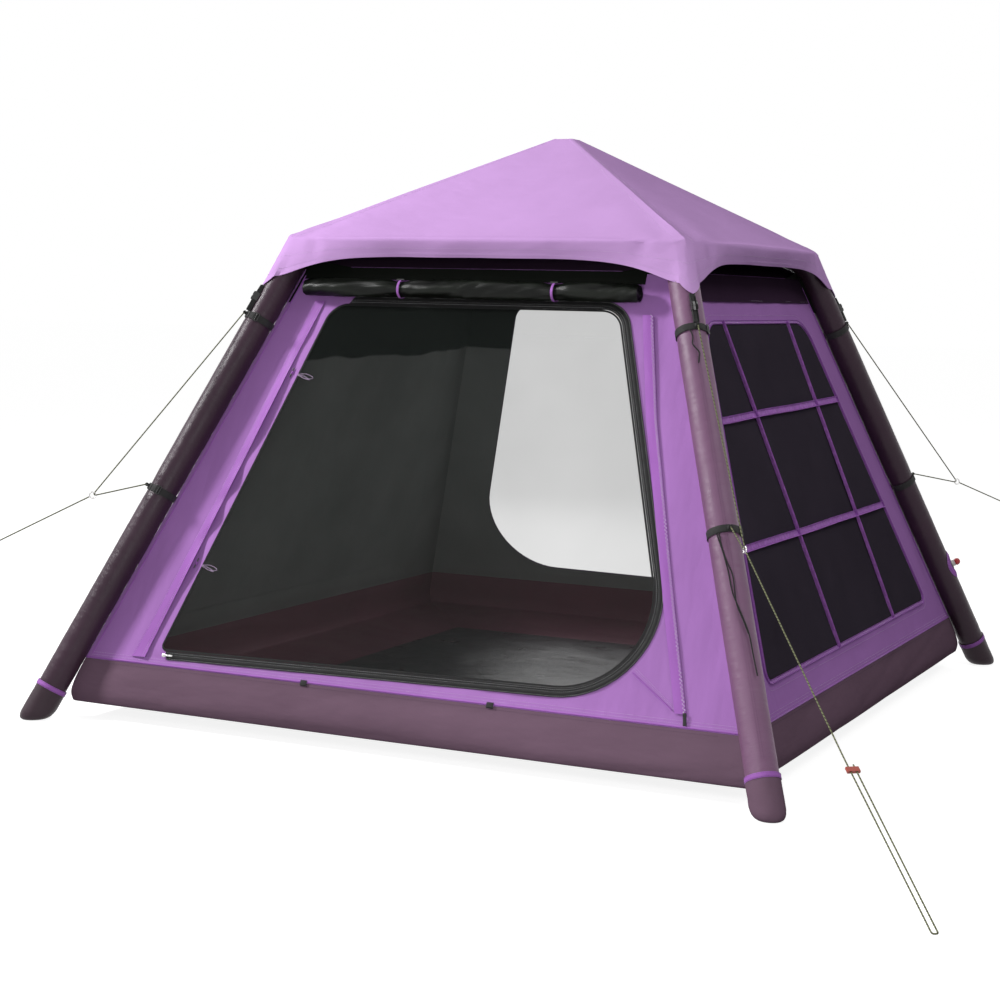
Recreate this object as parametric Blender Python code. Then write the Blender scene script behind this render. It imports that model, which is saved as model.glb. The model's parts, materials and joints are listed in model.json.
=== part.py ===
"""Inflatable cabin tent: four air beams that meet in a roof hub, a pyramid cabin hung inside them, a fly and guy lines.

Metres, +Z up. The front faces -Y, the valve is on the back right leg, and the origin is on the floor under the hub.
"""

import math

import bmesh
import bpy
from mathutils import Matrix, Vector

# Air beam frame
BASE_WIDTH = 2.400
BASE_DEPTH = 2.605
EAVE_WIDTH = 1.304
EAVE_DEPTH = 1.276
EAVE_HEIGHT = 1.485
HUB_HEIGHT = 1.822
BEAM_RADIUS = 0.046
BEND_RADIUS = 0.120
BEAM_SIDES = 16
BEND_STEPS = 4
SLEEVE_CLOTH = 0.0015
BLADDER_WALL = 0.0010
HUB_REACH = 0.110
HUB_RADIUS = 0.062
HUB_HALF_HEIGHT = 0.0505
HUB_OVERLAP = 0.012
FITTING_GAP = 0.0003
CUT_OVERRUN = 0.010

# Foot caps
CAP_CLOTH = 0.0020
CAP_SOLE = 0.0030
CAP_HEIGHT = 0.101

# Cabin walls, floor and ceiling
SEAM_GAP = 0.0004
WALL_CLOTH = 0.0030
SKIRT_HEIGHT = 0.185
WALL_TOP = 1.430
CEILING_CLOTH = 0.0030
CEILING_APEX = 1.765
FLOOR_CLOTH = 0.0030
SKIRT_REACH = 0.292
SKIRT_PROFILE_SHARES = ((0.46, 0.020), (0.34, 0.054), (0.270, 0.092), (0.160, 0.460), (0.057, 0.800))

# Doorway, its mesh door and zip
DOOR_LOW_LEFT = (-0.829, 0.228)
DOOR_LOW_RIGHT = (0.858, 0.255)
DOOR_TOP_RIGHT = (0.488, 1.315)
DOOR_TOP_LEFT = (-0.503, 1.315)
DOOR_LOW_LEFT_ROUND = 0.020
DOOR_LOW_RIGHT_ROUND = 0.260
DOOR_TOP_ROUND = 0.080
ROUND_STEPS = 6
DOOR_CLOTH = 0.0020
DOOR_CLEARANCE = 0.0030
HINGE_CLEARANCE = 0.0008
ZIP_EDGE = 0.0010
ZIP_WIDTH = 0.024
ZIP_HEIGHT = 0.0020
SLIDER_LENGTH = 0.016
SLIDER_WIDTH = 0.011
SLIDER_HEIGHT = 0.0050
SLIDER_INSET = 0.030
PULL_LENGTH = 0.024
PULL_WIDTH = 0.0055

# Toggles that hold the opened door
TOGGLE_HEIGHTS = {"upper": 1.085, "lower": 0.489}
TOGGLE_LENGTH = 0.036
TOGGLE_WIDTH = 0.012
TOGGLE_HEIGHT = 0.0040
TOGGLE_INSET = 0.014
TOGGLE_ROOT = 0.001
TOGGLE_ROUND_SHARE = 0.33

# Windows
WINDOW_LOW_HALF = 0.914
WINDOW_TOP_HALF = 0.507
WINDOW_SILL = 0.285
WINDOW_HEAD = 1.275
WINDOW_LOW_ROUND = 0.020
WINDOW_TOP_ROUND = 0.130
WINDOW_CLOTH = 0.0020
GRID_WIDTH = 0.012
GRID_BAR_WIDTH = 0.022
GRID_CLOTH = 0.0020
GRID_LAP = 0.008
GRID_CROSSING_SHARE = 0.1
GRID_UPRIGHTS = ((-0.197, -0.337), (0.469, 0.318))
GRID_BAR_HEIGHTS = (0.635, 1.012)

# Rolled doors
ROLL_RADIUS = 0.028
ROLL_WAIST_SHARE = 0.90
ROLL_END_SHARE = 0.86
ROLL_CLOTH = 0.0044
ROLL_LAYER_GAP = 0.0014
ROLL_TURNS = 3
ROLL_STEPS = 12
ROLL_HEIGHT = 1.350
ROLL_LEFT = -0.600
ROLL_RIGHT = 0.550
ROLL_TIES = (-0.251, 0.276)
ROLL_SHOULDER = 0.045
TIE_WIDTH = 0.018
MESH_ROLL_RADIUS = 0.018
MESH_ROLL_TURNS = 2
MESH_ROLL_STEPS = 10
MESH_ROLL_CLOTH = 0.0040
MESH_ROLL_LOW = 0.330
MESH_ROLL_TOP = 1.240
MESH_ROLL_INSET = 0.026
MESH_ROLL_STATION_SHARES = ((0, 0.85), (0.1, 1), (0.9, 1), (1, 0.85))

# Roof fly
FLY_CLOTH = 0.0030
FLY_CLEARANCE = 0.0009
FLY_TOP = 1.876
FLY_FLAT_HALF = 0.035
FLY_FLAT_ROUND = 0.012
FLY_TIP_DROP = 0.119
FLY_HEM_DROP = 0.019
FLY_HEM_FLARE = 0.034
FLY_CORNER_FOLD_SHARE = 1.13
FLY_HEM_POWER = 6
FLY_FLARE_POWER = 4
FLY_SIDE_COLUMNS = 7
FLY_CORNER_COLUMNS = 4
FLY_STRAP_WIDTH = 0.016
FLY_STRAP_CLOTH = 0.0020

# Straps round the legs
STRAP_HEIGHTS = {"upper": 1.250, "lower": 0.701}
STRAP_WIDTH = 0.022
STRAP_CLOTH = 0.0020
STRAP_OPENING = 0.024
STRAP_STEPS = 20
STRAP_LOOP_REACH = 0.007

# Guy lines
LINE_RADIUS = 0.0020
LINE_GAP = 0.0005
RING_RADIUS = 0.0100
RING_WIRE = 0.0020
LOOP_SPREAD = 0.0150
RING_STEPS = 16
WIRE_SIDES = 8
BORE_SIDES = 12
RUNNER_LENGTH = 0.016
RUNNER_WIDTH = 0.034
RUNNER_THICKNESS = 0.008
RUNNER_ROUND = 0.0015
RUNNER_LAP = 0.010
RUNNER_KNEE = 0.050
RING_PLACES = {
    "front_left": (-1.083, -1.161, 0.699),
    "front_right": (1.047, -1.117, 0.680),
    "back_right": (1.101, 1.182, 0.697),
}
LINE_ENDS = {
    "front_left": (-1.300, -1.423, 0.541),
    "back_right": (1.272, 1.392, 0.596),
}
RUNNER_PLACE = (1.512, -1.681, 0.250)
LOOP_PLACE = (1.800, -2.035, 0.0035)

# Valve
VALVE_HEIGHT = 0.372
VALVE_HEADING = math.radians(25.5)
VALVE_STEM_RADIUS = 0.0110
VALVE_BORE_RADIUS = 0.0060
VALVE_FLANGE_RADIUS = 0.0180
VALVE_FLANGE_HEIGHT = 0.0025
VALVE_NECK_RADIUS = 0.0125
VALVE_NECK_HEIGHT = 0.0100
VALVE_STEM_DEPTH = 0.010
CAP_BALL_RADIUS = 0.0125
CAP_BALL_HEIGHT = 0.0200
CAP_BALL_PROFILE_SHARES = ((0.60, 0), (0.92, 0.12), (1.00, 0.38), (0.90, 0.68), (0.55, 0.92), (0.20, 1.00))
VALVE_SIDES = 20

CORNERS = {
    "front_left": (-1, -1),
    "front_right": (1, -1),
    "back_left": (-1, 1),
    "back_right": (1, 1),
}
GUYED = ("front_left", "front_right", "back_right")
SIDES = ("front", "right", "back", "left")

LEAN_X = (BASE_WIDTH - EAVE_WIDTH) / 2 / EAVE_HEIGHT
LEAN_Y = (BASE_DEPTH - EAVE_DEPTH) / 2 / EAVE_HEIGHT
COS_X = math.cos(math.atan(LEAN_X))
COS_Y = math.cos(math.atan(LEAN_Y))
SIN_X = math.sin(math.atan(LEAN_X))
SIN_Y = math.sin(math.atan(LEAN_Y))
CORNER_SHARE = math.cos(math.acos(SIN_X * SIN_Y) / 2)
WALL_DEPTH = (BEAM_RADIUS + SEAM_GAP) * CORNER_SHARE
FLY_TIP_HEIGHT = EAVE_HEIGHT - FLY_TIP_DROP
FLY_HEM_HEIGHT = EAVE_HEIGHT - FLY_HEM_DROP
CAP_RADIUS = BEAM_RADIUS + FITTING_GAP + CAP_CLOTH
CAP_DEPTH = (CAP_RADIUS + 2 * SEAM_GAP) * CORNER_SHARE
HUB = Vector((0, 0, HUB_HEIGHT))


# Scene and materials


def clear_scene():
    for item in list(bpy.data.objects):
        bpy.data.objects.remove(item, do_unlink=True)


def make_material(name, colour, roughness, metallic=0.0):
    material = bpy.data.materials.new(name)
    material.use_nodes = True
    shader = material.node_tree.nodes["Principled BSDF"]
    shader.inputs["Base Color"].default_value = (*colour, 1)
    shader.inputs["Roughness"].default_value = roughness
    shader.inputs["Metallic"].default_value = metallic
    return material


def make_materials():
    return {
        "plum": make_material("plum_cloth", (0.105, 0.050, 0.088), 0.45),
        "mauve": make_material("mauve_cloth", (0.190, 0.125, 0.170), 0.55),
        "purple": make_material("purple_cloth", (0.420, 0.175, 0.530), 0.55),
        "lilac": make_material("lilac_fly", (0.640, 0.330, 0.780), 0.50),
        "black": make_material("black_cloth", (0.012, 0.012, 0.014), 0.40),
        "mesh": make_material("black_mesh", (0.025, 0.027, 0.027), 0.75),
        "webbing": make_material("dark_webbing", (0.030, 0.032, 0.030), 0.70),
        "film": make_material("clear_film", (0.550, 0.560, 0.580), 0.30),
        "line": make_material("olive_line", (0.230, 0.250, 0.100), 0.80),
        "steel": make_material("steel", (0.600, 0.600, 0.620), 0.25, 1.0),
        "orange": make_material("orange_plastic", (0.560, 0.100, 0.040), 0.40),
        "white": make_material("white_plastic", (0.800, 0.790, 0.770), 0.35),
        "red": make_material("red_plastic", (0.550, 0.010, 0.012), 0.30),
    }


# Mesh helpers


def mesh_object(name, points, faces, material, origin=(0, 0, 0), smooth=False):
    """One closed mesh, given in world points and kept about its own origin."""
    origin = Vector(origin)
    shape = bmesh.new()
    corners = [shape.verts.new(Vector(point) - origin) for point in points]
    for face in faces:
        shape.faces.new([corners[index] for index in face])
    bmesh.ops.recalc_face_normals(shape, faces=shape.faces)
    mesh = bpy.data.meshes.new(name)
    shape.to_mesh(mesh)
    shape.free()
    if smooth:
        mesh.shade_smooth()
        mesh.set_sharp_from_angle(angle=math.radians(40))
    mesh.materials.append(material)
    item = bpy.data.objects.new(name, mesh)
    item.location = origin
    bpy.context.collection.objects.link(item)
    return item


def strip_faces(rings, count, first=0, closed=True):
    """Quads between rings of count points each, the first of them at index first."""
    faces = []
    for ring in range(rings - 1):
        for step in range(count if closed else count - 1):
            a = first + ring * count + step
            b = first + ring * count + (step + 1) % count
            faces.append((a, b, b + count, a + count))
    return faces


def loft(name, rings, material, origin=(0, 0, 0), smooth=False):
    """A solid through the rings, closed with a face at each end."""
    count = len(rings[0])
    points = [point for ring in rings for point in ring]
    faces = strip_faces(len(rings), count)
    faces.append(tuple(range(count)))
    faces.append(tuple(range(len(points) - count, len(points))))
    return mesh_object(name, points, faces, material, origin, smooth)


def shell(name, outer, inner, material, origin=(0, 0, 0), smooth=False, bottom=False):
    """A wall between outer and inner rings, open at both ends or, with a bottom, at the last one."""
    count = len(outer[0])
    points = [point for ring in outer + inner for point in ring]
    half = len(outer) * count
    faces = strip_faces(len(outer), count)
    faces += strip_faces(len(inner), count, half)
    for step in range(count):
        a = half - count + step
        b = half - count + (step + 1) % count
        faces.append((a, b, b + len(inner) * count, a + len(inner) * count))
        if not bottom:
            faces.append((step, (step + 1) % count, half + (step + 1) % count, half + step))
    if bottom:
        faces.append(tuple(range(count)))
        faces.append(tuple(range(half, half + count)))
    return mesh_object(name, points, faces, material, origin, smooth)


def band(name, centre, axis, towards, radii, width, opening, steps, material, loop_reach=0):
    """A flat strap round an axis, open by an angle opposite to towards, or closed when opening is 0."""
    axis = Vector(axis).normalized()
    towards = Vector(towards).normalized()
    across = axis.cross(towards)
    inner, outer = radii
    rings = []
    count = steps + 1 if opening else steps
    for step in range(count):
        angle = opening / 2 - math.pi + (2 * math.pi - opening) * step / steps
        out = towards * math.cos(angle) + across * math.sin(angle)
        reach = outer + (loop_reach if abs(angle) < math.pi / steps * 1.2 else 0)
        rings.append(
            [centre + out * size + axis * lift
             for size, lift in ((inner, -width / 2), (reach, -width / 2), (reach, width / 2), (inner, width / 2))]
        )
    points = [point for ring in rings for point in ring]
    faces = strip_faces(count, 4)
    if opening:
        faces.append((0, 1, 2, 3))
        faces.append(tuple(range(len(points) - 4, len(points))))
    else:
        last = len(points) - 4
        faces += [(last + a, last + (a + 1) % 4, (a + 1) % 4, a) for a in range(4)]
    return mesh_object(name, points, faces, material, centre, smooth=True)


def circle(centre, axis, start, radius, sides):
    """Points of a circle about an axis, from the direction start."""
    axis = Vector(axis).normalized()
    start = Vector(start).normalized()
    across = axis.cross(start)
    turns = [2 * math.pi * step / sides for step in range(sides)]
    return [Vector(centre) + radius * (start * math.cos(turn) + across * math.sin(turn)) for turn in turns]


def turned(name, base, axis, profile, sides, material, smooth=True):
    """A turned solid: the profile lists (radius, height along the axis)."""
    axis = Vector(axis).normalized()
    start = axis.orthogonal()
    rings = [circle(Vector(base) + axis * height, axis, start, radius, sides) for radius, height in profile]
    return loft(name, rings, material, base, smooth)


def cutter(name, rings):
    """A solid that only cuts other solids."""
    item = loft(name, rings, bpy.data.materials["steel"])
    item.hide_render = True
    item.display_type = "WIRE"
    return item


def add_boolean(item, other, operation):
    modifier = item.modifiers.new(operation.lower(), "BOOLEAN")
    modifier.operation = operation
    modifier.solver = "EXACT"
    modifier.object = other
    return modifier


# Frame geometry


def leg_point(corner, height):
    """The point of a leg's axis at a height."""
    sx, sy = CORNERS[corner]
    return Vector((sx * (BASE_WIDTH / 2 - LEAN_X * height), sy * (BASE_DEPTH / 2 - LEAN_Y * height), height))


def leg_direction(corner):
    sx, sy = CORNERS[corner]
    return Vector((-sx * LEAN_X, -sy * LEAN_Y, 1)).normalized()


def leg_outward(corner):
    """Square to the leg, away from the cabin."""
    sx, sy = CORNERS[corner]
    level = Vector((sx * LEAN_X, sy * LEAN_Y, 0)).normalized()
    along = leg_direction(corner)
    return (level - along * level.dot(along)).normalized()


def rafter_direction(corner):
    return (HUB - leg_point(corner, EAVE_HEIGHT)).normalized()


def beam_normal(corner):
    """Square to both the leg and the rafter, so that it serves the whole beam."""
    return leg_direction(corner).cross(rafter_direction(corner)).normalized()


def beam_path(corner, foot_height, reach):
    """(point, direction) pairs along a beam's axis, from its foot to a distance short of the hub."""
    along = leg_direction(corner)
    inward = rafter_direction(corner)
    eave = leg_point(corner, EAVE_HEIGHT)
    turn = along.angle(inward)
    side = (inward - along * along.dot(inward)).normalized()
    start = eave - along * BEND_RADIUS * math.tan(turn / 2)
    path = [(leg_point(corner, foot_height), along)]
    for step in range(BEND_STEPS + 1):
        angle = turn * step / BEND_STEPS
        point = start + BEND_RADIUS * (along * math.sin(angle) + side * (1 - math.cos(angle)))
        path.append((point, along * math.cos(angle) + side * math.sin(angle)))
    path.append((HUB - inward * reach, inward))
    return path


def beam_rings(corner, radius, foot_height, reach):
    """Rings round a beam's axis; the first lies level, where the beam meets its sole."""
    normal = beam_normal(corner)
    rings = []
    for point, along in beam_path(corner, foot_height, reach):
        rings.append(circle(point, along, normal, radius, BEAM_SIDES))
    along = leg_direction(corner)
    rings[0] = [point + along * (foot_height - point.z) / along.z for point in rings[0]]
    return rings


def corner_point(corner, height, depth):
    """Where two neighbouring walls meet, at a depth inside the planes of the legs."""
    sx, sy = CORNERS[corner]
    across = BASE_WIDTH / 2 - LEAN_X * height - depth / COS_X
    along = BASE_DEPTH / 2 - LEAN_Y * height - depth / COS_Y
    return Vector((sx * across, sy * along, height))


# Wall planes: u runs along a side, from its left to its right end seen from outside


def side_point(side, u, height, depth):
    across = BASE_WIDTH / 2 - LEAN_X * height - depth / COS_X
    along = BASE_DEPTH / 2 - LEAN_Y * height - depth / COS_Y
    places = {
        "front": (u, -along, height),
        "right": (across, u, height),
        "back": (-u, along, height),
        "left": (-across, -u, height),
    }
    return Vector(places[side])


def side_normal(side):
    normals = {
        "front": (0, -COS_Y, SIN_Y),
        "right": (COS_X, 0, SIN_X),
        "back": (0, COS_Y, SIN_Y),
        "left": (-COS_X, 0, SIN_X),
    }
    return Vector(normals[side])


def side_cosine(side):
    return COS_Y if side in ("front", "back") else COS_X


def plane_point(side, u, slant, lift=0):
    """A point of a wall: u along it, slant up its slope from the floor, lift out of its outer face."""
    return side_point(side, u, slant * side_cosine(side), WALL_DEPTH) + side_normal(side) * lift


def flattened(side, corners):
    """(u, height) corners as (u, slant)."""
    return [Vector((u, height / side_cosine(side))) for u, height in corners]


def inset(corners, amounts):
    """Moves each edge of an anticlockwise outline inwards, the edge from a corner by that corner's amount."""
    count = len(corners)
    lines = []
    for index, amount in enumerate(amounts):
        start = corners[index]
        run = (corners[(index + 1) % count] - start).normalized()
        lines.append((start + Vector((-run.y, run.x)) * amount, run))
    moved = []
    for index in range(count):
        point, run = lines[index - 1]
        other, other_run = lines[index]
        share = (other - point).cross(other_run) / run.cross(other_run)
        moved.append(point + run * share)
    return moved


def rounded(corners, radii, steps=ROUND_STEPS):
    """The outline with an arc at each corner."""
    outline = []
    count = len(corners)
    for index, radius in enumerate(radii):
        corner = corners[index]
        back = (corners[index - 1] - corner).normalized()
        ahead = (corners[(index + 1) % count] - corner).normalized()
        half = back.angle(ahead) / 2
        centre = corner + (back + ahead).normalized() * radius / math.sin(half)
        start = corner + back * radius / math.tan(half) - centre
        sweep = math.pi - 2 * half
        for step in range(steps + 1):
            angle = sweep * step / steps
            turn = Matrix.Rotation(angle, 2)
            outline.append(centre + turn @ start)
    return outline


def plate(name, side, outline, low, high, material, origin=None):
    """A flat piece in a wall's plane, between two lifts."""
    rings = [[plane_point(side, *point, lift) for point in outline] for lift in (low, high)]
    centre = sum((point for ring in rings for point in ring), Vector()) / (2 * len(outline))
    return loft(name, rings, material, origin or centre)


def plate_cutter(name, side, outline):
    rings = [[plane_point(side, *point, lift) for point in outline] for lift in (-CUT_OVERRUN, CUT_OVERRUN)]
    return cutter(name, rings)


# Air beams


def make_sleeves(materials):
    radii = (BEAM_RADIUS, BEAM_RADIUS - SLEEVE_CLOTH)
    foot = CAP_SOLE + FITTING_GAP
    sleeves = {}
    for corner in CORNERS:
        outer, inner = (beam_rings(corner, radius, foot, HUB_REACH) for radius in radii)
        name = "sleeve_" + corner
        sleeves[corner] = shell(name, outer, inner, materials["plum"], leg_point(corner, foot), smooth=True)
    return sleeves


def hub_ball(name, margin, material):
    """The flattened ball in the middle of the hub."""
    mesh = bpy.data.meshes.new(name)
    shape = bmesh.new()
    bmesh.ops.create_uvsphere(shape, u_segments=BEAM_SIDES, v_segments=BEAM_SIDES // 2, radius=1)
    shape.to_mesh(mesh)
    shape.free()
    mesh.transform(Matrix.Diagonal((HUB_RADIUS - margin, HUB_RADIUS - margin, HUB_HALF_HEIGHT - margin, 1)))
    mesh.materials.append(material)
    item = bpy.data.objects.new(name, mesh)
    item.location = HUB
    bpy.context.collection.objects.link(item)
    return item


def hidden(item):
    item.hide_render = True
    item.display_type = "WIRE"
    return item


def make_hub(materials):
    """The sewn cross that joins the four sleeves."""
    hub = hub_ball("apex_hub", 0, materials["plum"])
    end = HUB_REACH - FITTING_GAP
    for corner in CORNERS:
        inward = rafter_direction(corner)
        normal = beam_normal(corner)
        stub = [circle(HUB - inward * reach, inward, normal, BEAM_RADIUS, BEAM_SIDES) for reach in (end, HUB_OVERLAP)]
        add_boolean(hub, hidden(loft("hub_stub_" + corner, stub, materials["plum"])), "UNION")
    add_boolean(hub, hidden(hub_ball("hub_hollow", SLEEVE_CLOTH, materials["plum"])), "DIFFERENCE")
    for corner in CORNERS:
        inward = rafter_direction(corner)
        normal = beam_normal(corner)
        radius = BEAM_RADIUS - SLEEVE_CLOTH
        reaches = (end + CUT_OVERRUN, HUB_OVERLAP)
        bore = [circle(HUB - inward * reach, inward, normal, radius, BEAM_SIDES) for reach in reaches]
        add_boolean(hub, cutter("hub_bore_" + corner, bore), "DIFFERENCE")
    return hub


def make_bladder(materials):
    """The air bladder: four tubes joined at the hub, open only at the valve."""
    margin = SLEEVE_CLOTH + FITTING_GAP
    foot = CAP_SOLE + FITTING_GAP + margin
    bladder = hub_ball("air_bladder", margin, materials["film"])
    for corner in CORNERS:
        rings = beam_rings(corner, BEAM_RADIUS - margin, foot, HUB_OVERLAP)
        add_boolean(bladder, hidden(loft("bladder_tube_" + corner, rings, materials["film"])), "UNION")
    hollow = margin + BLADDER_WALL
    add_boolean(bladder, hidden(hub_ball("bladder_hollow", hollow, materials["film"])), "DIFFERENCE")
    for corner in CORNERS:
        rings = beam_rings(corner, BEAM_RADIUS - hollow, foot + BLADDER_WALL, HUB_OVERLAP)
        add_boolean(bladder, cutter("bladder_bore_" + corner, rings), "DIFFERENCE")
    return bladder


def make_foot_caps(materials):
    for corner in CORNERS:
        along = leg_direction(corner)
        normal = beam_normal(corner)
        top = leg_point(corner, CAP_HEIGHT)
        outer = []
        inner = []
        for radius, sole, rings in ((CAP_RADIUS, 0, outer), (BEAM_RADIUS + FITTING_GAP, CAP_SOLE, inner)):
            ring = circle(leg_point(corner, sole), along, normal, radius, BEAM_SIDES)
            rings.append([point + along * (sole - point.z) / along.z for point in ring])
            rings.append(circle(top, along, normal, radius, BEAM_SIDES))
        shell("foot_cap_" + corner, outer, inner, materials["plum"], leg_point(corner, 0), True, bottom=True)


# Cabin


def side_corners(side):
    ends = {
        "front": ("front_left", "front_right"),
        "right": ("front_right", "back_right"),
        "back": ("back_right", "back_left"),
        "left": ("back_left", "front_left"),
    }
    return ends[side]


def side_run(side):
    """The direction of u."""
    runs = {"front": (1, 0, 0), "right": (0, 1, 0), "back": (-1, 0, 0), "left": (0, -1, 0)}
    return Vector(runs[side])


def side_strip(name, side, profile, material):
    """A strip along one side whose cross-section is a list of (height, depth), mitred at both ends."""
    first, last = side_corners(side)
    run = side_run(side)
    rings = []
    for corner, sign in ((first, 1), (last, -1)):
        rings.append([corner_point(corner, height, depth) + run * sign * SEAM_GAP for height, depth in profile])
    origin = (rings[0][0] + rings[1][0]) / 2
    return loft(name, rings, material, origin)


def door_corners(side):
    return flattened(side, (DOOR_LOW_LEFT, DOOR_LOW_RIGHT, DOOR_TOP_RIGHT, DOOR_TOP_LEFT))


DOOR_ROUNDS = (DOOR_LOW_LEFT_ROUND, DOOR_LOW_RIGHT_ROUND, DOOR_TOP_ROUND, DOOR_TOP_ROUND)


def door_outline(side, amounts=(0, 0, 0, 0)):
    """The doorway's outline, its bottom, right, top and left edges moved inwards."""
    rounds = [radius - (amounts[index - 1] + amounts[index]) / 2 for index, radius in enumerate(DOOR_ROUNDS)]
    return rounded(inset(door_corners(side), amounts), rounds)


def window_outline(side, amount=0):
    corners = flattened(side, (
        (-WINDOW_LOW_HALF, WINDOW_SILL),
        (WINDOW_LOW_HALF, WINDOW_SILL),
        (WINDOW_TOP_HALF, WINDOW_HEAD),
        (-WINDOW_TOP_HALF, WINDOW_HEAD),
    ))
    rounds = (WINDOW_LOW_ROUND, WINDOW_LOW_ROUND, WINDOW_TOP_ROUND, WINDOW_TOP_ROUND)
    return rounded(inset(corners, [amount] * 4), [radius - amount for radius in rounds])


def make_walls(materials):
    for side in SIDES:
        low = SKIRT_HEIGHT + FITTING_GAP
        inside = WALL_DEPTH + WALL_CLOTH
        profile = ((low, WALL_DEPTH), (WALL_TOP, WALL_DEPTH), (WALL_TOP, inside), (low, inside))
        wall = side_strip("wall_" + side, side, profile, materials["purple"])
        outline = door_outline(side) if side in ("front", "back") else window_outline(side)
        add_boolean(wall, plate_cutter("opening_" + side, side, outline), "DIFFERENCE")


def skirt_profile():
    """(height, depth) down the outer face of the skirt: along the wall, then under towards the floor."""
    cap_top = CAP_HEIGHT + CAP_RADIUS * leg_outward("front_right").z
    points = [(SKIRT_HEIGHT, WALL_DEPTH), (cap_top, CAP_DEPTH)]
    for height_share, depth_share in SKIRT_PROFILE_SHARES:
        points.append((SKIRT_HEIGHT * height_share, CAP_DEPTH + SKIRT_REACH * depth_share))
    return points + [(0, CAP_DEPTH + SKIRT_REACH)]


def skirt_inside(outer):
    """The inner face, one cloth thickness in from the outer one."""
    inner = []
    for index, (height, depth) in enumerate(outer):
        before = outer[max(index - 1, 0)]
        after = outer[min(index + 1, len(outer) - 1)]
        run = Vector((after[1] - before[1], after[0] - before[0])).normalized()
        inner.append((height + run.x * WALL_CLOTH, depth - run.y * WALL_CLOTH))
    inner[0] = (SKIRT_HEIGHT, WALL_DEPTH + WALL_CLOTH)
    inner[-1] = (FLOOR_CLOTH, outer[-1][1])
    return inner


def make_floor(materials):
    outer = skirt_profile()
    profile = outer + list(reversed(skirt_inside(outer)))
    for side in SIDES:
        side_strip("skirt_" + side, side, profile, materials["mauve"])
    edge = outer[-1][1] + SEAM_GAP
    order = ("front_left", "front_right", "back_right", "back_left")
    low = [corner_point(corner, 0, edge) for corner in order]
    high = [corner_point(corner, FLOOR_CLOTH, edge) for corner in order]
    loft("groundsheet", [low, high], materials["mauve"])


def make_ceiling(materials):
    """The inner roof, sewn to the tops of the walls and hung under the rafters."""
    order = ("front_left", "front_right", "back_right", "back_left")
    rim = WALL_TOP + FITTING_GAP
    outer = [corner_point(corner, rim, WALL_DEPTH) for corner in order]
    inner = [corner_point(corner, rim, WALL_DEPTH + WALL_CLOTH) for corner in order]
    rise = (CEILING_APEX - rim) / outer[1].x
    points = outer + inner
    points.append(Vector((0, 0, CEILING_APEX)))
    points.append(Vector((0, 0, rim + rise * inner[1].x - CEILING_CLOTH / 2)))
    faces = []
    for step in range(4):
        other = (step + 1) % 4
        faces.append((step, other, 8))
        faces.append((other + 4, step + 4, 9))
        faces.append((step, step + 4, other + 4, other))
    mesh_object("inner_roof", points, faces, materials["plum"], (0, 0, rim))


# Doorway pieces


def hinge_frame(side):
    """A frame on the doorway's left edge: its Z runs up the sewn edge, its Y out of the wall."""
    corners = door_corners(side)
    low = plane_point(side, *corners[0])
    top = plane_point(side, *corners[3])
    up = (top - low).normalized()
    out = side_normal(side)
    frame = Matrix((out.cross(up), out, up)).transposed().to_4x4()
    frame.translation = low
    return frame


def rebase(item, frame):
    """Keeps an object where it is and moves its origin and axes to a frame."""
    item.data.transform(frame.inverted() @ item.matrix_basis)
    item.matrix_world = frame
    return item


def make_mesh_door(materials):
    amounts = (DOOR_CLEARANCE, DOOR_CLEARANCE, DOOR_CLEARANCE, HINGE_CLEARANCE)
    door = plate("door_mesh", "front", door_outline("front", amounts), -DOOR_CLOTH, 0, materials["mesh"])
    return rebase(door, hinge_frame("front"))


def make_zip(materials):
    """The zip's tape round the free edges of the doorway: bottom, right and top."""
    near = door_outline("front", (-ZIP_EDGE,) * 4)
    far = door_outline("front", (-ZIP_EDGE - ZIP_WIDTH,) * 3 + (-ZIP_EDGE,))
    first = ROUND_STEPS
    last = 4 * (ROUND_STEPS + 1) - 1 - ROUND_STEPS
    outline = far[first:last + 1] + list(reversed(near[first:last + 1]))
    low = FITTING_GAP
    return plate("door_zipper", "front", outline, low, low + ZIP_HEIGHT, materials["black"])


def zip_frame():
    """A frame on the zip's bottom run: its X runs along the zip, its Y out of the wall."""
    corners = inset(door_corners("front"), (-ZIP_EDGE - ZIP_WIDTH / 2, 0, 0, 0))
    run = (plane_point("front", *corners[1]) - plane_point("front", *corners[0])).normalized()
    out = side_normal("front")
    frame = Matrix((run, out, run.cross(out))).transposed().to_4x4()
    place = corners[0] + (corners[1] - corners[0]).normalized() * SLIDER_INSET
    frame.translation = plane_point("front", *place)
    return frame


def make_slider(materials):
    """The slider with its pull, drawn flat: half widths along its length."""
    half = SLIDER_LENGTH / 2
    shape = ((-half, SLIDER_WIDTH / 2), (half, SLIDER_WIDTH / 2), (half + FITTING_GAP, PULL_WIDTH / 2),
             (half + PULL_LENGTH, PULL_WIDTH / 2))
    outline = [Vector((x, y)) for x, y in shape] + [Vector((x, -y)) for x, y in reversed(shape)]
    low = FITTING_GAP + ZIP_HEIGHT + FITTING_GAP
    frame = zip_frame()
    rings = [[frame @ Vector((x, lift, y)) for x, y in outline] for lift in (low, low + SLIDER_HEIGHT)]
    slider = loft("zip_slider", rings, materials["steel"])
    return rebase(slider, frame)


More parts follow.
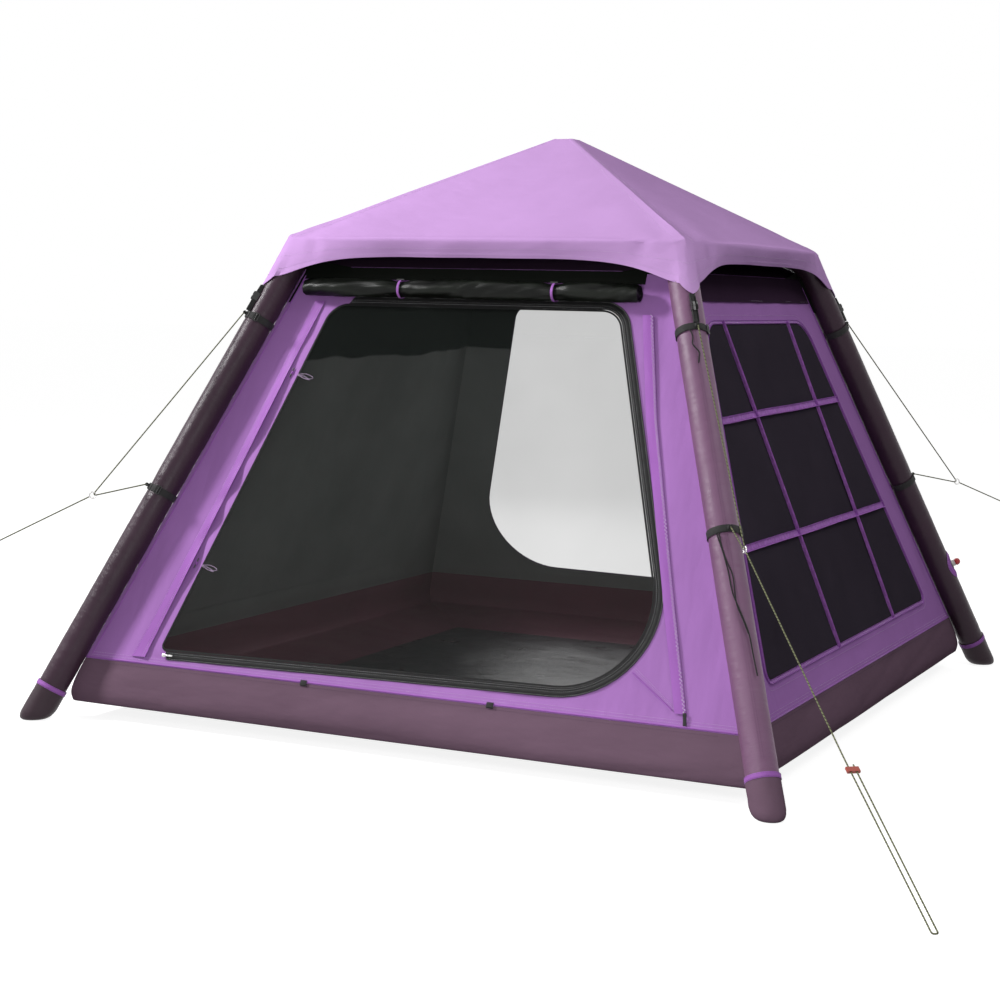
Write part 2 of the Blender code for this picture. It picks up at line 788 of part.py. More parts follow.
def make_toggles(materials):
    for name, height in TOGGLE_HEIGHTS.items():
        frame = hinge_frame("front")
        place = frame.translation
        up = frame.col[2].to_3d()
        aside = frame.col[0].to_3d()
        centre = place + up * (height - place.z) / up.z + aside * TOGGLE_INSET
        low, high = FITTING_GAP, FITTING_GAP + TOGGLE_HEIGHT
        local = frame.copy()
        local.translation = centre
        half = TOGGLE_LENGTH / 2
        near, far = TOGGLE_ROOT, TOGGLE_ROOT + TOGGLE_WIDTH
        outline = rounded(
            [Vector(pair) for pair in ((near, -half), (far, -half), (far, half), (near, half))],
            [TOGGLE_WIDTH * TOGGLE_ROUND_SHARE] * 4, 2)
        rings = [[local @ Vector((x, lift, z)) for x, z in outline] for lift in (low, high)]
        toggle = loft("door_toggle_" + name, rings, materials["webbing"])
        rebase(toggle, local)


# Windows


def make_window(side, materials):
    outline = window_outline(side, SEAM_GAP)
    plate("window_mesh_" + side, side, outline, -WINDOW_CLOTH, 0, materials["mesh"])
    low, high = FITTING_GAP, FITTING_GAP + GRID_CLOTH
    cosine = side_cosine(side)
    bottom = WINDOW_SILL / cosine - GRID_LAP
    top = WINDOW_HEAD / cosine + GRID_LAP
    sign = 1 if side == "right" else -1

    def bar(name, ends, width, narrow=0):
        start, end = (Vector(point) for point in ends)
        across = (end - start).normalized().orthogonal() * width / 2
        outline = [start - across, end - across, end + across, start + across]
        return plate(name, side, outline, low + narrow, high - narrow, materials["purple"], (0, 0, 0))

    grid = None
    lean = (WINDOW_LOW_HALF - WINDOW_TOP_HALF) / (WINDOW_HEAD - WINDOW_SILL)
    for index, height in enumerate(GRID_BAR_HEIGHTS):
        half = WINDOW_LOW_HALF - lean * (height - WINDOW_SILL) + GRID_LAP
        ends = ((-half, height / cosine), (half, height / cosine))
        piece = bar("grid_bar_" + side + str(index), ends, GRID_BAR_WIDTH)
        if grid is None:
            grid = piece
            grid.name = "window_grid_" + side
            continue
        others = [piece]
        for low_u, top_u in GRID_UPRIGHTS:
            ends = ((low_u * sign, bottom), (top_u * sign, top))
            others.append(bar("grid_upright_" + side, ends, GRID_WIDTH, GRID_CLOTH * GRID_CROSSING_SHARE))
        for other in reversed(others):
            add_boolean(grid, hidden(other), "UNION")
    return grid


# Rolled doors


def spiral(radius, cloth, turns, steps):
    """(x, y) outline of a rolled sheet, from its sewn edge at the wall inwards and back along its inner face."""
    pitch = cloth + ROLL_LAYER_GAP
    outer = []
    inner = []
    for step in range(turns * steps + 1):
        turn = step / steps
        reach = radius - pitch * turn
        angle = 2 * math.pi * turn + math.pi
        outer.append((reach * math.cos(angle), reach * math.sin(angle)))
        inner.append(((reach - cloth) * math.cos(angle), (reach - cloth) * math.sin(angle)))
    return outer + inner[::-1]


def make_roll(name, start, end, out, stations, shape, material):
    """A rolled sheet between two points; the stations list (share of its length, share of its radius)."""
    along = (end - start).normalized()
    across = along.cross(out)
    rings = []
    for place, size in stations:
        centre = start.lerp(end, place)
        rings.append([centre + size * (out * x + across * y) for x, y in shape])
    return loft(name, rings, material, start, smooth=True)


def roll_stations():
    length = ROLL_RIGHT - ROLL_LEFT
    stations = [(0, ROLL_END_SHARE), (ROLL_SHOULDER / length, 1)]
    for tie in ROLL_TIES:
        centre = (tie - ROLL_LEFT) / length
        half = TIE_WIDTH / 2 / length
        shoulder = ROLL_SHOULDER / length
        stations += [(centre - shoulder, 1), (centre - half, ROLL_WAIST_SHARE), (centre + half, ROLL_WAIST_SHARE),
                     (centre + shoulder, 1)]
    return stations + [(1 - ROLL_SHOULDER / length, 1), (1, ROLL_END_SHARE)]


def make_rolls(materials):
    """The two outer doors, rolled up and tied under the eave."""
    lift = ROLL_RADIUS + FITTING_GAP
    waist = ROLL_RADIUS * ROLL_WAIST_SHARE + FITTING_GAP
    shape = spiral(ROLL_RADIUS, ROLL_CLOTH, ROLL_TURNS, ROLL_STEPS)
    for side, name in (("front", "door_roll"), ("back", "back_door_roll")):
        cosine = side_cosine(side)
        start, end = (plane_point(side, u, ROLL_HEIGHT / cosine, lift) for u in (ROLL_LEFT, ROLL_RIGHT))
        make_roll(name, start, end, side_normal(side), roll_stations(), shape, materials["black"])
    for index, tie in enumerate(ROLL_TIES):
        centre = plane_point("front", tie, ROLL_HEIGHT / side_cosine("front"), lift)
        radii = (waist, ROLL_RADIUS)
        name = "door_tie_" + ("left", "right")[index]
        axis = side_run("front")
        band(name, centre, axis, side_normal("front"), radii, TIE_WIDTH, 0, ROLL_STEPS, materials["purple"])


def make_mesh_roll(materials):
    """The back doorway's mesh, rolled to its sewn edge."""
    frame = hinge_frame("back")
    up = frame.col[2].to_3d()
    across = frame.col[0].to_3d()
    base = frame.translation + across * MESH_ROLL_INSET + side_normal("back") * (MESH_ROLL_RADIUS + FITTING_GAP)
    start, end = (base + up * (height - frame.translation.z) / up.z for height in (MESH_ROLL_LOW, MESH_ROLL_TOP))
    shape = spiral(MESH_ROLL_RADIUS, MESH_ROLL_CLOTH, MESH_ROLL_TURNS, MESH_ROLL_STEPS)
    stations = MESH_ROLL_STATION_SHARES
    make_roll("back_mesh_roll", start, end, side_normal("back"), stations, shape, materials["mesh"])


# Roof fly


def roof_normal(side):
    """The outward normal of the plane through the two rafters of a side."""
    first, last = side_corners(side)
    across = leg_point(last, EAVE_HEIGHT) - leg_point(first, EAVE_HEIGHT)
    rise = HUB - leg_point(first, EAVE_HEIGHT)
    return across.cross(rise).normalized()


def fold_offset(side, margin):
    """From the eave's axis to the fold between the roof plane and the wall plane, both moved out by margin."""
    roof, wall = roof_normal(side), side_normal(side)
    return (roof + wall) * margin / (1 + roof.dot(wall))


def fly_corner(corner, side_before, side_after, margin, inner):
    """Rows of points, top to hem, for the columns that round one corner."""
    columns = []
    sx, sy = CORNERS[corner]
    eave = leg_point(corner, EAVE_HEIGHT)
    tip = leg_point(corner, FLY_TIP_HEIGHT)
    count = FLY_CORNER_COLUMNS
    flat = FLY_FLAT_HALF - (FLY_CLOTH / 2 if inner else 0)
    top = FLY_TOP - (FLY_CLOTH if inner else 0)
    for index in range(count):
        share = index / (count - 1)
        ends = index in (0, count - 1)
        first, last = side_normal(side_before), side_normal(side_after)
        around = first.lerp(last, share).normalized()
        reach = margin if ends else margin / math.cos(first.angle(last) / (count - 1) / 2)
        low = tip + around * reach
        low = low + leg_direction(corner) * (FLY_TIP_HEIGHT - low.z) / leg_direction(corner).z
        fold = fold_offset(side_before, margin).lerp(fold_offset(side_after, margin), share)
        fold = fold * (1 if ends else margin / fold.length * FLY_CORNER_FOLD_SHARE)
        turn = math.pi / 2 * share + math.atan2(side_normal(side_before).y, side_normal(side_before).x)
        centre = Vector((sx, sy, 0)) * (flat - FLY_FLAT_ROUND)
        high = Vector((centre.x + FLY_FLAT_ROUND * math.cos(turn), centre.y + FLY_FLAT_ROUND * math.sin(turn), top))
        columns.append((high, eave + fold, low))
    return columns


def fly_side(side, margin, inner):
    """Columns between two corners, with the hem arched up in the middle and flared out."""
    first, last = side_corners(side)
    start, end = leg_point(first, EAVE_HEIGHT), leg_point(last, EAVE_HEIGHT)
    fold = fold_offset(side, margin)
    flat = FLY_FLAT_HALF - (FLY_CLOTH / 2 if inner else 0)
    straight = flat - FLY_FLAT_ROUND
    top = FLY_TOP - (FLY_CLOTH if inner else 0)
    level = Vector((side_normal(side).x, side_normal(side).y, 0)).normalized()
    tips = [leg_point(corner, FLY_TIP_HEIGHT) for corner in (first, last)]
    span = (tips[1] - tips[0]).length / 2
    columns = []
    for index in range(1, FLY_SIDE_COLUMNS + 1):
        place = 2 * index / (FLY_SIDE_COLUMNS + 1) - 1
        high = side_run(side) * straight * place + level * flat
        high.z = top
        bend = start.lerp(end, (place + 1) / 2) + fold
        height = FLY_HEM_HEIGHT - (FLY_HEM_HEIGHT - FLY_TIP_HEIGHT) * abs(place) ** FLY_HEM_POWER
        flare = margin + FLY_HEM_FLARE * (1 - abs(place) ** FLY_FLARE_POWER)
        low = side_point(side, place * span, height, 0) + side_normal(side) * flare
        low.z = height
        columns.append((high, bend, low))
    return columns


def fly_columns(margin, inner):
    columns = []
    for index, side in enumerate(SIDES):
        columns += fly_side(side, margin, inner)
        corner = side_corners(side)[1]
        columns += fly_corner(corner, side, SIDES[(index + 1) % 4], margin, inner)
    return columns


def make_fly(materials):
    """The fly: a pyramid with a flat top, folded at the eaves, whose corners wrap the legs."""
    inside = BEAM_RADIUS + FLY_CLEARANCE
    outer = fly_columns(inside + FLY_CLOTH, False)
    inner = fly_columns(inside, True)
    count = len(outer)
    points = [column[row] for skin in (outer, inner) for row in range(3) for column in skin]
    faces = strip_faces(3, count) + strip_faces(3, count, 3 * count)
    for step in range(count):
        other = (step + 1) % count
        faces.append((2 * count + step, 2 * count + other, 5 * count + other, 5 * count + step))
    faces.append(tuple(range(count)))
    faces.append(tuple(range(3 * count, 4 * count)))
    fly = mesh_object("roof_fly", points, faces, materials["lilac"], (0, 0, EAVE_HEIGHT))
    return fly


def make_fly_straps(materials):
    """Elastic straps from the fly's corners down to the upper leg straps."""
    top = FLY_TIP_HEIGHT - FITTING_GAP
    for corner in CORNERS:
        along, out = leg_direction(corner), leg_outward(corner)
        across = along.cross(out)
        near = BEAM_RADIUS + FITTING_GAP
        rim = near + STRAP_CLOTH
        low = leg_point(corner, STRAP_HEIGHTS["upper"]) + along * (STRAP_WIDTH / 2 + FITTING_GAP)
        low += out * rim
        high = leg_point(corner, top) + out * (near + FLY_CLEARANCE)
        high += along * (top - high.z) / along.z
        rings = []
        for point in (low, high):
            rings.append([point + across * FLY_STRAP_WIDTH * a + out * FLY_STRAP_CLOTH * b
                          for a, b in ((-0.5, 0), (0.5, 0), (0.5, 1), (-0.5, 1))])
        rings[1] = [point + along * (top - point.z) / along.z for point in rings[1]]
        loft("fly_corner_strap_" + corner, rings, materials["webbing"], high)


# Leg straps and guy lines


def make_leg_straps(materials):
    inner = (BEAM_RADIUS + FITTING_GAP) / math.cos(math.pi / STRAP_STEPS)
    opening = STRAP_OPENING / BEAM_RADIUS
    for corner in CORNERS:
        for level, height in STRAP_HEIGHTS.items():
            name = "leg_strap_" + level + "_" + corner
            band(name, leg_point(corner, height), leg_direction(corner), leg_outward(corner),
                 (inner, inner + STRAP_CLOTH), STRAP_WIDTH, opening, STRAP_STEPS, materials["webbing"],
                 STRAP_LOOP_REACH)


def strap_eye(corner, level):
    """The outer end of a leg strap's loop, where a line starts."""
    inner = (BEAM_RADIUS + FITTING_GAP) / math.cos(math.pi / STRAP_STEPS)
    reach = inner + STRAP_CLOTH + STRAP_LOOP_REACH + LINE_GAP + LINE_RADIUS
    return leg_point(corner, STRAP_HEIGHTS[level]) + leg_outward(corner) * reach


def smooth_points(route, counts):
    """Points along a smooth curve through the route, with a number of steps for each of its spans."""
    points = [route[0]]
    for index, count in enumerate(counts):
        before = route[max(index - 1, 0)]
        start, end = route[index], route[index + 1]
        after = route[min(index + 2, len(route) - 1)]
        span = (end - start).length
        start_pull = (end - before).normalized() * span / 3
        end_pull = (after - start).normalized() * span / 3
        for step in range(1, count + 1):
            t = step / count
            s = 1 - t
            points.append(start * s ** 3 + 3 * (start + start_pull) * s * s * t
                          + 3 * (end - end_pull) * s * t * t + end * t ** 3)
    return points


def make_line(name, points, material):
    curve = bpy.data.curves.new(name, "CURVE")
    curve.dimensions = "3D"
    curve.bevel_depth = LINE_RADIUS
    curve.bevel_resolution = 2
    curve.use_fill_caps = True
    spline = curve.splines.new("POLY")
    spline.points.add(len(points) - 1)
    for place, point in zip(spline.points, points):
        place.co = (*(point - points[0]), 1)
    curve.materials.append(material)
    item = bpy.data.objects.new(name, curve)
    item.location = points[0]
    bpy.context.collection.objects.link(item)
    return item


def ring_frame(corner):
    """A ring's centre, the pull of its line, and the direction across its plane."""
    centre = Vector(RING_PLACES[corner])
    far = Vector(RUNNER_PLACE if corner == "front_right" else LINE_ENDS[corner])
    pull = (far - centre).normalized()
    eye = strap_eye(corner, "upper") - centre
    across = (eye - pull * eye.dot(pull)).normalized()
    return centre, pull, across


def make_ring(corner, materials):
    centre, pull, across = ring_frame(corner)
    rings = []
    for point in circle((0, 0, 0), across, pull, RING_RADIUS, RING_STEPS):
        rings.append(circle(centre + point, point.cross(across), point, RING_WIRE, WIRE_SIDES))
    count = len(rings[0])
    points = [point for ring in rings for point in ring]
    faces = strip_faces(RING_STEPS, count)
    last = (RING_STEPS - 1) * count
    faces += [(last + a, last + (a + 1) % count, (a + 1) % count, a) for a in range(count)]
    mesh_object("guy_ring_" + corner, points, faces, materials["steel"], centre, smooth=True)


def make_bridle(corner, materials):
    """The short line from the upper strap through the ring to the lower strap."""
    centre, pull, across = ring_frame(corner)
    rim = centre - pull * RING_RADIUS
    reach = RING_WIRE + LINE_RADIUS + LINE_GAP
    bend = []
    for degrees in (80, 40, 0, -40, -80):
        angle = math.radians(degrees)
        bend.append(rim + reach * (pull * math.cos(angle) + across * math.sin(angle)))
    upper, lower = strap_eye(corner, "upper"), strap_eye(corner, "lower")
    route = [upper, upper.lerp(bend[0], 0.5), *bend, lower.lerp(bend[-1], 0.5), lower]
    counts = (5, 5, 2, 2, 2, 2, 3, 3)
    make_line("guy_bridle_" + corner, smooth_points(route, counts), materials["line"])


def line_start(corner):
    centre, pull, across = ring_frame(corner)
    return centre + pull * (RING_RADIUS + RING_WIRE + LINE_GAP)


def make_open_line(corner, materials):
    """A line that runs to a peg beyond the model: it stops in a small eye."""
    centre, pull, across = ring_frame(corner)
    start, end = line_start(corner), Vector(LINE_ENDS[corner])
    size = LOOP_SPREAD / 2
    side = pull.cross(across)
    loop = [end + pull * size + side * size, end + pull * 2 * size, end + pull * size - side * size]
    route = [start, start.lerp(end, 0.5), end, *loop]
    counts = (7, 7, 4, 3, 3)
    make_line("guy_line_" + corner, smooth_points(route, counts), materials["line"])


def runner_frame():
    """A frame on the runner: Z runs down the line towards the ground, X across to the returning line."""
    down = (Vector(LOOP_PLACE) - Vector(RUNNER_PLACE)).normalized()
    across = Vector((-down.y, down.x, 0)).normalized()
    frame = Matrix((across, down.cross(across), down)).transposed().to_4x4()
    frame.translation = Vector(RUNNER_PLACE) + across * LOOP_SPREAD / 2
    return frame


def make_runner_line(materials):
    """The front right line: through the runner, round the peg's place on the ground and back to the runner."""
    frame = runner_frame()
    across, down = frame.col[0].to_3d(), frame.col[2].to_3d()
    start = line_start("front_right")
    knee = Vector(RUNNER_PLACE) - down * RUNNER_KNEE
    entry = Vector(RUNNER_PLACE) - down * RUNNER_LENGTH
    turn = Vector(LOOP_PLACE)
    size = LOOP_SPREAD / 2
    middle = turn + across * size
    bend = [middle - across * size * math.cos(a) + down * size * math.sin(a)
            for a in (math.pi / 4, math.pi / 2, math.pi * 3 / 4)]
    back = turn + across * LOOP_SPREAD
    end = Vector(RUNNER_PLACE) + across * LOOP_SPREAD - down * (RUNNER_LENGTH / 2 + RUNNER_LAP)
    below = [Vector(RUNNER_PLACE).lerp(turn, 0.5), turn.lerp(turn - down, LOOP_SPREAD)]
    above = [point + across * LOOP_SPREAD for point in reversed(below)]
    route = [start, start.lerp(knee, 0.5), knee, entry, *below, turn, *bend, back, *above, end]
    counts = (7, 7, 1, 6, 6, 1, 2, 2, 2, 2, 1, 6, 7)
    for point in route:
        point.z = max(point.z, LINE_RADIUS)
    make_line("guy_line_front_right", smooth_points(route, counts), materials["line"])


def make_runner(materials):
    """The tensioner: a flat bar with a hole for each run of the line."""
    frame = runner_frame()
    half = (RUNNER_WIDTH / 2, RUNNER_THICKNESS / 2)
    outline = rounded([Vector((x * half[0], y * half[1])) for x, y in ((-1, -1), (1, -1), (1, 1), (-1, 1))],
                      [RUNNER_ROUND] * 4, 2)
    rings = [[frame @ Vector((x, y, z)) for x, y in outline] for z in (-RUNNER_LENGTH / 2, RUNNER_LENGTH / 2)]
    runner = rebase(loft("guy_runner", rings, materials["orange"]), frame)
    radius = (LINE_RADIUS + LINE_GAP) / math.cos(math.pi / BORE_SIDES)
    for sign in (-1, 1):
        centre = frame @ Vector((sign * LOOP_SPREAD / 2, 0, 0))
        down = frame.col[2].to_3d()
        ends = [centre + down * reach for reach in (-RUNNER_LENGTH, RUNNER_LENGTH)]
        bore = [circle(end, down, frame.col[0].to_3d(), radius, BORE_SIDES) for end in ends]
        add_boolean(runner, cutter("runner_bore", bore), "DIFFERENCE")


# Valve


def valve_frame():
    """A frame on the leg's axis at the valve: Z points out through the valve."""
    along = leg_direction("back_right")
    heading = Vector((math.cos(VALVE_HEADING), math.sin(VALVE_HEADING), 0))
    out = (heading - along * heading.dot(along)).normalized()
    frame = Matrix((along, out.cross(along), out)).transposed().to_4x4()
    frame.translation = leg_point("back_right", VALVE_HEIGHT)
    return frame


def make_valve(sleeve, bladder, materials):
    frame = valve_frame()
    axis, start = frame.col[2].to_3d(), frame.translation
    face = BEAM_RADIUS + FITTING_GAP
    neck = face + VALVE_FLANGE_HEIGHT + VALVE_NECK_HEIGHT
    inner_end = BEAM_RADIUS - VALVE_STEM_DEPTH
    outer = ((VALVE_STEM_RADIUS, inner_end), (VALVE_STEM_RADIUS, face), (VALVE_FLANGE_RADIUS, face),
             (VALVE_FLANGE_RADIUS, face + VALVE_FLANGE_HEIGHT), (VALVE_NECK_RADIUS, face + VALVE_FLANGE_HEIGHT),
             (VALVE_NECK_RADIUS, neck))
    bore = tuple((VALVE_BORE_RADIUS, height) for radius, height in outer)
    rings = []
    for profile in (outer, bore):
        rings.append([circle(start + axis * height, axis, frame.col[0].to_3d(), radius, VALVE_SIDES)
                      for radius, height in profile])
    bore_rings = [rings[1][0], rings[1][-1]]
    shell_rings(rings[0], bore_rings, materials)
    hole = VALVE_STEM_RADIUS + LINE_GAP
    ends = (inner_end - CUT_OVERRUN, neck)
    cut = [circle(start + axis * height, axis, frame.col[0].to_3d(), hole, VALVE_SIDES) for height in ends]
    tool = cutter("valve_hole", cut)
    add_boolean(sleeve, tool, "DIFFERENCE")
    add_boolean(bladder, tool, "DIFFERENCE")
    base = start + axis * (neck + FITTING_GAP)
    sizes = [(CAP_BALL_RADIUS * radius, CAP_BALL_HEIGHT * height) for radius, height in CAP_BALL_PROFILE_SHARES]
    turned("valve_cap", base, axis, sizes, VALVE_SIDES, materials["red"])


def shell_rings(outer, inner, materials):
    """The valve's body: its stepped outside joined to its straight bore at both ends."""
    count = len(outer[0])
    points = [point for ring in outer + inner for point in ring]
    faces = strip_faces(len(outer), count)
    base = len(outer) * count
    faces += strip_faces(2, count, base)
    for step in range(count):
        other = (step + 1) % count
        faces.append((step, other, base + other, base + step))
        faces.append((base - count + step, base - count + other, base + count + other, base + count + step))
    mesh_object("valve_body", points, faces, materials["white"], inner[0][0], smooth=True)


def main():
    clear_scene()
    materials = make_materials()
    sleeves = make_sleeves(materials)
    make_hub(materials)
    bladder = make_bladder(materials)
    make_foot_caps(materials)
    make_walls(materials)
    make_floor(materials)
    make_ceiling(materials)
    make_mesh_door(materials)
    make_zip(materials)
    make_slider(materials)
    make_toggles(materials)
    for side in ("left", "right"):
        make_window(side, materials)
    make_rolls(materials)
    make_mesh_roll(materials)
    make_fly(materials)
    make_fly_straps(materials)
    make_leg_straps(materials)
    for corner in GUYED:
        make_ring(corner, materials)
        make_bridle(corner, materials)
        if corner in LINE_ENDS:
            make_open_line(corner, materials)
    make_runner_line(materials)
    make_runner(materials)
    make_valve(sleeves["back_right"], bladder, materials)
    print("least gap between the layers of a roll: %.4f m" % (ROLL_LAYER_GAP * ROLL_END_SHARE))


main()
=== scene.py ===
"""Inflatable cabin tent: its cloth, mesh, lines and fittings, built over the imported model.

Metres, +Z up. The front faces -Y and the valve is on the back right leg.
It is laid out as an add-on and run as a script.
"""

import json
import math

import bmesh
import bpy
import numpy as np
from bpy.props import FloatProperty, FloatVectorProperty, IntProperty, PointerProperty
from mathutils import Matrix, Vector

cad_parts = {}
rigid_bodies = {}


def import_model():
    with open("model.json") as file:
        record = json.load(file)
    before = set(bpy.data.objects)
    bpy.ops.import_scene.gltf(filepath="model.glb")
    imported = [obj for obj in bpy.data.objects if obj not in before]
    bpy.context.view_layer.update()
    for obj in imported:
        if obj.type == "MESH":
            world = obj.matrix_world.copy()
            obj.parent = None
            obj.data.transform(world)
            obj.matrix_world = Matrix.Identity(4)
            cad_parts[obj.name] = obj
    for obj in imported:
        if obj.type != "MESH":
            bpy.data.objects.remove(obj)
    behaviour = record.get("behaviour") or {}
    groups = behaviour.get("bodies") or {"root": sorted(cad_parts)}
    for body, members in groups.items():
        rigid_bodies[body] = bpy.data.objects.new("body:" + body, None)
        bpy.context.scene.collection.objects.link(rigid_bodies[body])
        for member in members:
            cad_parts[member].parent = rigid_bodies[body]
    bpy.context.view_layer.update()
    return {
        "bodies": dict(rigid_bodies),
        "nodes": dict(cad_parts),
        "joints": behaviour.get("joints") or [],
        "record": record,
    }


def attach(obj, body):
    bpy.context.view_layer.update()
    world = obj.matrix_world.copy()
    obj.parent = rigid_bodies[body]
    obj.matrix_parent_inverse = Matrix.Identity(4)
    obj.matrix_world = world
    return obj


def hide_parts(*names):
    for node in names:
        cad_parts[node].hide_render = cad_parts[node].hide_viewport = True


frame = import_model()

bl_info = {
    "name": "Inflatable cabin tent",
    "version": (1, 0, 0),
    "blender": (4, 5, 0),
    "location": "3D View > Sidebar > Tent",
    "description": "Builds the cloth, mesh, lines and fittings of an inflatable cabin tent",
    "category": "Object",
}

CORNERS = {"front_left": (-1, -1), "front_right": (1, -1), "back_left": (-1, 1), "back_right": (1, 1)}
SIDES = ("front", "right", "back", "left")
SIDE_ENDS = {
    "front": ("front_left", "front_right"),
    "right": ("front_right", "back_right"),
    "back": ("back_right", "back_left"),
    "left": ("back_left", "front_left"),
}
SIDE_RUNS = {"front": (1, 0, 0), "right": (0, 1, 0), "back": (-1, 0, 0), "left": (0, -1, 0)}
GUYED = ("front_left", "front_right", "back_right")

# Places of the doorways, windows, straps and lines
DOOR_CORNERS = ((-0.829, 0.228), (0.858, 0.255), (0.488, 1.315), (-0.503, 1.315))
DOOR_ROUNDS = (0.020, 0.260, 0.080, 0.080)
DOOR_CLEARANCE = 0.0030
HINGE_CLEARANCE = 0.0008
ZIP_EDGE = 0.0010
BINDING_WIDTH = 0.006
TOGGLE_HEIGHTS = {"upper": 1.085, "lower": 0.489}
TOGGLE_INSET = 0.014
TOGGLE_REACH = 0.007
WINDOW_CORNERS = ((-0.914, 0.285), (0.914, 0.285), (0.507, 1.275), (-0.507, 1.275))
WINDOW_ROUNDS = (0.020, 0.020, 0.130, 0.130)
WINDOW_UPRIGHTS = ((-0.197, -0.337), (0.469, 0.318))
WINDOW_BARS = (0.635, 1.012)
SLIDER_OUTLINE = ((-8, -3.2), (-6.5, -4.6), (1, -5.4), (6, -3.6), (8, -1.6),
                  (8, 1.6), (6, 3.6), (1, 5.4), (-6.5, 4.6), (-8, 3.2))  # millimetres
ROLL_ENDS = (-0.600, 0.550)
ROLL_HEIGHT = 1.350
ROLL_TIES = (-0.251, 0.276)
MESH_ROLL_HEIGHTS = (0.330, 1.240)
MESH_ROLL_INSET = 0.026
STRAP_HEIGHTS = {"upper": 1.250, "lower": 0.701}
STRAP_STEPS = 20
STRAP_LOOP_REACH = 0.007
SKIRT_REACH = 0.292
SKIRT_FOLD = ((0.46, 0.020), (0.34, 0.054), (0.270, 0.092), (0.160, 0.460), (0.057, 0.800))
RING_PLACES = {
    "front_left": (-1.083, -1.161, 0.699),
    "front_right": (1.047, -1.117, 0.680),
    "back_right": (1.101, 1.182, 0.697),
}
LINE_ENDS = {"front_left": (-1.300, -1.423, 0.541), "back_right": (1.272, 1.392, 0.596)}
RUNNER_PLACE = (1.512, -1.681, 0.250)
RUNNER_KNEE = 0.050
RUNNER_LENGTH = 0.016
RUNNER_LAP = 0.010
PEG_PLACE = (1.800, -2.035, 0.0035)
LINE_GAP = 0.0005
RUN_SPREAD = 0.0150
RING_RADIUS = 0.0100
RING_WIRE = 0.0020
VALVE_HEIGHT = 0.372
VALVE_HEADING = math.radians(25.5)
SEAM_GAP = 0.0004
FITTING_GAP = 0.0003
FOOT_HEIGHT = 0.030  # where the air beams end, above the ground
ROUND_STEPS = 16  # steps in each rounded corner of a doorway or window
WALL_SHEET = 0.0022  # thickness of the walls and the inner roof
MESH_SHEET = 0.0008  # thickness of the mesh panels
HUB_BALL = (0.062, 0.0505)  # half the width and half the height of the ball between the rafters
PIPING_HEIGHT = 0.1885  # of the bright piping over the skirts
GUSSET_LENGTH = 0.200
GUSSET_HEIGHTS = (1.4215, 1.4255, 1.4555)  # lower edge, upper edge at its inner end and beside the leg
DOOR_EAVE_SHADE = (1.390, 1.428)  # heights of the dark strip over a doorway, painted shade under the fly
WINDOW_EAVE_SHADE = (1.344, 1.428)  # heights of the dark strip over a window, painted shade under the fly
EAVE_LINING = (1.318, 1.4285)  # heights of the dark cloth behind the eave strips of painted shade
FLAP_SEAM = ((-0.572, 1.320), (-0.601, 1.226), (-0.760, 0.687), (-0.872, 0.345), (-0.924, 0.205))
WELT_SEAM = ((0.590, 1.300), (0.600, 1.257), (0.663, 0.999), (0.813, 0.513), (0.907, 0.221))
SEAM_TAIL = ((0.907, 0.224), (0.909, 0.216), (0.911, 0.208), (0.9125, 0.200), (0.914, 0.192))
GUSSET_SEAM = ((0.735, 0.3130), (0.800, 0.272), (0.868, 0.229))
FLAP_GAP = 0.034  # from the storm flap's free edge to the doorway
FLY_TOP_ROUND = 0.012  # radius of the corners of the fly's flat top
FLY_TIP_POINT = 0.030  # how far the hem rises to either side of a corner's tip
FLY_FOLD_OUT = 0.044  # how far the fold bows out between two corners
FLY_HEM_TUCK = 0.016  # how far the middle of the hem hangs in, below the fold
FLY_HEM_FALL = 0.004  # how far the hem hangs below its height in the model

# The loose tails on the front right leg: strap, heading round the leg, its change, fall and sway
TAIL_REACH = 0.0535
TAILS = {
    "upper": ("upper", -0.45, 0.30, 0.11, 0.10),
    "lower": ("lower", -0.75, 1.05, 0.42, 0.10),
    "second": ("lower", -0.62, 0.60, 0.30, -0.10),
}

# The lamps: place, aim, size and power
LAMPS = {
    "left_lamp": ((-4.8, -2.7, 4.4), (0, -0.6, 1.0), 0.9, 365),
    "right_lamp": ((3.2, -1.0, 4.6), (0.9, -0.3, 0.9), 2.0, 48),
    "near_lamp": ((0.9, -3.6, 1.4), (1.05, -1.1, 0.7), 0.7, 25),
    "back_lamp": ((-2.5, 4.5, 3.5), (-0.2, 0, 1.0), 3.0, 80),
}
FLOOR_SIZE = 60
FLOOR_HEIGHT = -0.001
FLOOR_TONES = ((0.34, 0.34, 0.34, 1), (0.42, 0.42, 0.42, 1))  # for bounced light, for what is seen
FLOOR_GLOW = 0.87
SURROUNDING_LIGHT = 0.30  # share of the white surroundings that lights the tent

# The camera, fitted to the photograph
CAMERA_PLACE = (2.72886, -6.18586, 1.34278)
CAMERA_YAW, CAMERA_PITCH, CAMERA_ROLL = -0.44492, -0.1019, 0.02156
CAMERA_LENS = 71.261


# Sizes and colours that the sidebar offers


def length(name, text, value):
    return FloatProperty(name=name, description=text, default=value, min=0, precision=4, unit="LENGTH")


def linear(red, green, blue):
    """A screen colour, 0 to 255, as the linear colour that a shader takes."""
    shares = [value / 255 for value in (red, green, blue)]
    return tuple(share / 12.92 if share <= 0.04045 else ((share + 0.055) / 1.055) ** 2.4
                 for share in shares)


def colour(name, text, red, green, blue):
    return FloatVectorProperty(
        name=name, description=text, default=linear(red, green, blue), size=3, min=0, max=1,
        subtype="COLOR")


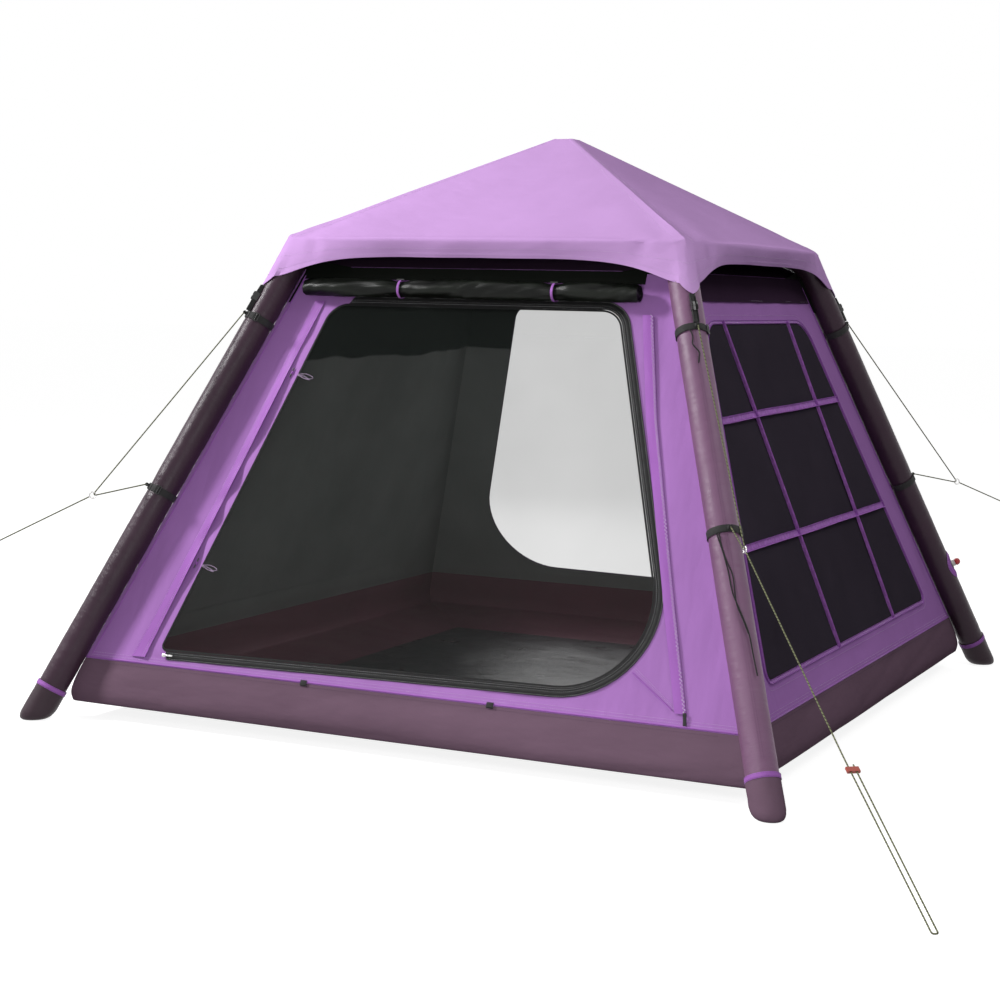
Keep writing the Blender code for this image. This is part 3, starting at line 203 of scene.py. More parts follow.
class TentSizes(bpy.types.PropertyGroup):
    """The sizes of the tent's frame, cabin and fly."""

    base_width: length("Base width", "Between the feet of the front legs, axis to axis", 2.400)
    base_depth: length("Base depth", "Between the feet of a front and a back leg, axis to axis", 2.605)
    eave_width: length("Eave width", "Between the bends of the front beams", 1.304)
    eave_depth: length("Eave depth", "Between the bends of a front and a back beam", 1.276)
    eave_height: length("Eave height", "Height of the beams' bends", 1.485)
    hub_height: length("Hub height", "Height at which the four rafters meet", 1.822)
    beam_radius: length("Beam radius", "Radius of an inflated beam", 0.046)
    bend_radius: length("Bend radius", "Radius of the bend at the eave", 0.120)
    sleeve_cloth: length("Sleeve cloth", "Thickness of the sleeve's cloth", 0.0015)
    hub_reach: length("Hub reach", "From the hub's middle to the end of each arm", 0.110)
    cap_height: length("Foot cap height", "Height of the cups round the feet", 0.101)
    cap_cloth: length("Foot cap cloth", "Thickness of the cups' cloth", 0.0020)
    wall_cloth: length("Wall cloth", "Thickness of the walls, skirts and floor", 0.0030)
    wall_top: length("Wall top", "Height of the walls", 1.430)
    skirt_height: length("Skirt height", "Height of the thicker cloth at the foot of the walls", 0.185)
    roof_apex: length("Inner roof apex", "Height of the inner roof's tip", 1.765)
    fly_top: length("Fly top", "Height of the fly's flat top", 1.876)
    fly_flat: length("Fly flat", "Half the width of the fly's flat top", 0.035)
    fly_cloth: length("Fly cloth", "Thickness of the fly", 0.0030)
    fly_tip_drop: length("Fly tip drop", "From the eave down to the fly's corner tips", 0.119)
    fly_hem_drop: length("Fly hem drop", "From the eave down to the middle of the hem", 0.019)
    fly_flare: length("Fly flare", "How far the hem's middle stands off", 0.034)
    roll_radius: length("Roll radius", "Radius of the rolled outer door", 0.028)
    zip_width: length("Zip width", "Width of the zip's tape", 0.024)
    strap_width: length("Strap width", "Width of the straps round the legs", 0.022)
    line_radius: length("Line radius", "Radius of the guy lines", 0.0020)


class TentCloth(bpy.types.PropertyGroup):
    """The weave, creases and stitches."""

    weave: length("Weave pitch", "From one thread of the cloth to the next", 0.0011)
    mesh_pitch: length("Mesh pitch", "From one hole of the mesh to the next", 0.0016)
    wall_crease: length("Wall creases", "Depth of the soft folds in the walls", 0.0050)
    sleeve_crease: length("Sleeve wrinkles", "Depth of the wrinkles in the beams' sleeves", 0.0011)
    fly_crease: length("Fly creases", "Depth of the folds in the fly", 0.0026)
    stitch: length("Stitch length", "Length of one stitch", 0.0042)
    stitch_pitch: length("Stitch pitch", "From one stitch to the next", 0.0062)
    thread: length("Thread", "Thickness of the sewing thread", 0.0009)
    tooth_pitch: length("Zip pitch", "From one tooth of the zip to the next", 0.0026)
    seed: IntProperty(name="Seed", description="Start of every uneven pattern", default=7, min=0)


class TentColours(bpy.types.PropertyGroup):
    """The colours of the tent's cloths and fittings."""

    fly: colour("Fly", "Roof fly", 203, 160, 218)
    wall: colour("Walls", "Cabin walls", 172, 122, 192)
    trim: colour("Trim", "Flaps, piping and ties", 162, 101, 185)
    # Two copies of one sleeve colour: the darker is painted shade, on three sleeves and the hub; the lighter
    # is painted light, on the front right sleeve.
    plum: colour("Sleeves", "Beam sleeves and their hub", 60, 41, 54)
    bright_plum: colour("Front right sleeve", "The sleeve that catches the light", 114, 76, 108)
    mauve: colour("Skirt", "Skirts and the foot caps", 116, 92, 109)
    # A darker copy of the foot caps' colour, painted shade, for the three caps away from the lamps; the
    # front right cap takes the skirt colour.
    cup: colour("Foot caps", "Foot caps away from the light", 58, 44, 52)
    floor: colour("Groundsheet", "Inside of the floor", 98, 95, 100)
    lining: colour("Wall lining", "Inside of the walls", 176, 181, 178)
    maroon: colour("Skirt lining", "Inside of the skirts", 158, 106, 124)
    dark: colour("Dark cloth", "Rolled doors and the inner roof", 17, 20, 16)
    # This dark tone is painted shade under the eaves, on the side walls' eave strips; the fly's underside,
    # the top of the inner roof, the dark thread and the thin cord's flecks take it too.
    band: colour("Eave band", "Band at the top of the walls", 60, 43, 62)
    mesh: colour("Mesh", "Insect mesh of the door", 42, 46, 44)
    pane: colour("Window mesh", "Insect mesh of the windows", 60, 54, 64)
    webbing: colour("Webbing", "Straps", 38, 38, 38)
    cord: colour("Lines", "Guy lines", 126, 130, 96)
    fleck: colour("Line flecks", "Dark threads in the guy lines", 62, 60, 40)
    thread: colour("Thread", "Light sewing thread", 214, 190, 224)
    runner: colour("Runner", "Tensioner on the front right line", 158, 56, 38)
    valve: colour("Valve", "Valve body", 226, 224, 220)
    lid: colour("Valve cap", "Cap of the valve", 190, 26, 32)


# The tent's lines and planes


class Tent:
    """The tent's lines and planes, worked out from the sizes in the sidebar."""

    def __init__(self, scene):
        s = self.sizes = scene.tent_sizes
        self.cloth = scene.tent_cloth
        self.lean_x = (s.base_width - s.eave_width) / 2 / s.eave_height
        self.lean_y = (s.base_depth - s.eave_depth) / 2 / s.eave_height
        self.cos_x, self.sin_x = math.cos(math.atan(self.lean_x)), math.sin(math.atan(self.lean_x))
        self.cos_y, self.sin_y = math.cos(math.atan(self.lean_y)), math.sin(math.atan(self.lean_y))
        share = math.cos(math.acos(self.sin_x * self.sin_y) / 2)
        self.wall_depth = (s.beam_radius + SEAM_GAP) * share
        self.cap_radius = s.beam_radius + FITTING_GAP + s.cap_cloth
        self.cap_depth = (self.cap_radius + 2 * SEAM_GAP) * share
        self.hub = Vector((0, 0, s.hub_height))

    def leg_point(self, corner, height):
        sx, sy = CORNERS[corner]
        s = self.sizes
        return Vector((sx * (s.base_width / 2 - self.lean_x * height),
                       sy * (s.base_depth / 2 - self.lean_y * height), height))

    def leg_direction(self, corner):
        sx, sy = CORNERS[corner]
        return Vector((-sx * self.lean_x, -sy * self.lean_y, 1)).normalized()

    def leg_outward(self, corner):
        sx, sy = CORNERS[corner]
        level = Vector((sx * self.lean_x, sy * self.lean_y, 0)).normalized()
        along = self.leg_direction(corner)
        return (level - along * level.dot(along)).normalized()

    def rafter_direction(self, corner):
        return (self.hub - self.leg_point(corner, self.sizes.eave_height)).normalized()

    def beam_normal(self, corner):
        return self.leg_direction(corner).cross(self.rafter_direction(corner)).normalized()

    def beam_axis(self, corner, foot, reach, step=0.012):
        """Points and directions along a beam's axis, from its foot to a distance short of the hub."""
        s = self.sizes
        along, inward = self.leg_direction(corner), self.rafter_direction(corner)
        eave = self.leg_point(corner, s.eave_height)
        turn = along.angle(inward)
        side = (inward - along * along.dot(inward)).normalized()
        start = eave - along * s.bend_radius * math.tan(turn / 2)
        low = self.leg_point(corner, foot)
        count = math.ceil((start - low).length / step)
        points = [low.lerp(start, index / count) for index in range(count)]
        headings = [along] * count
        steps = math.ceil(turn * s.bend_radius / step) + 2
        for index in range(steps + 1):
            angle = turn * index / steps
            points.append(start + s.bend_radius * (along * math.sin(angle) + side * (1 - math.cos(angle))))
            headings.append(along * math.cos(angle) + side * math.sin(angle))
        bend = (count, count + steps)
        end = self.hub - inward * reach
        last = points[-1]
        count = math.ceil((end - last).length / step)
        points += [last.lerp(end, index / count) for index in range(1, count + 1)]
        headings += [inward] * count
        return as_array(points), as_array(headings), bend, side

    def half_sizes(self, height, depth):
        """Half the cabin's width and depth at a height, a depth inside the planes of the legs' axes."""
        s = self.sizes
        across = s.base_width / 2 - self.lean_x * height - depth / self.cos_x
        along = s.base_depth / 2 - self.lean_y * height - depth / self.cos_y
        return across, along

    def corner_point(self, corner, height, depth):
        sx, sy = CORNERS[corner]
        across, along = self.half_sizes(height, depth)
        return Vector((sx * across, sy * along, height))

    def side_run(self, side):
        return Vector(SIDE_RUNS[side])

    def side_normal(self, side):
        return Vector({
            "front": (0, -self.cos_y, self.sin_y),
            "right": (self.cos_x, 0, self.sin_x),
            "back": (0, self.cos_y, self.sin_y),
            "left": (-self.cos_x, 0, self.sin_x),
        }[side])

    def side_cosine(self, side):
        return self.cos_y if side in ("front", "back") else self.cos_x

    def side_point(self, side, u, height, depth):
        across, along = self.half_sizes(height, depth)
        return Vector({
            "front": (u, -along, height),
            "right": (across, u, height),
            "back": (-u, along, height),
            "left": (-across, -u, height),
        }[side])

    def on_wall(self, side, u, slant, lift=0.0):
        """Points of a wall: u along it, slant up its slope from the floor, lift out of its outer face."""
        start = np.array(self.side_point(side, 0, 0, self.wall_depth))
        slope = np.array(self.side_point(side, 0, self.side_cosine(side), self.wall_depth)) - start
        run, out = np.array(self.side_run(side)), np.array(self.side_normal(side))
        u, slant, lift = np.broadcast_arrays(u, slant, lift)
        return start + u[..., None] * run + slant[..., None] * slope + lift[..., None] * out

    def slanted(self, side, corners):
        """(u, height) corners as (u, slant)."""
        return [Vector((u, height / self.side_cosine(side))) for u, height in corners]

    def half_width(self, side, height, depth):
        """Half the run of a side between its corners."""
        return self.corner_point(SIDE_ENDS[side][1], height, depth).dot(self.side_run(side))

    def wall_outline(self, side):
        s = self.sizes
        corners = []
        for height, sign in ((s.skirt_height, -1), (s.skirt_height, 1), (s.wall_top, 1), (s.wall_top, -1)):
            corners.append((sign * (self.half_width(side, height, self.wall_depth) - SEAM_GAP), height))
        return np.array([tuple(corner) for corner in self.slanted(side, corners)])

    def door_outline(self, side, amounts=(0, 0, 0, 0)):
        rounds = [radius - (amounts[index - 1] + amounts[index]) / 2
                  for index, radius in enumerate(DOOR_ROUNDS)]
        return rounded(inset(self.slanted(side, DOOR_CORNERS), amounts), rounds)

    def window_outline(self, side, amount=0.0):
        corners = self.slanted(side, WINDOW_CORNERS)
        return rounded(inset(corners, [amount] * 4), [radius - amount for radius in WINDOW_ROUNDS])

    def hinge_frame(self, side):
        """A frame on the doorway's left edge: its Z runs up the sewn edge, its Y out of the wall."""
        corners = self.slanted(side, DOOR_CORNERS)
        low, top = (Vector(self.on_wall(side, *corners[index])) for index in (0, 3))
        up, out = (top - low).normalized(), self.side_normal(side)
        made = Matrix((out.cross(up), out, up)).transposed().to_4x4()
        made.translation = low
        return made

    def strap_eye(self, corner, level):
        s = self.sizes
        inner = (s.beam_radius + FITTING_GAP) / math.cos(math.pi / STRAP_STEPS)
        reach = inner + 0.0020 + STRAP_LOOP_REACH + LINE_GAP + s.line_radius
        return self.leg_point(corner, STRAP_HEIGHTS[level]) + self.leg_outward(corner) * reach

    def ring_frame(self, corner):
        """A ring's centre, the pull of its line, and the direction across its plane."""
        centre = Vector(RING_PLACES[corner])
        far = Vector(RUNNER_PLACE if corner == "front_right" else LINE_ENDS[corner])
        pull = (far - centre).normalized()
        eye = self.strap_eye(corner, "upper") - centre
        return centre, pull, (eye - pull * eye.dot(pull)).normalized()

    def valve_frame(self):
        """A frame on the leg's axis at the valve: Z points out through the valve."""
        along = self.leg_direction("back_right")
        heading = Vector((math.cos(VALVE_HEADING), math.sin(VALVE_HEADING), 0))
        out = (heading - along * heading.dot(along)).normalized()
        made = Matrix((along, out.cross(along), out)).transposed().to_4x4()
        made.translation = self.leg_point("back_right", VALVE_HEIGHT)
        return made


# Outlines and paths


def as_array(points):
    return np.array([tuple(point) for point in points], float)


def circle(first, second, sides):
    """The directions of a full turn from the first towards the second."""
    turns = np.linspace(0, 2 * math.pi, sides, endpoint=False)
    return np.outer(np.cos(turns), first) + np.outer(np.sin(turns), second)


def arc(centre, first, second, reach, angles):
    """Points round a centre, from the first direction towards the second."""
    return [centre + (first * math.cos(a) + second * math.sin(a)) * reach for a in angles]


def framed(frame, local):
    """Points given in a frame's own axes."""
    matrix = np.array(frame)
    return local @ matrix[:3, :3].T + matrix[:3, 3]


def crossed(across, along):
    """Flat places for a grid: every place across at every place along."""
    return np.stack(np.meshgrid(across, along), axis=-1)


def unit(vectors):
    return vectors / np.maximum(np.linalg.norm(vectors, axis=-1, keepdims=True), 1e-12)


def inset(corners, amounts):
    """Moves each edge of an anticlockwise outline inwards by the amount of the corner where it starts."""
    count = len(corners)
    lines = []
    for index, amount in enumerate(amounts):
        run = (corners[(index + 1) % count] - corners[index]).normalized()
        lines.append((corners[index] + Vector((-run.y, run.x)) * amount, run))
    moved = []
    for index in range(count):
        point, run = lines[index - 1]
        other, other_run = lines[index]
        moved.append(point + run * ((other - point).cross(other_run) / run.cross(other_run)))
    return moved


def rounded(corners, radii):
    """The outline with an arc at each corner."""
    outline = []
    for index, radius in enumerate(radii):
        corner = corners[index]
        back = (corners[index - 1] - corner).normalized()
        ahead = (corners[(index + 1) % len(corners)] - corner).normalized()
        half = back.angle(ahead) / 2
        centre = corner + (back + ahead).normalized() * radius / math.sin(half)
        start = corner + back * radius / math.tan(half) - centre
        for step in range(ROUND_STEPS + 1):
            outline.append(centre + Matrix.Rotation((math.pi - 2 * half) * step / ROUND_STEPS, 2) @ start)
    return as_array(outline)


def travelled(path):
    """The distance along a path at each of its points."""
    return np.concatenate([[0], np.cumsum(np.linalg.norm(np.diff(path, axis=0), axis=1))])


def respaced(path, step, closed=False):
    """The path again, with points about a step apart."""
    path = np.vstack([path, path[:1]]) if closed else np.asarray(path, float)
    along = travelled(path)
    count = max(2, round(along[-1] / step))
    places = np.linspace(0, along[-1], count + 1)
    made = np.stack([np.interp(places, along, path[:, axis]) for axis in range(path.shape[1])], axis=1)
    return made[:-1] if closed else made


def reach_to(outline, centre, headings):
    """How far a convex outline lies from a point inside it, in each direction."""
    start = outline - centre
    run = np.roll(start, -1, 0) - start
    out = np.stack([run[:, 1], -run[:, 0]], axis=1)
    facing = headings @ out.T
    level = (out * start).sum(1)
    return np.where(facing > 1e-9, level / np.maximum(facing, 1e-9), np.inf).min(1)


def smooth_points(route, counts):
    """Points along a smooth curve through the route, with a number of steps for each of its spans."""
    points = [route[0]]
    for index, count in enumerate(counts):
        before = route[max(index - 1, 0)]
        start, end = route[index], route[index + 1]
        after = route[min(index + 2, len(route) - 1)]
        span = (end - start).length
        start_pull = (end - before).normalized() * span / 3
        end_pull = (after - start).normalized() * span / 3
        for step in range(1, count + 1):
            t = step / count
            s = 1 - t
            points.append(start * s ** 3 + 3 * (start + start_pull) * s * s * t
                          + 3 * (end - end_pull) * s * t * t + end * t ** 3)
    return points


def ripple(x, y, seed):
    """A smooth uneven surface between about -1 and 1, the same at each run."""
    rng = np.random.default_rng(seed)
    total, waves = 0, 6
    for _ in range(waves):
        turn, phase, scale = rng.uniform(0, 2 * math.pi), rng.uniform(0, 2 * math.pi), rng.uniform(0.6, 1.9)
        total = total + np.sin((x * math.cos(turn) + y * math.sin(turn)) * scale + phase)
    return total / waves * 1.5


def folds(x, y, seed):
    """Narrow folds, from 0 between them to 1 on them."""
    return np.clip(1 - np.abs(ripple(x, y, seed)) * 1.6, 0, 1) ** 2


def eased(values):
    values = np.clip(values, 0, 1)
    return values * values * (3 - 2 * values)


# Meshes


class Shape:
    """Gathers the points, faces, flat places and finishes of one piece."""

    def __init__(self):
        self.points, self.faces, self.places, self.finishes = [], [], [], []

    def grid(self, grid, places, loop=False, finish=0):
        """Quads over rows of points.

        With loop, the last column joins the first, and places has a column more.
        """
        rows, columns = grid.shape[:2]
        base = len(self.points)
        self.points.extend(grid.reshape(-1, 3).tolist())
        places = np.asarray(places, float)
        across = columns if loop else columns - 1
        if places.ndim == 3:
            places = np.stack([places[:-1, :across], places[:-1, 1:across + 1],
                               places[1:, 1:across + 1], places[1:, :across]], axis=2)
        listed = places.reshape(-1, 4, 2).tolist()
        for row in range(rows - 1):
            for column in range(across):
                a = base + row * columns + column
                b = base + row * columns + (column + 1) % columns
                self.faces.append((a, b, b + columns, a + columns))
        self.places.extend(listed)
        self.finishes.extend([finish] * len(listed))
        return base

    def face(self, corners, places, finish=0):
        self.faces.append(tuple(corners))
        self.places.append([tuple(place) for place in places])
        self.finishes.append(finish)

    def bridge(self, first, second, loop, finish=0):
        """Quads between two rows of points that are already there."""
        count, width = len(first), 0.002
        along = travelled(np.array([self.points[index] for index in (*first, first[0])]))
        for step in range(count if loop else count - 1):
            other = (step + 1) % count
            u = along[step], along[step + 1]
            self.face((first[step], first[other], second[other], second[step]),
                      ((u[0], 0), (u[1], 0), (u[1], width), (u[0], width)), finish)

    def sheet(self, grid, places, thickness, out, loop=False, sides=(0, 0), heart=None):
        """A cloth with two faces and closed edges.

        out points out of it, one direction or one for each point.
        sides tells which finish its outer and its inner face have.
        A looped cloth can end in a heart, its row 0 or -1, which is closed by a face on each side.
        """
        rows, columns = grid.shape[:2]
        ahead = np.roll(grid, -1, 1) - np.roll(grid, 1, 1) if loop else np.gradient(grid, axis=1)
        normal = unit(np.cross(ahead, np.gradient(grid, axis=0)))
        sign = np.sign((normal * out).sum(-1, keepdims=True))
        inner = grid - normal * np.where(sign == 0, 1, sign) * thickness
        base = self.grid(grid, places, loop, sides[0])
        under = self.grid(inner, places, loop, sides[1])
        for row in (0, rows - 1):
            edge = range(row * columns, (row + 1) * columns)
            above, below = [base + index for index in edge], [under + index for index in edge]
            if heart is not None and row == heart % rows:
                flat = places[heart, :columns]
                self.face(above, flat, sides[0])
                self.face(below, flat, sides[1])
            else:
                self.bridge(above, below, loop, sides[0])
        if not loop:
            for column in (0, columns - 1):
                edge = range(column, rows * columns, columns)
                above, below = [base + index for index in edge], [under + index for index in edge]
                self.bridge(above, below, False, sides[0])

    def sweep(self, path, profile, ups=None, finish=0, closed=False, sizes=None):
        """A profile drawn along a path. ups points along the profile's second axis."""
        path = np.asarray(path, float)
        if closed:
            ahead = unit(np.roll(path, -1, 0) - np.roll(path, 1, 0))
        else:
            ahead = unit(np.gradient(path, axis=0))
        if ups is None:
            ups = [np.array(Vector(ahead[0]).orthogonal().normalized())]
            for heading in ahead[1:]:
                ups.append(unit(ups[-1] - heading * (ups[-1] @ heading)))
        ups = np.broadcast_to(np.asarray(ups, float), path.shape)
        side = unit(np.cross(ahead, ups))
        up = np.cross(side, ahead)
        sizes = np.ones(len(path)) if sizes is None else np.asarray(sizes)
        profile = np.asarray(profile, float)
        grid = path[:, None] + (side[:, None] * profile[None, :, :1] + up[:, None] * profile[None, :, 1:]) \
            * sizes[:, None, None]
        around, along = travelled(np.vstack([profile, profile[:1]])), travelled(path)
        if closed:
            grid = np.concatenate([grid, grid[:1]])
            along = np.append(along, along[-1] + np.linalg.norm(path[0] - path[-1]))
        base = self.grid(grid, crossed(around, along), True, finish)
        if not closed:
            count = len(profile)
            self.face(range(base, base + count), profile, finish)
            last = base + (len(path) - 1) * count
            self.face(range(last, last + count), profile, finish)

    def lathe(self, frame, profile, sides):
        """A turned solid about the frame's Z, with flat ends; profile lists (radius, height)."""
        turns = np.linspace(0, 2 * math.pi, sides, endpoint=False)
        ring = np.stack([np.cos(turns), np.sin(turns)], axis=1)
        flat = np.array(profile, float)
        local = np.concatenate([flat[:, None, :1] * ring[None], np.repeat(flat[:, None, 1:], sides, 1)],
                               axis=2)
        grid = framed(frame, local)
        places = crossed(np.linspace(0, 2 * math.pi * flat[:, 0].max(), sides + 1), travelled(flat))
        base = self.grid(grid, places, True)
        self.face(range(base, base + sides), ring * flat[0, 0])
        last = base + (len(flat) - 1) * sides
        self.face(range(last, last + sides), ring * flat[-1, 0])

    def mesh(self, name):
        """What was gathered, as a mesh with its doubled points merged."""
        mesh = bpy.data.meshes.new(name)
        mesh.from_pydata(self.points, [], self.faces)
        mesh.polygons.foreach_set("material_index", self.finishes)
        flat = mesh.uv_layers.new(name="cloth")
        flat.data.foreach_set("uv", [value for face in self.places for place in face for value in place])
        merged = bmesh.new()
        merged.from_mesh(mesh)
        bmesh.ops.remove_doubles(merged, verts=merged.verts, dist=1e-6)
        bmesh.ops.recalc_face_normals(merged, faces=merged.faces)
        merged.to_mesh(mesh)
        merged.free()
        return mesh

    def build(self, name, body, finishes, replaces=(), angle=38):
        """The finished piece, riding on its body."""
        piece = linked(name, self.mesh(name))
        cover(piece.data, finishes, angle)
        return settle(piece, body, replaces)


def cover(mesh, finishes, angle):
    """Gives a mesh its finishes and its sharp edges."""
    for finish in finishes:
        mesh.materials.append(bpy.data.materials[finish])
    mesh.shade_smooth()
    mesh.set_sharp_from_angle(angle=math.radians(angle))


def linked(name, data):
    """A new object, in the scene."""
    made = bpy.data.objects.new(name, data)
    bpy.context.scene.collection.objects.link(made)
    return made


def settle(piece, body, replaces=()):
    """Ties a piece to its body and hides the solids that it stands for."""
    if not len(piece.data.polygons):
        raise RuntimeError("no faces in " + piece.name)
    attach(piece, body)
    if replaces:
        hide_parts(*replaces)
    return piece


def swept(name, slot, finish, path, profile, ups=None, body="tent", replaces=(), **settings):
    """One piece: a profile drawn along a path."""
    shape = Shape()
    shape.sweep(as_array(path), profile, ups, **settings)
    return shape.build(name, body, [finish], replaces)


def sheeted(name, slot, finishes, grid, places, thickness, out, body="tent", replaces=(), **settings):
    """One piece: a cloth over rows of points."""
    shape = Shape()
    shape.sheet(grid, places, thickness, out, **settings)
    return shape.build(name, body, finishes, replaces)


def round_profile(radius, sides=10):
    turns = np.linspace(0, 2 * math.pi, sides, endpoint=False)
    return np.stack([np.cos(turns), np.sin(turns)], axis=1) * radius


def tape_profile(thickness, width, ease=0.4):
    """A flat tape's cross-section: thickness across, width along the up direction, with eased edges."""
    t, w = thickness / 2, width / 2
    e = t * ease * 2
    return np.array([(-t, -w + e), (-t + e / 2, -w), (t - e / 2, -w), (t, -w + e),
                     (t, w - e), (t - e / 2, w), (-t + e / 2, w), (-t, w - e)])


def flat_places(grid_u, grid_v, loop=False):
    """Flat places straight from two coordinates in metres."""
    places = np.stack([grid_u, grid_v], axis=-1)
    return np.concatenate([places, places[:, :1]], axis=1) if loop else places


def declare_sheet(grid):
    """Works out the area of a cloth's outer face, which nothing uses."""
    a, b = grid[1:, :-1] - grid[:-1, :-1], grid[:-1, 1:] - grid[:-1, :-1]
    area = float(np.linalg.norm(np.cross(a, b), axis=-1).sum())


# Finishes

THREAD_RELIEF = 0.00012  # height of the threads in woven cloth
WAVE_SCALE = 0.314159  # scale of a wave texture whose bands are one metre apart


class Finish:
    """Builds one material, node by node."""

    def __init__(self, name, colour, roughness, **values):
        self.material = bpy.data.materials.new(name)
        self.material.use_nodes = True
        self.material.diffuse_color = (*colour, 1)
        self.tree = self.material.node_tree
        self.shader = self.tree.nodes["Principled BSDF"]
        self.colour = tuple(colour)
        self.set("Base Color", (*colour, 1))
        self.set("Roughness", roughness)
        for key, value in values.items():
            self.set(key.replace("_", " ").title().replace("Ior", "IOR"), value)
        self.normal = None

    def give(self, socket, value):
        """Links a value to a socket, or sets it there."""
        if isinstance(value, bpy.types.NodeSocket):
            self.tree.links.new(value, socket)
        else:
            socket.default_value = value

    def set(self, socket, value):
        self.give(self.shader.inputs[socket], value)

    def node(self, kind, inputs=(), **settings):
        made = self.tree.nodes.new("ShaderNode" + kind)
        for key, value in settings.items():
            setattr(made, key, value)
        for key, value in dict(inputs).items():
            self.give(made.inputs[key], value)
        return made

    def flat(self):
        return self.node("UVMap", uv_map="cloth").outputs["UV"]

    def place(self):
        return self.node("TexCoord").outputs["Object"]

    def mapped(self, vector, scale, turn=0.0):
        return self.node("Mapping", {"Vector": vector, "Scale": scale, "Rotation": (0, 0, turn)}).outputs[0]

    def noise(self, vector, scale, detail=2.0, rough=0.5):
        made = self.node("TexNoise", {"Vector": vector, "Scale": scale, "Detail": detail,
                                      "Roughness": rough})
        return made.outputs["Fac"]

    def bands(self, vector, pitch, direction="X"):
        made = self.node("TexWave", {"Vector": vector, "Scale": WAVE_SCALE / pitch, "Distortion": 0.0},
                         wave_type="BANDS", bands_direction=direction)
        return made.outputs["Fac"]

    def sum(self, a, b, operation="ADD"):
        return self.node("Math", {0: a, 1: b}, operation=operation).outputs[0]

    def spread(self, value, low, high, to_low=0.0, to_high=1.0):
        return self.node("MapRange", {0: value, 1: low, 2: high, 3: to_low, 4: to_high}).outputs[0]

    def blend(self, factor, first, second):
        made = self.node("Mix", {0: factor}, data_type="RGBA")
        for index, value in ((6, first), (7, second)):
            plain = not isinstance(value, bpy.types.NodeSocket)
            self.give(made.inputs[index], (*value[:3], 1) if plain else value)
        return made.outputs[2]

    def shade(self, share):
        return tuple(min(1.0, value * share) for value in self.colour)

    def bump(self, height, distance, strength=1.0):
        inputs = {"Height": height, "Distance": distance, "Strength": strength}
        if self.normal is not None:
            inputs["Normal"] = self.normal
        self.normal = self.node("Bump", inputs).outputs[0]

    def finish(self):
        if self.normal is not None:
            self.set("Normal", self.normal)
        return self.material


def woven(name, colour, roughness, pitch, creases=(), mottle=(0.92, 1.06), gloss=0.08, sheen=0.06,
          shine=0.3):
    """Plain woven cloth: threads, soft creases, and a slightly uneven colour and gloss."""
    made = Finish(name, colour, roughness, sheen_weight=sheen, sheen_roughness=0.45,
                  specular_ior_level=shine)
    flat, place = made.flat(), made.place()
    threads = made.sum(made.bands(flat, pitch), made.bands(flat, pitch, "Y"), "MULTIPLY")
    for index, (across, along, depth) in enumerate(creases):
        made.bump(made.noise(made.mapped(flat, (across, along, 1), 0.15 * index), 1.0, 3.0, 0.55), depth)
    made.bump(made.sum(threads, made.noise(flat, 900.0, 1.0)), THREAD_RELIEF, 0.7)
    large = made.noise(place, 2.3, 3.0, 0.6)
    tone = made.blend(made.spread(large, 0.3, 0.7), made.shade(mottle[0]), made.shade(mottle[1]))
    fine = made.blend(made.spread(threads, 0, 1, 0.0, 0.10), tone, made.shade(0.55))
    made.set("Base Color", fine)
    made.set("Roughness", made.spread(made.noise(place, 9.0, 2.0), 0.3, 0.7, roughness - gloss,
                                      roughness + gloss))
    return made.finish()


def lined_with_painted_shade(name, colour, pitch, edge):
    """The walls' lining: soft folds, and painted shade, nearly black, above a sagging edge."""
    made = Finish(name, colour, 0.60, specular_ior_level=0.0)
    flat, place = made.flat(), made.place()
    parts = made.node("SeparateXYZ", {0: place}).outputs
    swell = made.sum(made.noise(place, 2.2, 2.0), 0.075, "MULTIPLY")
    height = made.sum(made.sum(parts[2], swell, "SUBTRACT"), made.sum(parts[1], 0.026, "MULTIPLY"),
                      "SUBTRACT")
    made.bump(made.noise(made.mapped(flat, (6, 3, 1), 0.4), 1.0, 3.0), 0.010)
    made.bump(made.bands(flat, pitch), THREAD_RELIEF, 0.7)
    tone = made.blend(made.spread(made.noise(place, 3.0, 3.0), 0.3, 0.7), made.shade(0.88),
                      made.shade(1.08))
    # Painted shade: above the sagging edge the colour falls to nearly black, for the shade under the roof
    # inside the walls.
    made.set("Base Color", made.blend(made.spread(height, edge - 0.004, edge + 0.004), tone,
                                      made.shade(0.03)))
    return made.finish()


def netting(name, colour, pitch, cover):
    """Insect mesh: fine threads with holes between them; cover is the share that the threads hide."""
    made = Finish(name, colour, 0.65, specular_ior_level=0.0)
    flat, place = made.flat(), made.place()
    threads = made.sum(made.bands(flat, pitch), made.bands(flat, pitch, "Y"), "MAXIMUM")
    low, high = cover
    uneven = made.spread(made.noise(place, 3.1, 2.0), 0.3, 0.7, -0.015, 0.015)
    made.set("Alpha", made.sum(made.spread(threads, 0.15, 1.0, low, high), uneven))
    made.bump(threads, 0.0002, 0.5)
    made.bump(made.noise(made.mapped(flat, (5, 9, 1), 0.5), 1.0, 3.0), 0.004)
    made.set("Base Color", made.blend(made.noise(place, 4.0, 3.0), made.shade(0.8), made.shade(1.2)))
    return made.finish()


def webbed(name, colour, pitch=0.0022):
    """Flat webbing: slanting ribs across it and paler worn edges."""
    made = Finish(name, colour, 0.62, sheen_weight=0.04, specular_ior_level=0.2)
    flat, place = made.flat(), made.place()
    ribs = made.sum(made.bands(made.mapped(flat, (1, 1, 1), 0.6), pitch),
                    made.bands(made.mapped(flat, (1, 1, 1), -0.6), pitch), "MAXIMUM")
    made.bump(ribs, 0.0004, 0.8)
    worn = made.spread(made.noise(place, 60.0, 3.0), 0.45, 0.8, 0.0, 0.5)
    made.set("Base Color", made.blend(worn, made.blend(ribs, made.shade(0.7), made.shade(1.15)),
                                      made.shade(2.2)))
    return made.finish()


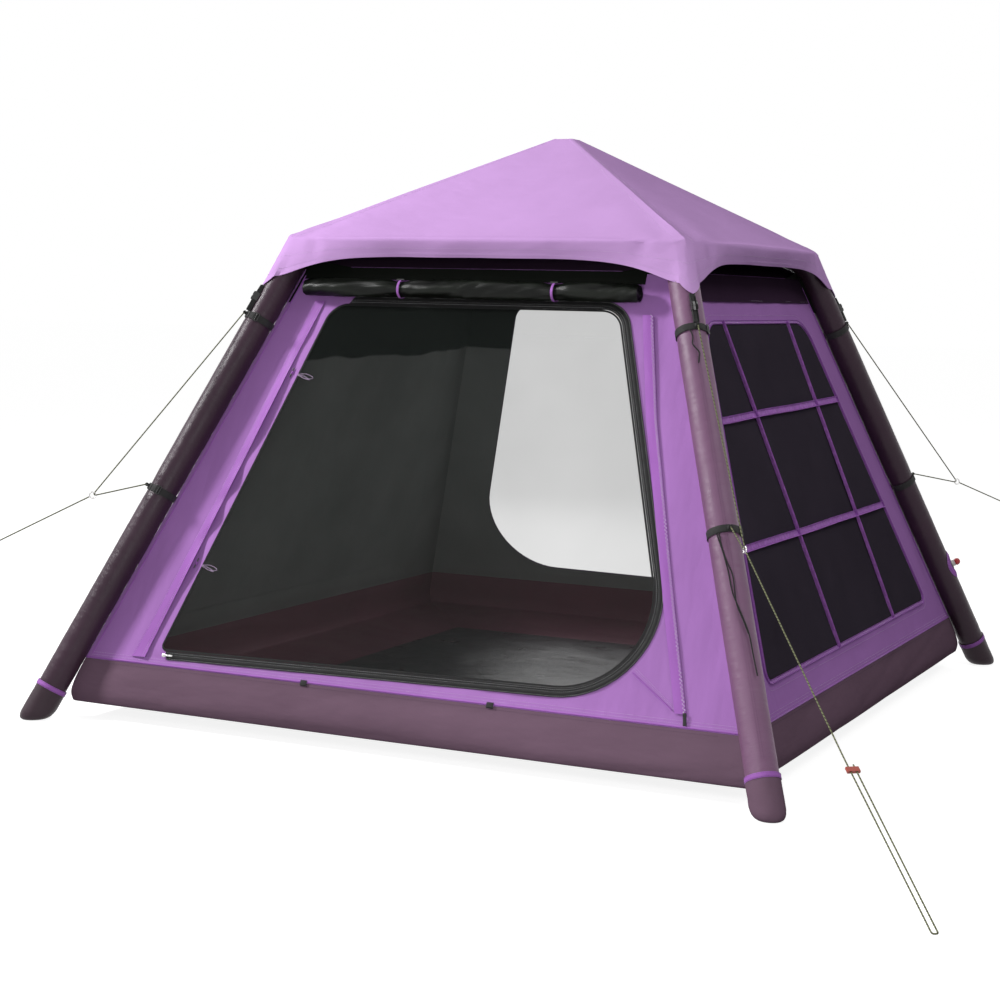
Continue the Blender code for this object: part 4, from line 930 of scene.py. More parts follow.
def braided(name, colour, fleck, radius):
    """Round braid: two sets of strands that cross, with dark flecks."""
    made = Finish(name, colour, 0.7, sheen_weight=0.05, specular_ior_level=0.2)
    flat = made.flat()
    turn = made.mapped(flat, (1, 1, 1), 0.785)
    other = made.mapped(flat, (1, 1, 1), -0.785)
    pitch = radius * 2 * math.pi / 6 * 0.7071
    strands = made.sum(made.bands(turn, pitch), made.bands(other, pitch), "MAXIMUM")
    made.bump(strands, 0.0005, 1.0)
    marks = made.spread(made.bands(turn, pitch * 6), 0.72, 0.85)
    tone = made.blend(strands, made.shade(0.6), made.shade(1.1))
    made.set("Base Color", made.blend(marks, tone, fleck))
    return made.finish()


def moulded(name, colour, roughness=0.38):
    """Moulded plastic: a faint grain and dull scuffs."""
    made = Finish(name, colour, roughness, coat_weight=0.15, coat_roughness=0.25)
    place = made.place()
    made.bump(made.noise(place, 1400.0, 2.0), 0.00008, 0.6)
    scuffs = made.spread(made.noise(place, 120.0, 3.0), 0.55, 0.75, 0.0, 0.35)
    made.set("Base Color", made.blend(scuffs, made.shade(0.94), made.shade(1.2)))
    made.set("Roughness", made.spread(made.noise(place, 70.0, 2.0), 0.3, 0.7, roughness - 0.07,
                                      roughness + 0.1))
    return made.finish()


def polished(name, colour):
    """Steel wire: fine draw marks and dull spots."""
    made = Finish(name, colour, 0.25, metallic=1.0)
    place = made.place()
    made.bump(made.noise(made.mapped(place, (300, 300, 2500)), 1.0, 2.0), 0.00005, 0.5)
    made.set("Roughness", made.spread(made.noise(place, 160.0, 2.0), 0.35, 0.7, 0.18, 0.38))
    return made.finish()


def make_finishes(scene):
    """Every finish, by the name under which the pieces ask for it."""
    c, cloth = scene.tent_colours, scene.tent_cloth
    tone = {name: tuple(getattr(c, name)) for name in TentColours.__annotations__}
    pitch = cloth.weave
    woven("fly_cloth", tone["fly"], 0.42, pitch, ((2.2, 5.0, 0.010), (9, 3, 0.0020)), (0.95, 1.04), 0.06,
          0.0, 0.0)
    woven("fly_lining", tone["band"], 0.55, pitch, ((3, 6, 0.004),), sheen=0.0, shine=0.0)
    woven("wall_cloth", tone["wall"], 0.50, pitch, ((7, 1.6, 0.010), (22, 9, 0.0016)), (0.93, 1.05), 0.08,
          0.0, 0.0)
    # The lining is painted nearly black above this height, as shade under the roof.
    lined_with_painted_shade("wall_lining", tone["lining"], pitch, 1.083)
    # The inner roof's dark cloth, also used on the doorway eave strips and the corner gussets as painted
    # shade under the fly.
    woven("roof_lining_cloth", tone["dark"], 0.60, pitch, ((6, 3, 0.006),), sheen=0.0, shine=0.1)
    woven("trim_cloth", tone["trim"], 0.48, pitch * 0.8, ((9, 14, 0.0025),), sheen=0.0, shine=0.12)
    creases = (16, 34, 0.0022), (5, 10, 0.0030)
    # The sleeve cloth in two copies: the darker one is painted shade, and the lighter one, on the front
    # right sleeve, is painted light.
    woven("sleeve_cloth", tone["plum"], 0.36, pitch, creases, (0.82, 1.16), 0.07, 0.0, 0.20)
    woven("bright_sleeve_cloth", tone["bright_plum"], 0.46, pitch, creases, (0.85, 1.12), 0.07, 0.0, 0.5)
    woven("skirt_cloth", tone["mauve"], 0.46, pitch * 1.4, ((3.0, 9, 0.007), (24, 30, 0.0012)),
          (0.9, 1.06), 0.06, 0.0, 0.0)
    # The foot caps other than the front right one take this darker copy of the skirt colour, painted shade.
    woven("cup_cloth", tone["cup"], 0.42, pitch * 1.4, ((24, 30, 0.0012),), (0.9, 1.1), 0.06, 0.0, 0.2)
    woven("skirt_lining", tone["maroon"], 0.42, pitch, ((4, 8, 0.006),), sheen=0.0, shine=0.2)
    woven("floor_cloth", tone["floor"], 0.34, pitch * 1.4, ((3, 4, 0.010),), (0.85, 1.1), 0.08, 0.0, 0.3)
    woven("dark_cloth", tone["dark"], 0.30, pitch, ((18, 7, 0.006), (40, 30, 0.0012)), (0.7, 1.4), 0.08,
          0.0, 0.16)
    rolled = Finish("rolled_cloth", tone["dark"], 0.32, specular_ior_level=0.16)
    flat = rolled.flat()
    twist = rolled.noise(rolled.mapped(flat, (26, 6, 1), 0.8), 1.0, 0.5, 0.5)
    rolled.bump(twist, 0.020)
    rolled.bump(rolled.noise(rolled.mapped(flat, (60, 16, 1), 0.7), 1.0, 1.0), 0.0016)
    rolled.bump(rolled.bands(flat, pitch), 0.0001, 0.7)
    # Painted highlight and shade: the colour follows the twisted creases, lighter on their crests and darker
    # in their hollows.
    rolled.set("Base Color", rolled.blend(rolled.spread(twist, 0.42, 0.60), rolled.shade(0.5),
                                          rolled.shade(1.5)))
    rolled.finish()
    # Painted shade: the dark cloth of the side walls' eave strips, for the shade under the fly.
    woven("band_cloth", tone["band"], 0.55, pitch, ((12, 5, 0.004),), sheen=0.0, shine=0.0)
    netting("door_netting", tone["mesh"], cloth.mesh_pitch, (0.15, 0.29))
    netting("window_netting", tone["pane"], cloth.mesh_pitch, (0.84, 0.98))
    webbed("strap_webbing", tone["webbing"])
    webbed("zip_tape_cloth", linear(9, 9, 10), 0.0016)
    webbed("trim_webbing", tone["trim"], 0.0015)
    braided("line_braid", tone["cord"], tone["fleck"], scene.tent_sizes.line_radius)
    braided("thin_cord", tuple(value * 0.8 for value in tone["thread"]), tone["band"], 0.0008)
    braided("dark_cord", tone["webbing"], tone["dark"], 0.0012)
    moulded("black_plastic", tone["webbing"], 0.35)
    moulded("runner_plastic", tone["runner"])
    moulded("valve_plastic", tone["valve"], 0.34)
    moulded("lid_plastic", tone["lid"], 0.30)
    polished("ring_steel", (0.62, 0.61, 0.60))
    webbed("light_thread", tone["thread"], 0.0006)
    webbed("dark_thread", tone["band"], 0.0006)
    webbed("grey_thread", linear(196, 196, 198), 0.0006)
    film = Finish("air_film", (0.55, 0.56, 0.58), 0.30, transmission_weight=0.2)
    film.bump(film.noise(film.place(), 14.0, 3.0), 0.003)
    film.finish()


# Repeats, made with Geometry Nodes


def repeat_tree(name, kind):
    """A tree that sets a stitch (kind STITCH) or a zip's tooth (kind TOOTH) along each path."""
    tree = bpy.data.node_groups.new(name, "GeometryNodeTree")
    ask = tree.interface.new_socket
    ask(name="Paths", in_out="INPUT", socket_type="NodeSocketGeometry")
    for label in ("Pitch", "Length", "Width", "Height", "Unevenness"):
        ask(name=label, in_out="INPUT", socket_type="NodeSocketFloat")
    ask(name="Seed", in_out="INPUT", socket_type="NodeSocketInt")
    ask(name="Finish", in_out="INPUT", socket_type="NodeSocketMaterial")
    ask(name="Pieces", in_out="OUTPUT", socket_type="NodeSocketGeometry")

    def node(kind, **settings):
        made = tree.nodes.new(kind)
        for key, value in settings.items():
            setattr(made, key, value)
        return made

    def join(a, b):
        tree.links.new(a, b)

    given, result = node("NodeGroupInput"), node("NodeGroupOutput")
    spaced = node("GeometryNodeResampleCurve", mode="LENGTH")
    join(given.outputs["Paths"], spaced.inputs["Curve"])
    join(given.outputs["Pitch"], spaced.inputs["Length"])
    if kind == "STITCH":
        shape = node("GeometryNodeMeshIcoSphere")
        shape.inputs["Radius"].default_value = 0.5
        shape.inputs["Subdivisions"].default_value = 1
    else:
        shape = node("GeometryNodeMeshCube")
    size = node("ShaderNodeCombineXYZ")
    for label, axis in (("Length", "X"), ("Width", "Y"), ("Height", "Z")):
        join(given.outputs[label], size.inputs[axis])
    tangent, up = node("GeometryNodeInputTangent"), node("GeometryNodeInputNormal")
    first = node("FunctionNodeAlignRotationToVector", axis="Z")
    join(up.outputs[0], first.inputs["Vector"])
    turn = node("FunctionNodeAlignRotationToVector", axis="X",
                pivot_axis="Z" if kind == "TOOTH" else "AUTO")
    join(first.outputs[0], turn.inputs["Rotation"])
    join(tangent.outputs[0], turn.inputs["Vector"])
    uneven = node("FunctionNodeRandomValue", data_type="FLOAT")
    low, high = node("ShaderNodeMath", operation="SUBTRACT"), node("ShaderNodeMath", operation="ADD")
    for maths in (low, high):
        maths.inputs[0].default_value = 1.0
        join(given.outputs["Unevenness"], maths.inputs[1])
    floats = [socket for socket in uneven.inputs if socket.type == "VALUE"]
    join(low.outputs[0], floats[0])
    join(high.outputs[0], floats[1])
    join(given.outputs["Seed"], uneven.inputs["Seed"])
    scale = node("ShaderNodeVectorMath", operation="SCALE")
    join(size.outputs[0], scale.inputs[0])
    join([socket for socket in uneven.outputs if socket.type == "VALUE"][0], scale.inputs["Scale"])
    placed = node("GeometryNodeInstanceOnPoints")
    join(spaced.outputs[0], placed.inputs["Points"])
    join(shape.outputs[0], placed.inputs["Instance"])
    join(turn.outputs[0], placed.inputs["Rotation"])
    join(scale.outputs[0], placed.inputs["Scale"])
    real, finish = node("GeometryNodeRealizeInstances"), node("GeometryNodeSetMaterial")
    join(placed.outputs[0], real.inputs[0])
    join(real.outputs[0], finish.inputs["Geometry"])
    join(given.outputs["Finish"], finish.inputs["Material"])
    join(finish.outputs[0], result.inputs["Pieces"])
    return tree


def repeated(name, kind, paths, sizes, finish, body, seed, smooth=True):
    """The paths' stitches or teeth as one plain mesh."""
    label = {"STITCH": "stitches along seams", "TOOTH": "teeth along a zip"}[kind]
    tree = bpy.data.node_groups.get(label) or repeat_tree(label, kind)
    curve = bpy.data.curves.new(name + "_paths", "CURVE")
    curve.dimensions = "3D"
    for path in paths:
        spline = curve.splines.new("POLY")
        spline.points.add(len(path) - 1)
        spline.points.foreach_set("co", np.column_stack([path, np.ones(len(path))]).ravel())
    source = linked(name + "_paths", curve)
    modifier = source.modifiers.new("repeats", "NODES")
    modifier.node_group = tree
    sockets = {item.name: item.identifier for item in tree.interface.items_tree if item.in_out == "INPUT"}
    values = dict(zip(("Pitch", "Length", "Width", "Height"), sizes), Unevenness=0.08, Seed=seed,
                  Finish=bpy.data.materials[finish])
    for key, value in values.items():
        modifier[sockets[key]] = value
    graph = bpy.context.evaluated_depsgraph_get()
    mesh = bpy.data.meshes.new_from_object(source.evaluated_get(graph), depsgraph=graph)
    bpy.data.objects.remove(source)
    mesh.name = name
    if not len(mesh.polygons):
        raise RuntimeError("no repeats in " + name)
    if not mesh.uv_layers:
        mesh.uv_layers.new(name="cloth")
    else:
        mesh.uv_layers[0].name = "cloth"
    if smooth:
        mesh.shade_smooth()
    return settle(linked(name, mesh), body)


# Camera and guy lines


class TENT_OT_camera(bpy.types.Operator):
    """Sets the camera where the photograph was taken"""

    bl_idname = "tent.camera"
    bl_label = "Camera"

    def execute(self, context):
        yaw, pitch, roll = CAMERA_YAW, CAMERA_PITCH, CAMERA_ROLL
        ahead = Vector((math.sin(yaw) * math.cos(pitch), math.cos(yaw) * math.cos(pitch), math.sin(pitch)))
        right = Vector((math.cos(yaw), -math.sin(yaw), 0))
        up = right.cross(ahead)
        level = right * math.cos(roll) + up * math.sin(roll)
        top = up * math.cos(roll) - right * math.sin(roll)
        data = bpy.data.cameras.new("photo_camera")
        data.lens, data.sensor_width = CAMERA_LENS, 36
        data.clip_start, data.clip_end = 0.1, 200
        camera = linked("photo_camera", data)
        camera.matrix_world = Matrix((level, top, -ahead)).transposed().to_4x4()
        camera.location = CAMERA_PLACE
        context.scene.camera = camera
        return {"FINISHED"}


def bridle_route(tent, corner):
    centre, pull, across = tent.ring_frame(corner)
    rim = centre - pull * RING_RADIUS
    reach = RING_WIRE + tent.sizes.line_radius + LINE_GAP
    bend = arc(rim, pull, across, reach, [math.radians(degrees) for degrees in (80, 40, 0, -40, -80)])
    upper, lower = tent.strap_eye(corner, "upper"), tent.strap_eye(corner, "lower")
    route = [upper, upper.lerp(bend[0], 0.5), *bend, lower.lerp(bend[-1], 0.5), lower]
    return smooth_points(route, (8, 8, 4, 4, 4, 4, 6, 6))


def open_route(tent, corner):
    """From the ring towards a peg beyond the model, to a small eye."""
    centre, pull, across = tent.ring_frame(corner)
    start, end = centre + pull * (RING_RADIUS + RING_WIRE + LINE_GAP), Vector(LINE_ENDS[corner])
    size = RUN_SPREAD / 2
    side = pull.cross(across)
    loop = [end + pull * size + side * size, end + pull * 2 * size, end + pull * size - side * size]
    return smooth_points([start, start.lerp(end, 0.5), end, *loop], (9, 9, 5, 4, 4))


def runner_frame():
    """A frame on the runner: Z runs down the line towards the ground, X across to the returning line."""
    down = (Vector(PEG_PLACE) - Vector(RUNNER_PLACE)).normalized()
    across = Vector((-down.y, down.x, 0)).normalized()
    made = Matrix((across, down.cross(across), down)).transposed().to_4x4()
    made.translation = Vector(RUNNER_PLACE) + across * RUN_SPREAD / 2
    return made


def runner_route(tent):
    """Through the runner, round the peg's place on the ground and back to the runner."""
    made = runner_frame()
    across, down = made.col[0].to_3d(), made.col[2].to_3d()
    centre, pull, _ = tent.ring_frame("front_right")
    start = centre + pull * (RING_RADIUS + RING_WIRE + LINE_GAP)
    place, turn = Vector(RUNNER_PLACE), Vector(PEG_PLACE)
    knee, entry = place - down * RUNNER_KNEE, place - down * RUNNER_LENGTH
    size = RUN_SPREAD / 2
    middle = turn + across * size
    bend = [middle - across * size * math.cos(a) + down * size * math.sin(a)
            for a in (math.pi / 4, math.pi / 2, math.pi * 3 / 4)]
    back = turn + across * RUN_SPREAD
    end = place + across * RUN_SPREAD - down * (RUNNER_LENGTH / 2 + RUNNER_LAP)
    below = [place.lerp(turn, 0.5), turn.lerp(turn - down, RUN_SPREAD)]
    above = [point + across * RUN_SPREAD for point in reversed(below)]
    route = [start, start.lerp(knee, 0.5), knee, entry, *below, turn, *bend, back, *above, end]
    for point in route:
        point.z = max(point.z, tent.sizes.line_radius)
    return smooth_points(route, (9, 9, 2, 8, 8, 2, 4, 3, 3, 4, 2, 8, 9))


class TENT_OT_guy_lines(bpy.types.Operator):
    """Makes the bridles, the main lines and their rings"""

    bl_idname = "tent.guy_lines"
    bl_label = "Guy lines and rings"

    def line(self, tent, name, node, route, far_end, pieces):
        path = as_array(route)
        piece = swept(name, "olive_line", "line_braid", path, round_profile(tent.sizes.line_radius, 12),
                      replaces=[node])

    def ring(self, tent, corner):
        centre, pull, across = tent.ring_frame(corner)
        path = np.array(centre) + RING_RADIUS * circle(pull, across, 48)
        return swept("line_ring_" + corner, "steel", "ring_steel", path, round_profile(RING_WIRE, 14),
                     np.array(pull.cross(across)), replaces=["guy_ring_" + corner], closed=True)

    def wraps(self, name, place, heading, radius):
        """A short lashing wound round a line."""
        turns = 3.5
        line = bpy.context.scene.tent_sizes.line_radius
        heading = Vector(heading).normalized()
        first = heading.orthogonal().normalized()
        second = heading.cross(first)
        steps = np.linspace(0, turns * 2 * math.pi, int(turns * 14))
        path = [place + radius * (first * math.cos(a) + second * math.sin(a))
                + heading * line * 1.7 * (a / 2 / math.pi - turns / 2) for a in steps]
        return swept(name, "olive_line", "line_braid", path, round_profile(line * 0.8, 8))

    def execute(self, context):
        tent = Tent(context.scene)
        radius = tent.sizes.line_radius
        for corner in GUYED:
            ring = self.ring(tent, corner)
            self.line(tent, "line_bridle_" + corner, "guy_bridle_" + corner, bridle_route(tent, corner),
                      "object", [ring])
        for corner in LINE_ENDS:
            route = open_route(tent, corner)
            end = Vector(LINE_ENDS[corner])
            knot = self.wraps("line_knot_" + corner, end, route[19] - route[17], radius * 1.9)
            self.line(tent, "line_main_" + corner, "guy_line_" + corner, route, "knot", [knot])
        route = runner_route(tent)
        self.line(tent, "line_main_front_right", "guy_line_front_right", route, "fitting", ["guy_runner"])
        runner = context.scene.objects["guy_runner"]
        runner.material_slots[0].material = bpy.data.materials["runner_plastic"]
        return {"FINISHED"}


# Air beams


class TENT_OT_air_beams(bpy.types.Operator):
    """Makes the four sleeves, the hub, the foot caps and the air bladder"""

    bl_idname = "tent.air_beams"
    bl_label = "Air beams"

    def sleeve(self, tent, corner, seed):
        """A sleeve with its wrinkles; gives the two rows of its seam."""
        s = tent.sizes
        points, headings, bend, inside = tent.beam_axis(corner, FOOT_HEIGHT, s.hub_reach)
        normal = np.array(tent.beam_normal(corner))
        across = np.cross(headings, normal)
        sides = 44
        turns = np.linspace(0, 2 * math.pi, sides, endpoint=False)
        along = travelled(points)
        around, down = np.meshgrid(turns, along)
        u, v = around * s.beam_radius, down
        depth = tent.cloth.sleeve_crease
        radius = np.full_like(u, s.beam_radius)
        wrap = np.abs(around - math.pi) * s.beam_radius
        patches = 0.5 + 0.5 * ripple(wrap * 9, v * 5, seed + 1)
        radius -= depth * 0.55 * folds(wrap * 26, v * 95, seed) * patches
        radius -= depth * 0.5 * (0.5 + 0.5 * ripple(wrap * 38, v * 30, seed + 2))
        for height in STRAP_HEIGHTS.values():
            place = height / tent.leg_direction(corner).z - FOOT_HEIGHT
            gap = (v - place) / 0.016
            radius -= 0.0012 * np.exp(-gap ** 2)
            gathers = 0.5 + 0.5 * np.cos(around * 15 + 3 * np.sin(around))
            radius -= depth * 0.9 * np.exp(-(gap / 2.4) ** 2) * gathers
        ring = np.cos(around)[..., None] * normal + np.sin(around)[..., None] * across[:, None]
        inward = ring @ np.array(inside)
        middle = (along[bend[0]] + along[bend[1]]) / 2
        pinch = np.exp(-((v - middle) / 0.085) ** 2) * np.clip(inward, 0, 1) ** 1.5
        radius -= 0.0050 * pinch * (0.35 + 0.65 * (0.5 + 0.5 * np.cos(v * 2 * math.pi / 0.021)))
        seam = (wrap - math.pi * s.beam_radius * 0.62) / 0.0035
        radius -= 0.0009 * np.exp(-seam ** 2)
        grid = points[:, None] + ring * radius[..., None]
        heading = np.array(tent.leg_direction(corner))
        level = (FOOT_HEIGHT - grid[0, :, 2]) / heading[2]
        for row in range(7):
            grid[row] += heading * (level * (1 - row / 7))[:, None]
        places = crossed(np.append(turns, 2 * math.pi) * s.beam_radius, along)
        # Painted light: the front right sleeve takes the lighter copy of the cloth, and the others take the
        # darker copy, painted shade.
        finish = "bright_sleeve_cloth" if corner == "front_right" else "sleeve_cloth"
        piece = sheeted("beam_sleeve_" + corner, "plum_cloth", [finish], grid, places, s.sleeve_cloth, ring,
                        replaces=["sleeve_" + corner], loop=True)
        seams = []
        for turn in (math.pi * 0.38 - 0.045, math.pi * 0.38 + 0.045):
            column = int(round(turn / (2 * math.pi) * sides))
            out = ring[10:-4, column] * (radius[10:-4, column, None] + 0.0003)
            seams.append(points[10:-4] + out)
        return seams

    def foot_cap(self, tent, corner):
        """The cup round a foot, with the bright band on its rim; gives the band's two rows of stitches."""
        s = tent.sizes
        along, normal = np.array(tent.leg_direction(corner)), np.array(tent.beam_normal(corner))
        across = np.cross(along, normal)
        turns = np.linspace(0, 2 * math.pi, 48, endpoint=False)
        ring = circle(normal, across, 48)
        rows = []
        profile = [(0.0, 0.35), (0.0, 0.58), (0.0010, 0.70), (0.0045, 0.82), (0.0100, 0.905),
                   (0.0170, 0.965), (0.0260, 1.0)]
        profile += [(0.026 + (s.cap_height - 0.026) * t, 1.0) for t in np.linspace(0.08, 1, 12)]
        for height, share in profile:
            base = np.array(tent.leg_point(corner, height))
            row = base + ring * tent.cap_radius * share
            level = 1 - eased((height - 0.012) / (s.cap_height - 0.012))
            row = row + along * ((height - row[:, 2]) / along[2] * level)[:, None]
            rows.append(row)
        grid = np.array(rows)
        u, v = np.meshgrid(turns * tent.cap_radius, travelled(grid[:, 0]))
        pucker = 0.0009 * folds(u * 60, v * 25, 31) * eased((v - 0.03) / 0.03)
        grid = grid - ring[None] * pucker[..., None]
        around = np.append(turns, 2 * math.pi) * tent.cap_radius
        places = crossed(around, travelled(grid[:, 0]))
        shape = Shape()
        base = shape.grid(grid, places, True)
        inner = np.array([np.array(tent.leg_point(corner, h)) + ring * (s.beam_radius + FITTING_GAP)
                          for h in (s.cap_height, 0.030)])
        low = inner[1]
        inner[1] = low + along * ((0.0285 - low[:, 2]) / along[2])[:, None]
        under = shape.grid(inner, crossed(around, (0, 0.08)), True)
        count, last = len(turns), len(profile) - 1
        shape.bridge([base + last * count + i for i in range(count)], [under + i for i in range(count)],
                     True)
        shape.face(range(base, base + count), ring[:, :2] * 0.02)
        shape.face(range(under + count, under + 2 * count), ring[:, :2] * 0.04)
        # Painted shade: every cap but the front right one takes the darker copy of the cap cloth.
        finish = "skirt_cloth" if corner == "front_right" else "cup_cloth"
        shape.build("foot_cup_" + corner, "tent", [finish], ["foot_cap_" + corner])
        centre = np.array(tent.leg_point(corner, s.cap_height)) - along * 0.0075
        path = centre + ring * (tent.cap_radius + 0.0006)
        swept("foot_band_" + corner, "purple_cloth", "trim_cloth", path, tape_profile(0.0012, 0.015), along,
              closed=True)
        return [np.vstack([line, line[:1]]) for line in
                (centre + along * shift + ring * (tent.cap_radius + 0.0014) for shift in (-0.005, 0.005))]

    def ball(self, tent, margin, cut, rings, sides):
        """The flattened ball between the rafters, less a margin; cut is the angle left flat at the poles."""
        wide, high = (size - margin for size in HUB_BALL)
        tops = np.linspace(cut - math.pi / 2, math.pi / 2 - cut, rings)
        ball = Shape()
        profile = [(wide * math.cos(a), high * math.sin(a)) for a in tops]
        ball.lathe(Matrix.Translation(tent.hub), profile, sides)
        return ball

    def hub(self, tent):
        """The cross: an outer skin less an inner one, each the union of a flattened ball and four arms."""
        s = tent.sizes
        skins = {}
        for margin, label in ((0.0, "outer"), (s.sleeve_cloth, "inner")):
            parts = [self.ball(tent, margin, 0.05, 22, 44)]
            for corner in CORNERS:
                inward = tent.rafter_direction(corner)
                arm = Shape()
                end = s.hub_reach - FITTING_GAP + (0.004 if margin else 0)
                path = [tent.hub - inward * reach for reach in (end, 0.06, 0.012)]
                arm.sweep(as_array(path), round_profile(s.beam_radius - margin, 44),
                          np.array(tent.beam_normal(corner)))
                parts.append(arm)
            skins[label] = united("hub_" + label, parts)
        piece = carved("hub_cross", skins["outer"], [skins["inner"]], "DIFFERENCE")
        cover(piece.data, ["sleeve_cloth"], 35)
        settle(piece, "tent", ["apex_hub"])
        bands = Shape()
        for corner in CORNERS:
            inward = tent.rafter_direction(corner)
            normal = np.array(tent.beam_normal(corner))
            centre = np.array(tent.hub - inward * (s.hub_reach - 0.008))
            across = np.cross(np.array(inward), normal)
            path = centre + (s.beam_radius + 0.0008) * circle(normal, across, 44)
            bands.sweep(path, tape_profile(0.0010, 0.013), np.array(inward), closed=True)
        bands.build("hub_bands", "tent", ["skirt_cloth"])

    def bladder(self, tent):
        """The airtight film inside the sleeves, with a hole for the valve."""
        s = tent.sizes
        margin = s.sleeve_cloth + FITTING_GAP + 0.0012
        parts = [self.ball(tent, margin, 0.08, 12, 28)]
        for corner in CORNERS:
            points = tent.beam_axis(corner, FOOT_HEIGHT + 0.004, 0.012, 0.05)[0]
            tube = Shape()
            tube.sweep(points, round_profile(s.beam_radius - margin - 0.0030, 28),
                       np.array(tent.beam_normal(corner)))
            parts.append(tube)
        film = united("air_film_body", parts)
        hole = Shape()
        hole.lathe(tent.valve_frame() @ Matrix.Translation((0, 0, s.beam_radius - 0.012)),
                   [(0.0116, 0), (0.0116, 0.03)], 24)
        piece = carved("air_film_body", film, [united("valve_hole", [hole])], "DIFFERENCE")
        cover(piece.data, ["air_film"], 35)
        settle(piece, "tent", ["air_bladder"])

    def execute(self, context):
        tent = Tent(context.scene)
        seams = []
        for index, corner in enumerate(CORNERS):
            seams += self.sleeve(tent, corner, tent.cloth.seed + 10 * index)
            seams += self.foot_cap(tent, corner)
        self.hub(tent)
        self.bladder(tent)
        stitches(tent, "beam_stitches", seams, "dark_thread")
        return {"FINISHED"}


def carved(name, item, others, operation):
    """The item joined with the others, or cut by them, as a plain mesh; what went into it is removed."""
    for other in others:
        modifier = item.modifiers.new("work", "BOOLEAN")
        modifier.operation, modifier.solver, modifier.object = operation, "EXACT", other
    graph = bpy.context.evaluated_depsgraph_get()
    mesh = bpy.data.meshes.new_from_object(item.evaluated_get(graph), depsgraph=graph)
    mesh.materials.clear()
    for used in (item, *others):
        bpy.data.objects.remove(used)
    return linked(name, mesh)


def united(name, shapes):
    """Several shapes joined into one."""
    items = [linked(name + "_part", shape.mesh(name + "_part")) for shape in shapes]
    return carved(name, items[0], items[1:], "UNION")


def stitches(tent, name, paths, finish, body="tent", wide=1.0):
    """Rows of stitches along seams."""
    cloth = tent.cloth
    sizes = (cloth.stitch_pitch, cloth.stitch, cloth.thread * wide, cloth.thread)
    return repeated(name, "STITCH", paths, sizes, finish, body, cloth.seed)


# Cabin walls


def wall_lines(tent, side, points, lift):
    """A path on a wall through (u, height) points, respaced."""
    flat = np.array([(u, height / tent.side_cosine(side)) for u, height in points])
    flat = respaced(flat, 0.02)
    return tent.on_wall(side, flat[:, 0], flat[:, 1], lift)


def window_run(tent, side, amount, lift, closed=True):
    """A path on a wall round its window, an amount outside the window's edge."""
    path = respaced(tent.window_outline(side, -amount), 0.012, True)
    path = tent.on_wall(side, path[:, 0], path[:, 1], lift)
    return np.vstack([path, path[:1]]) if closed else path


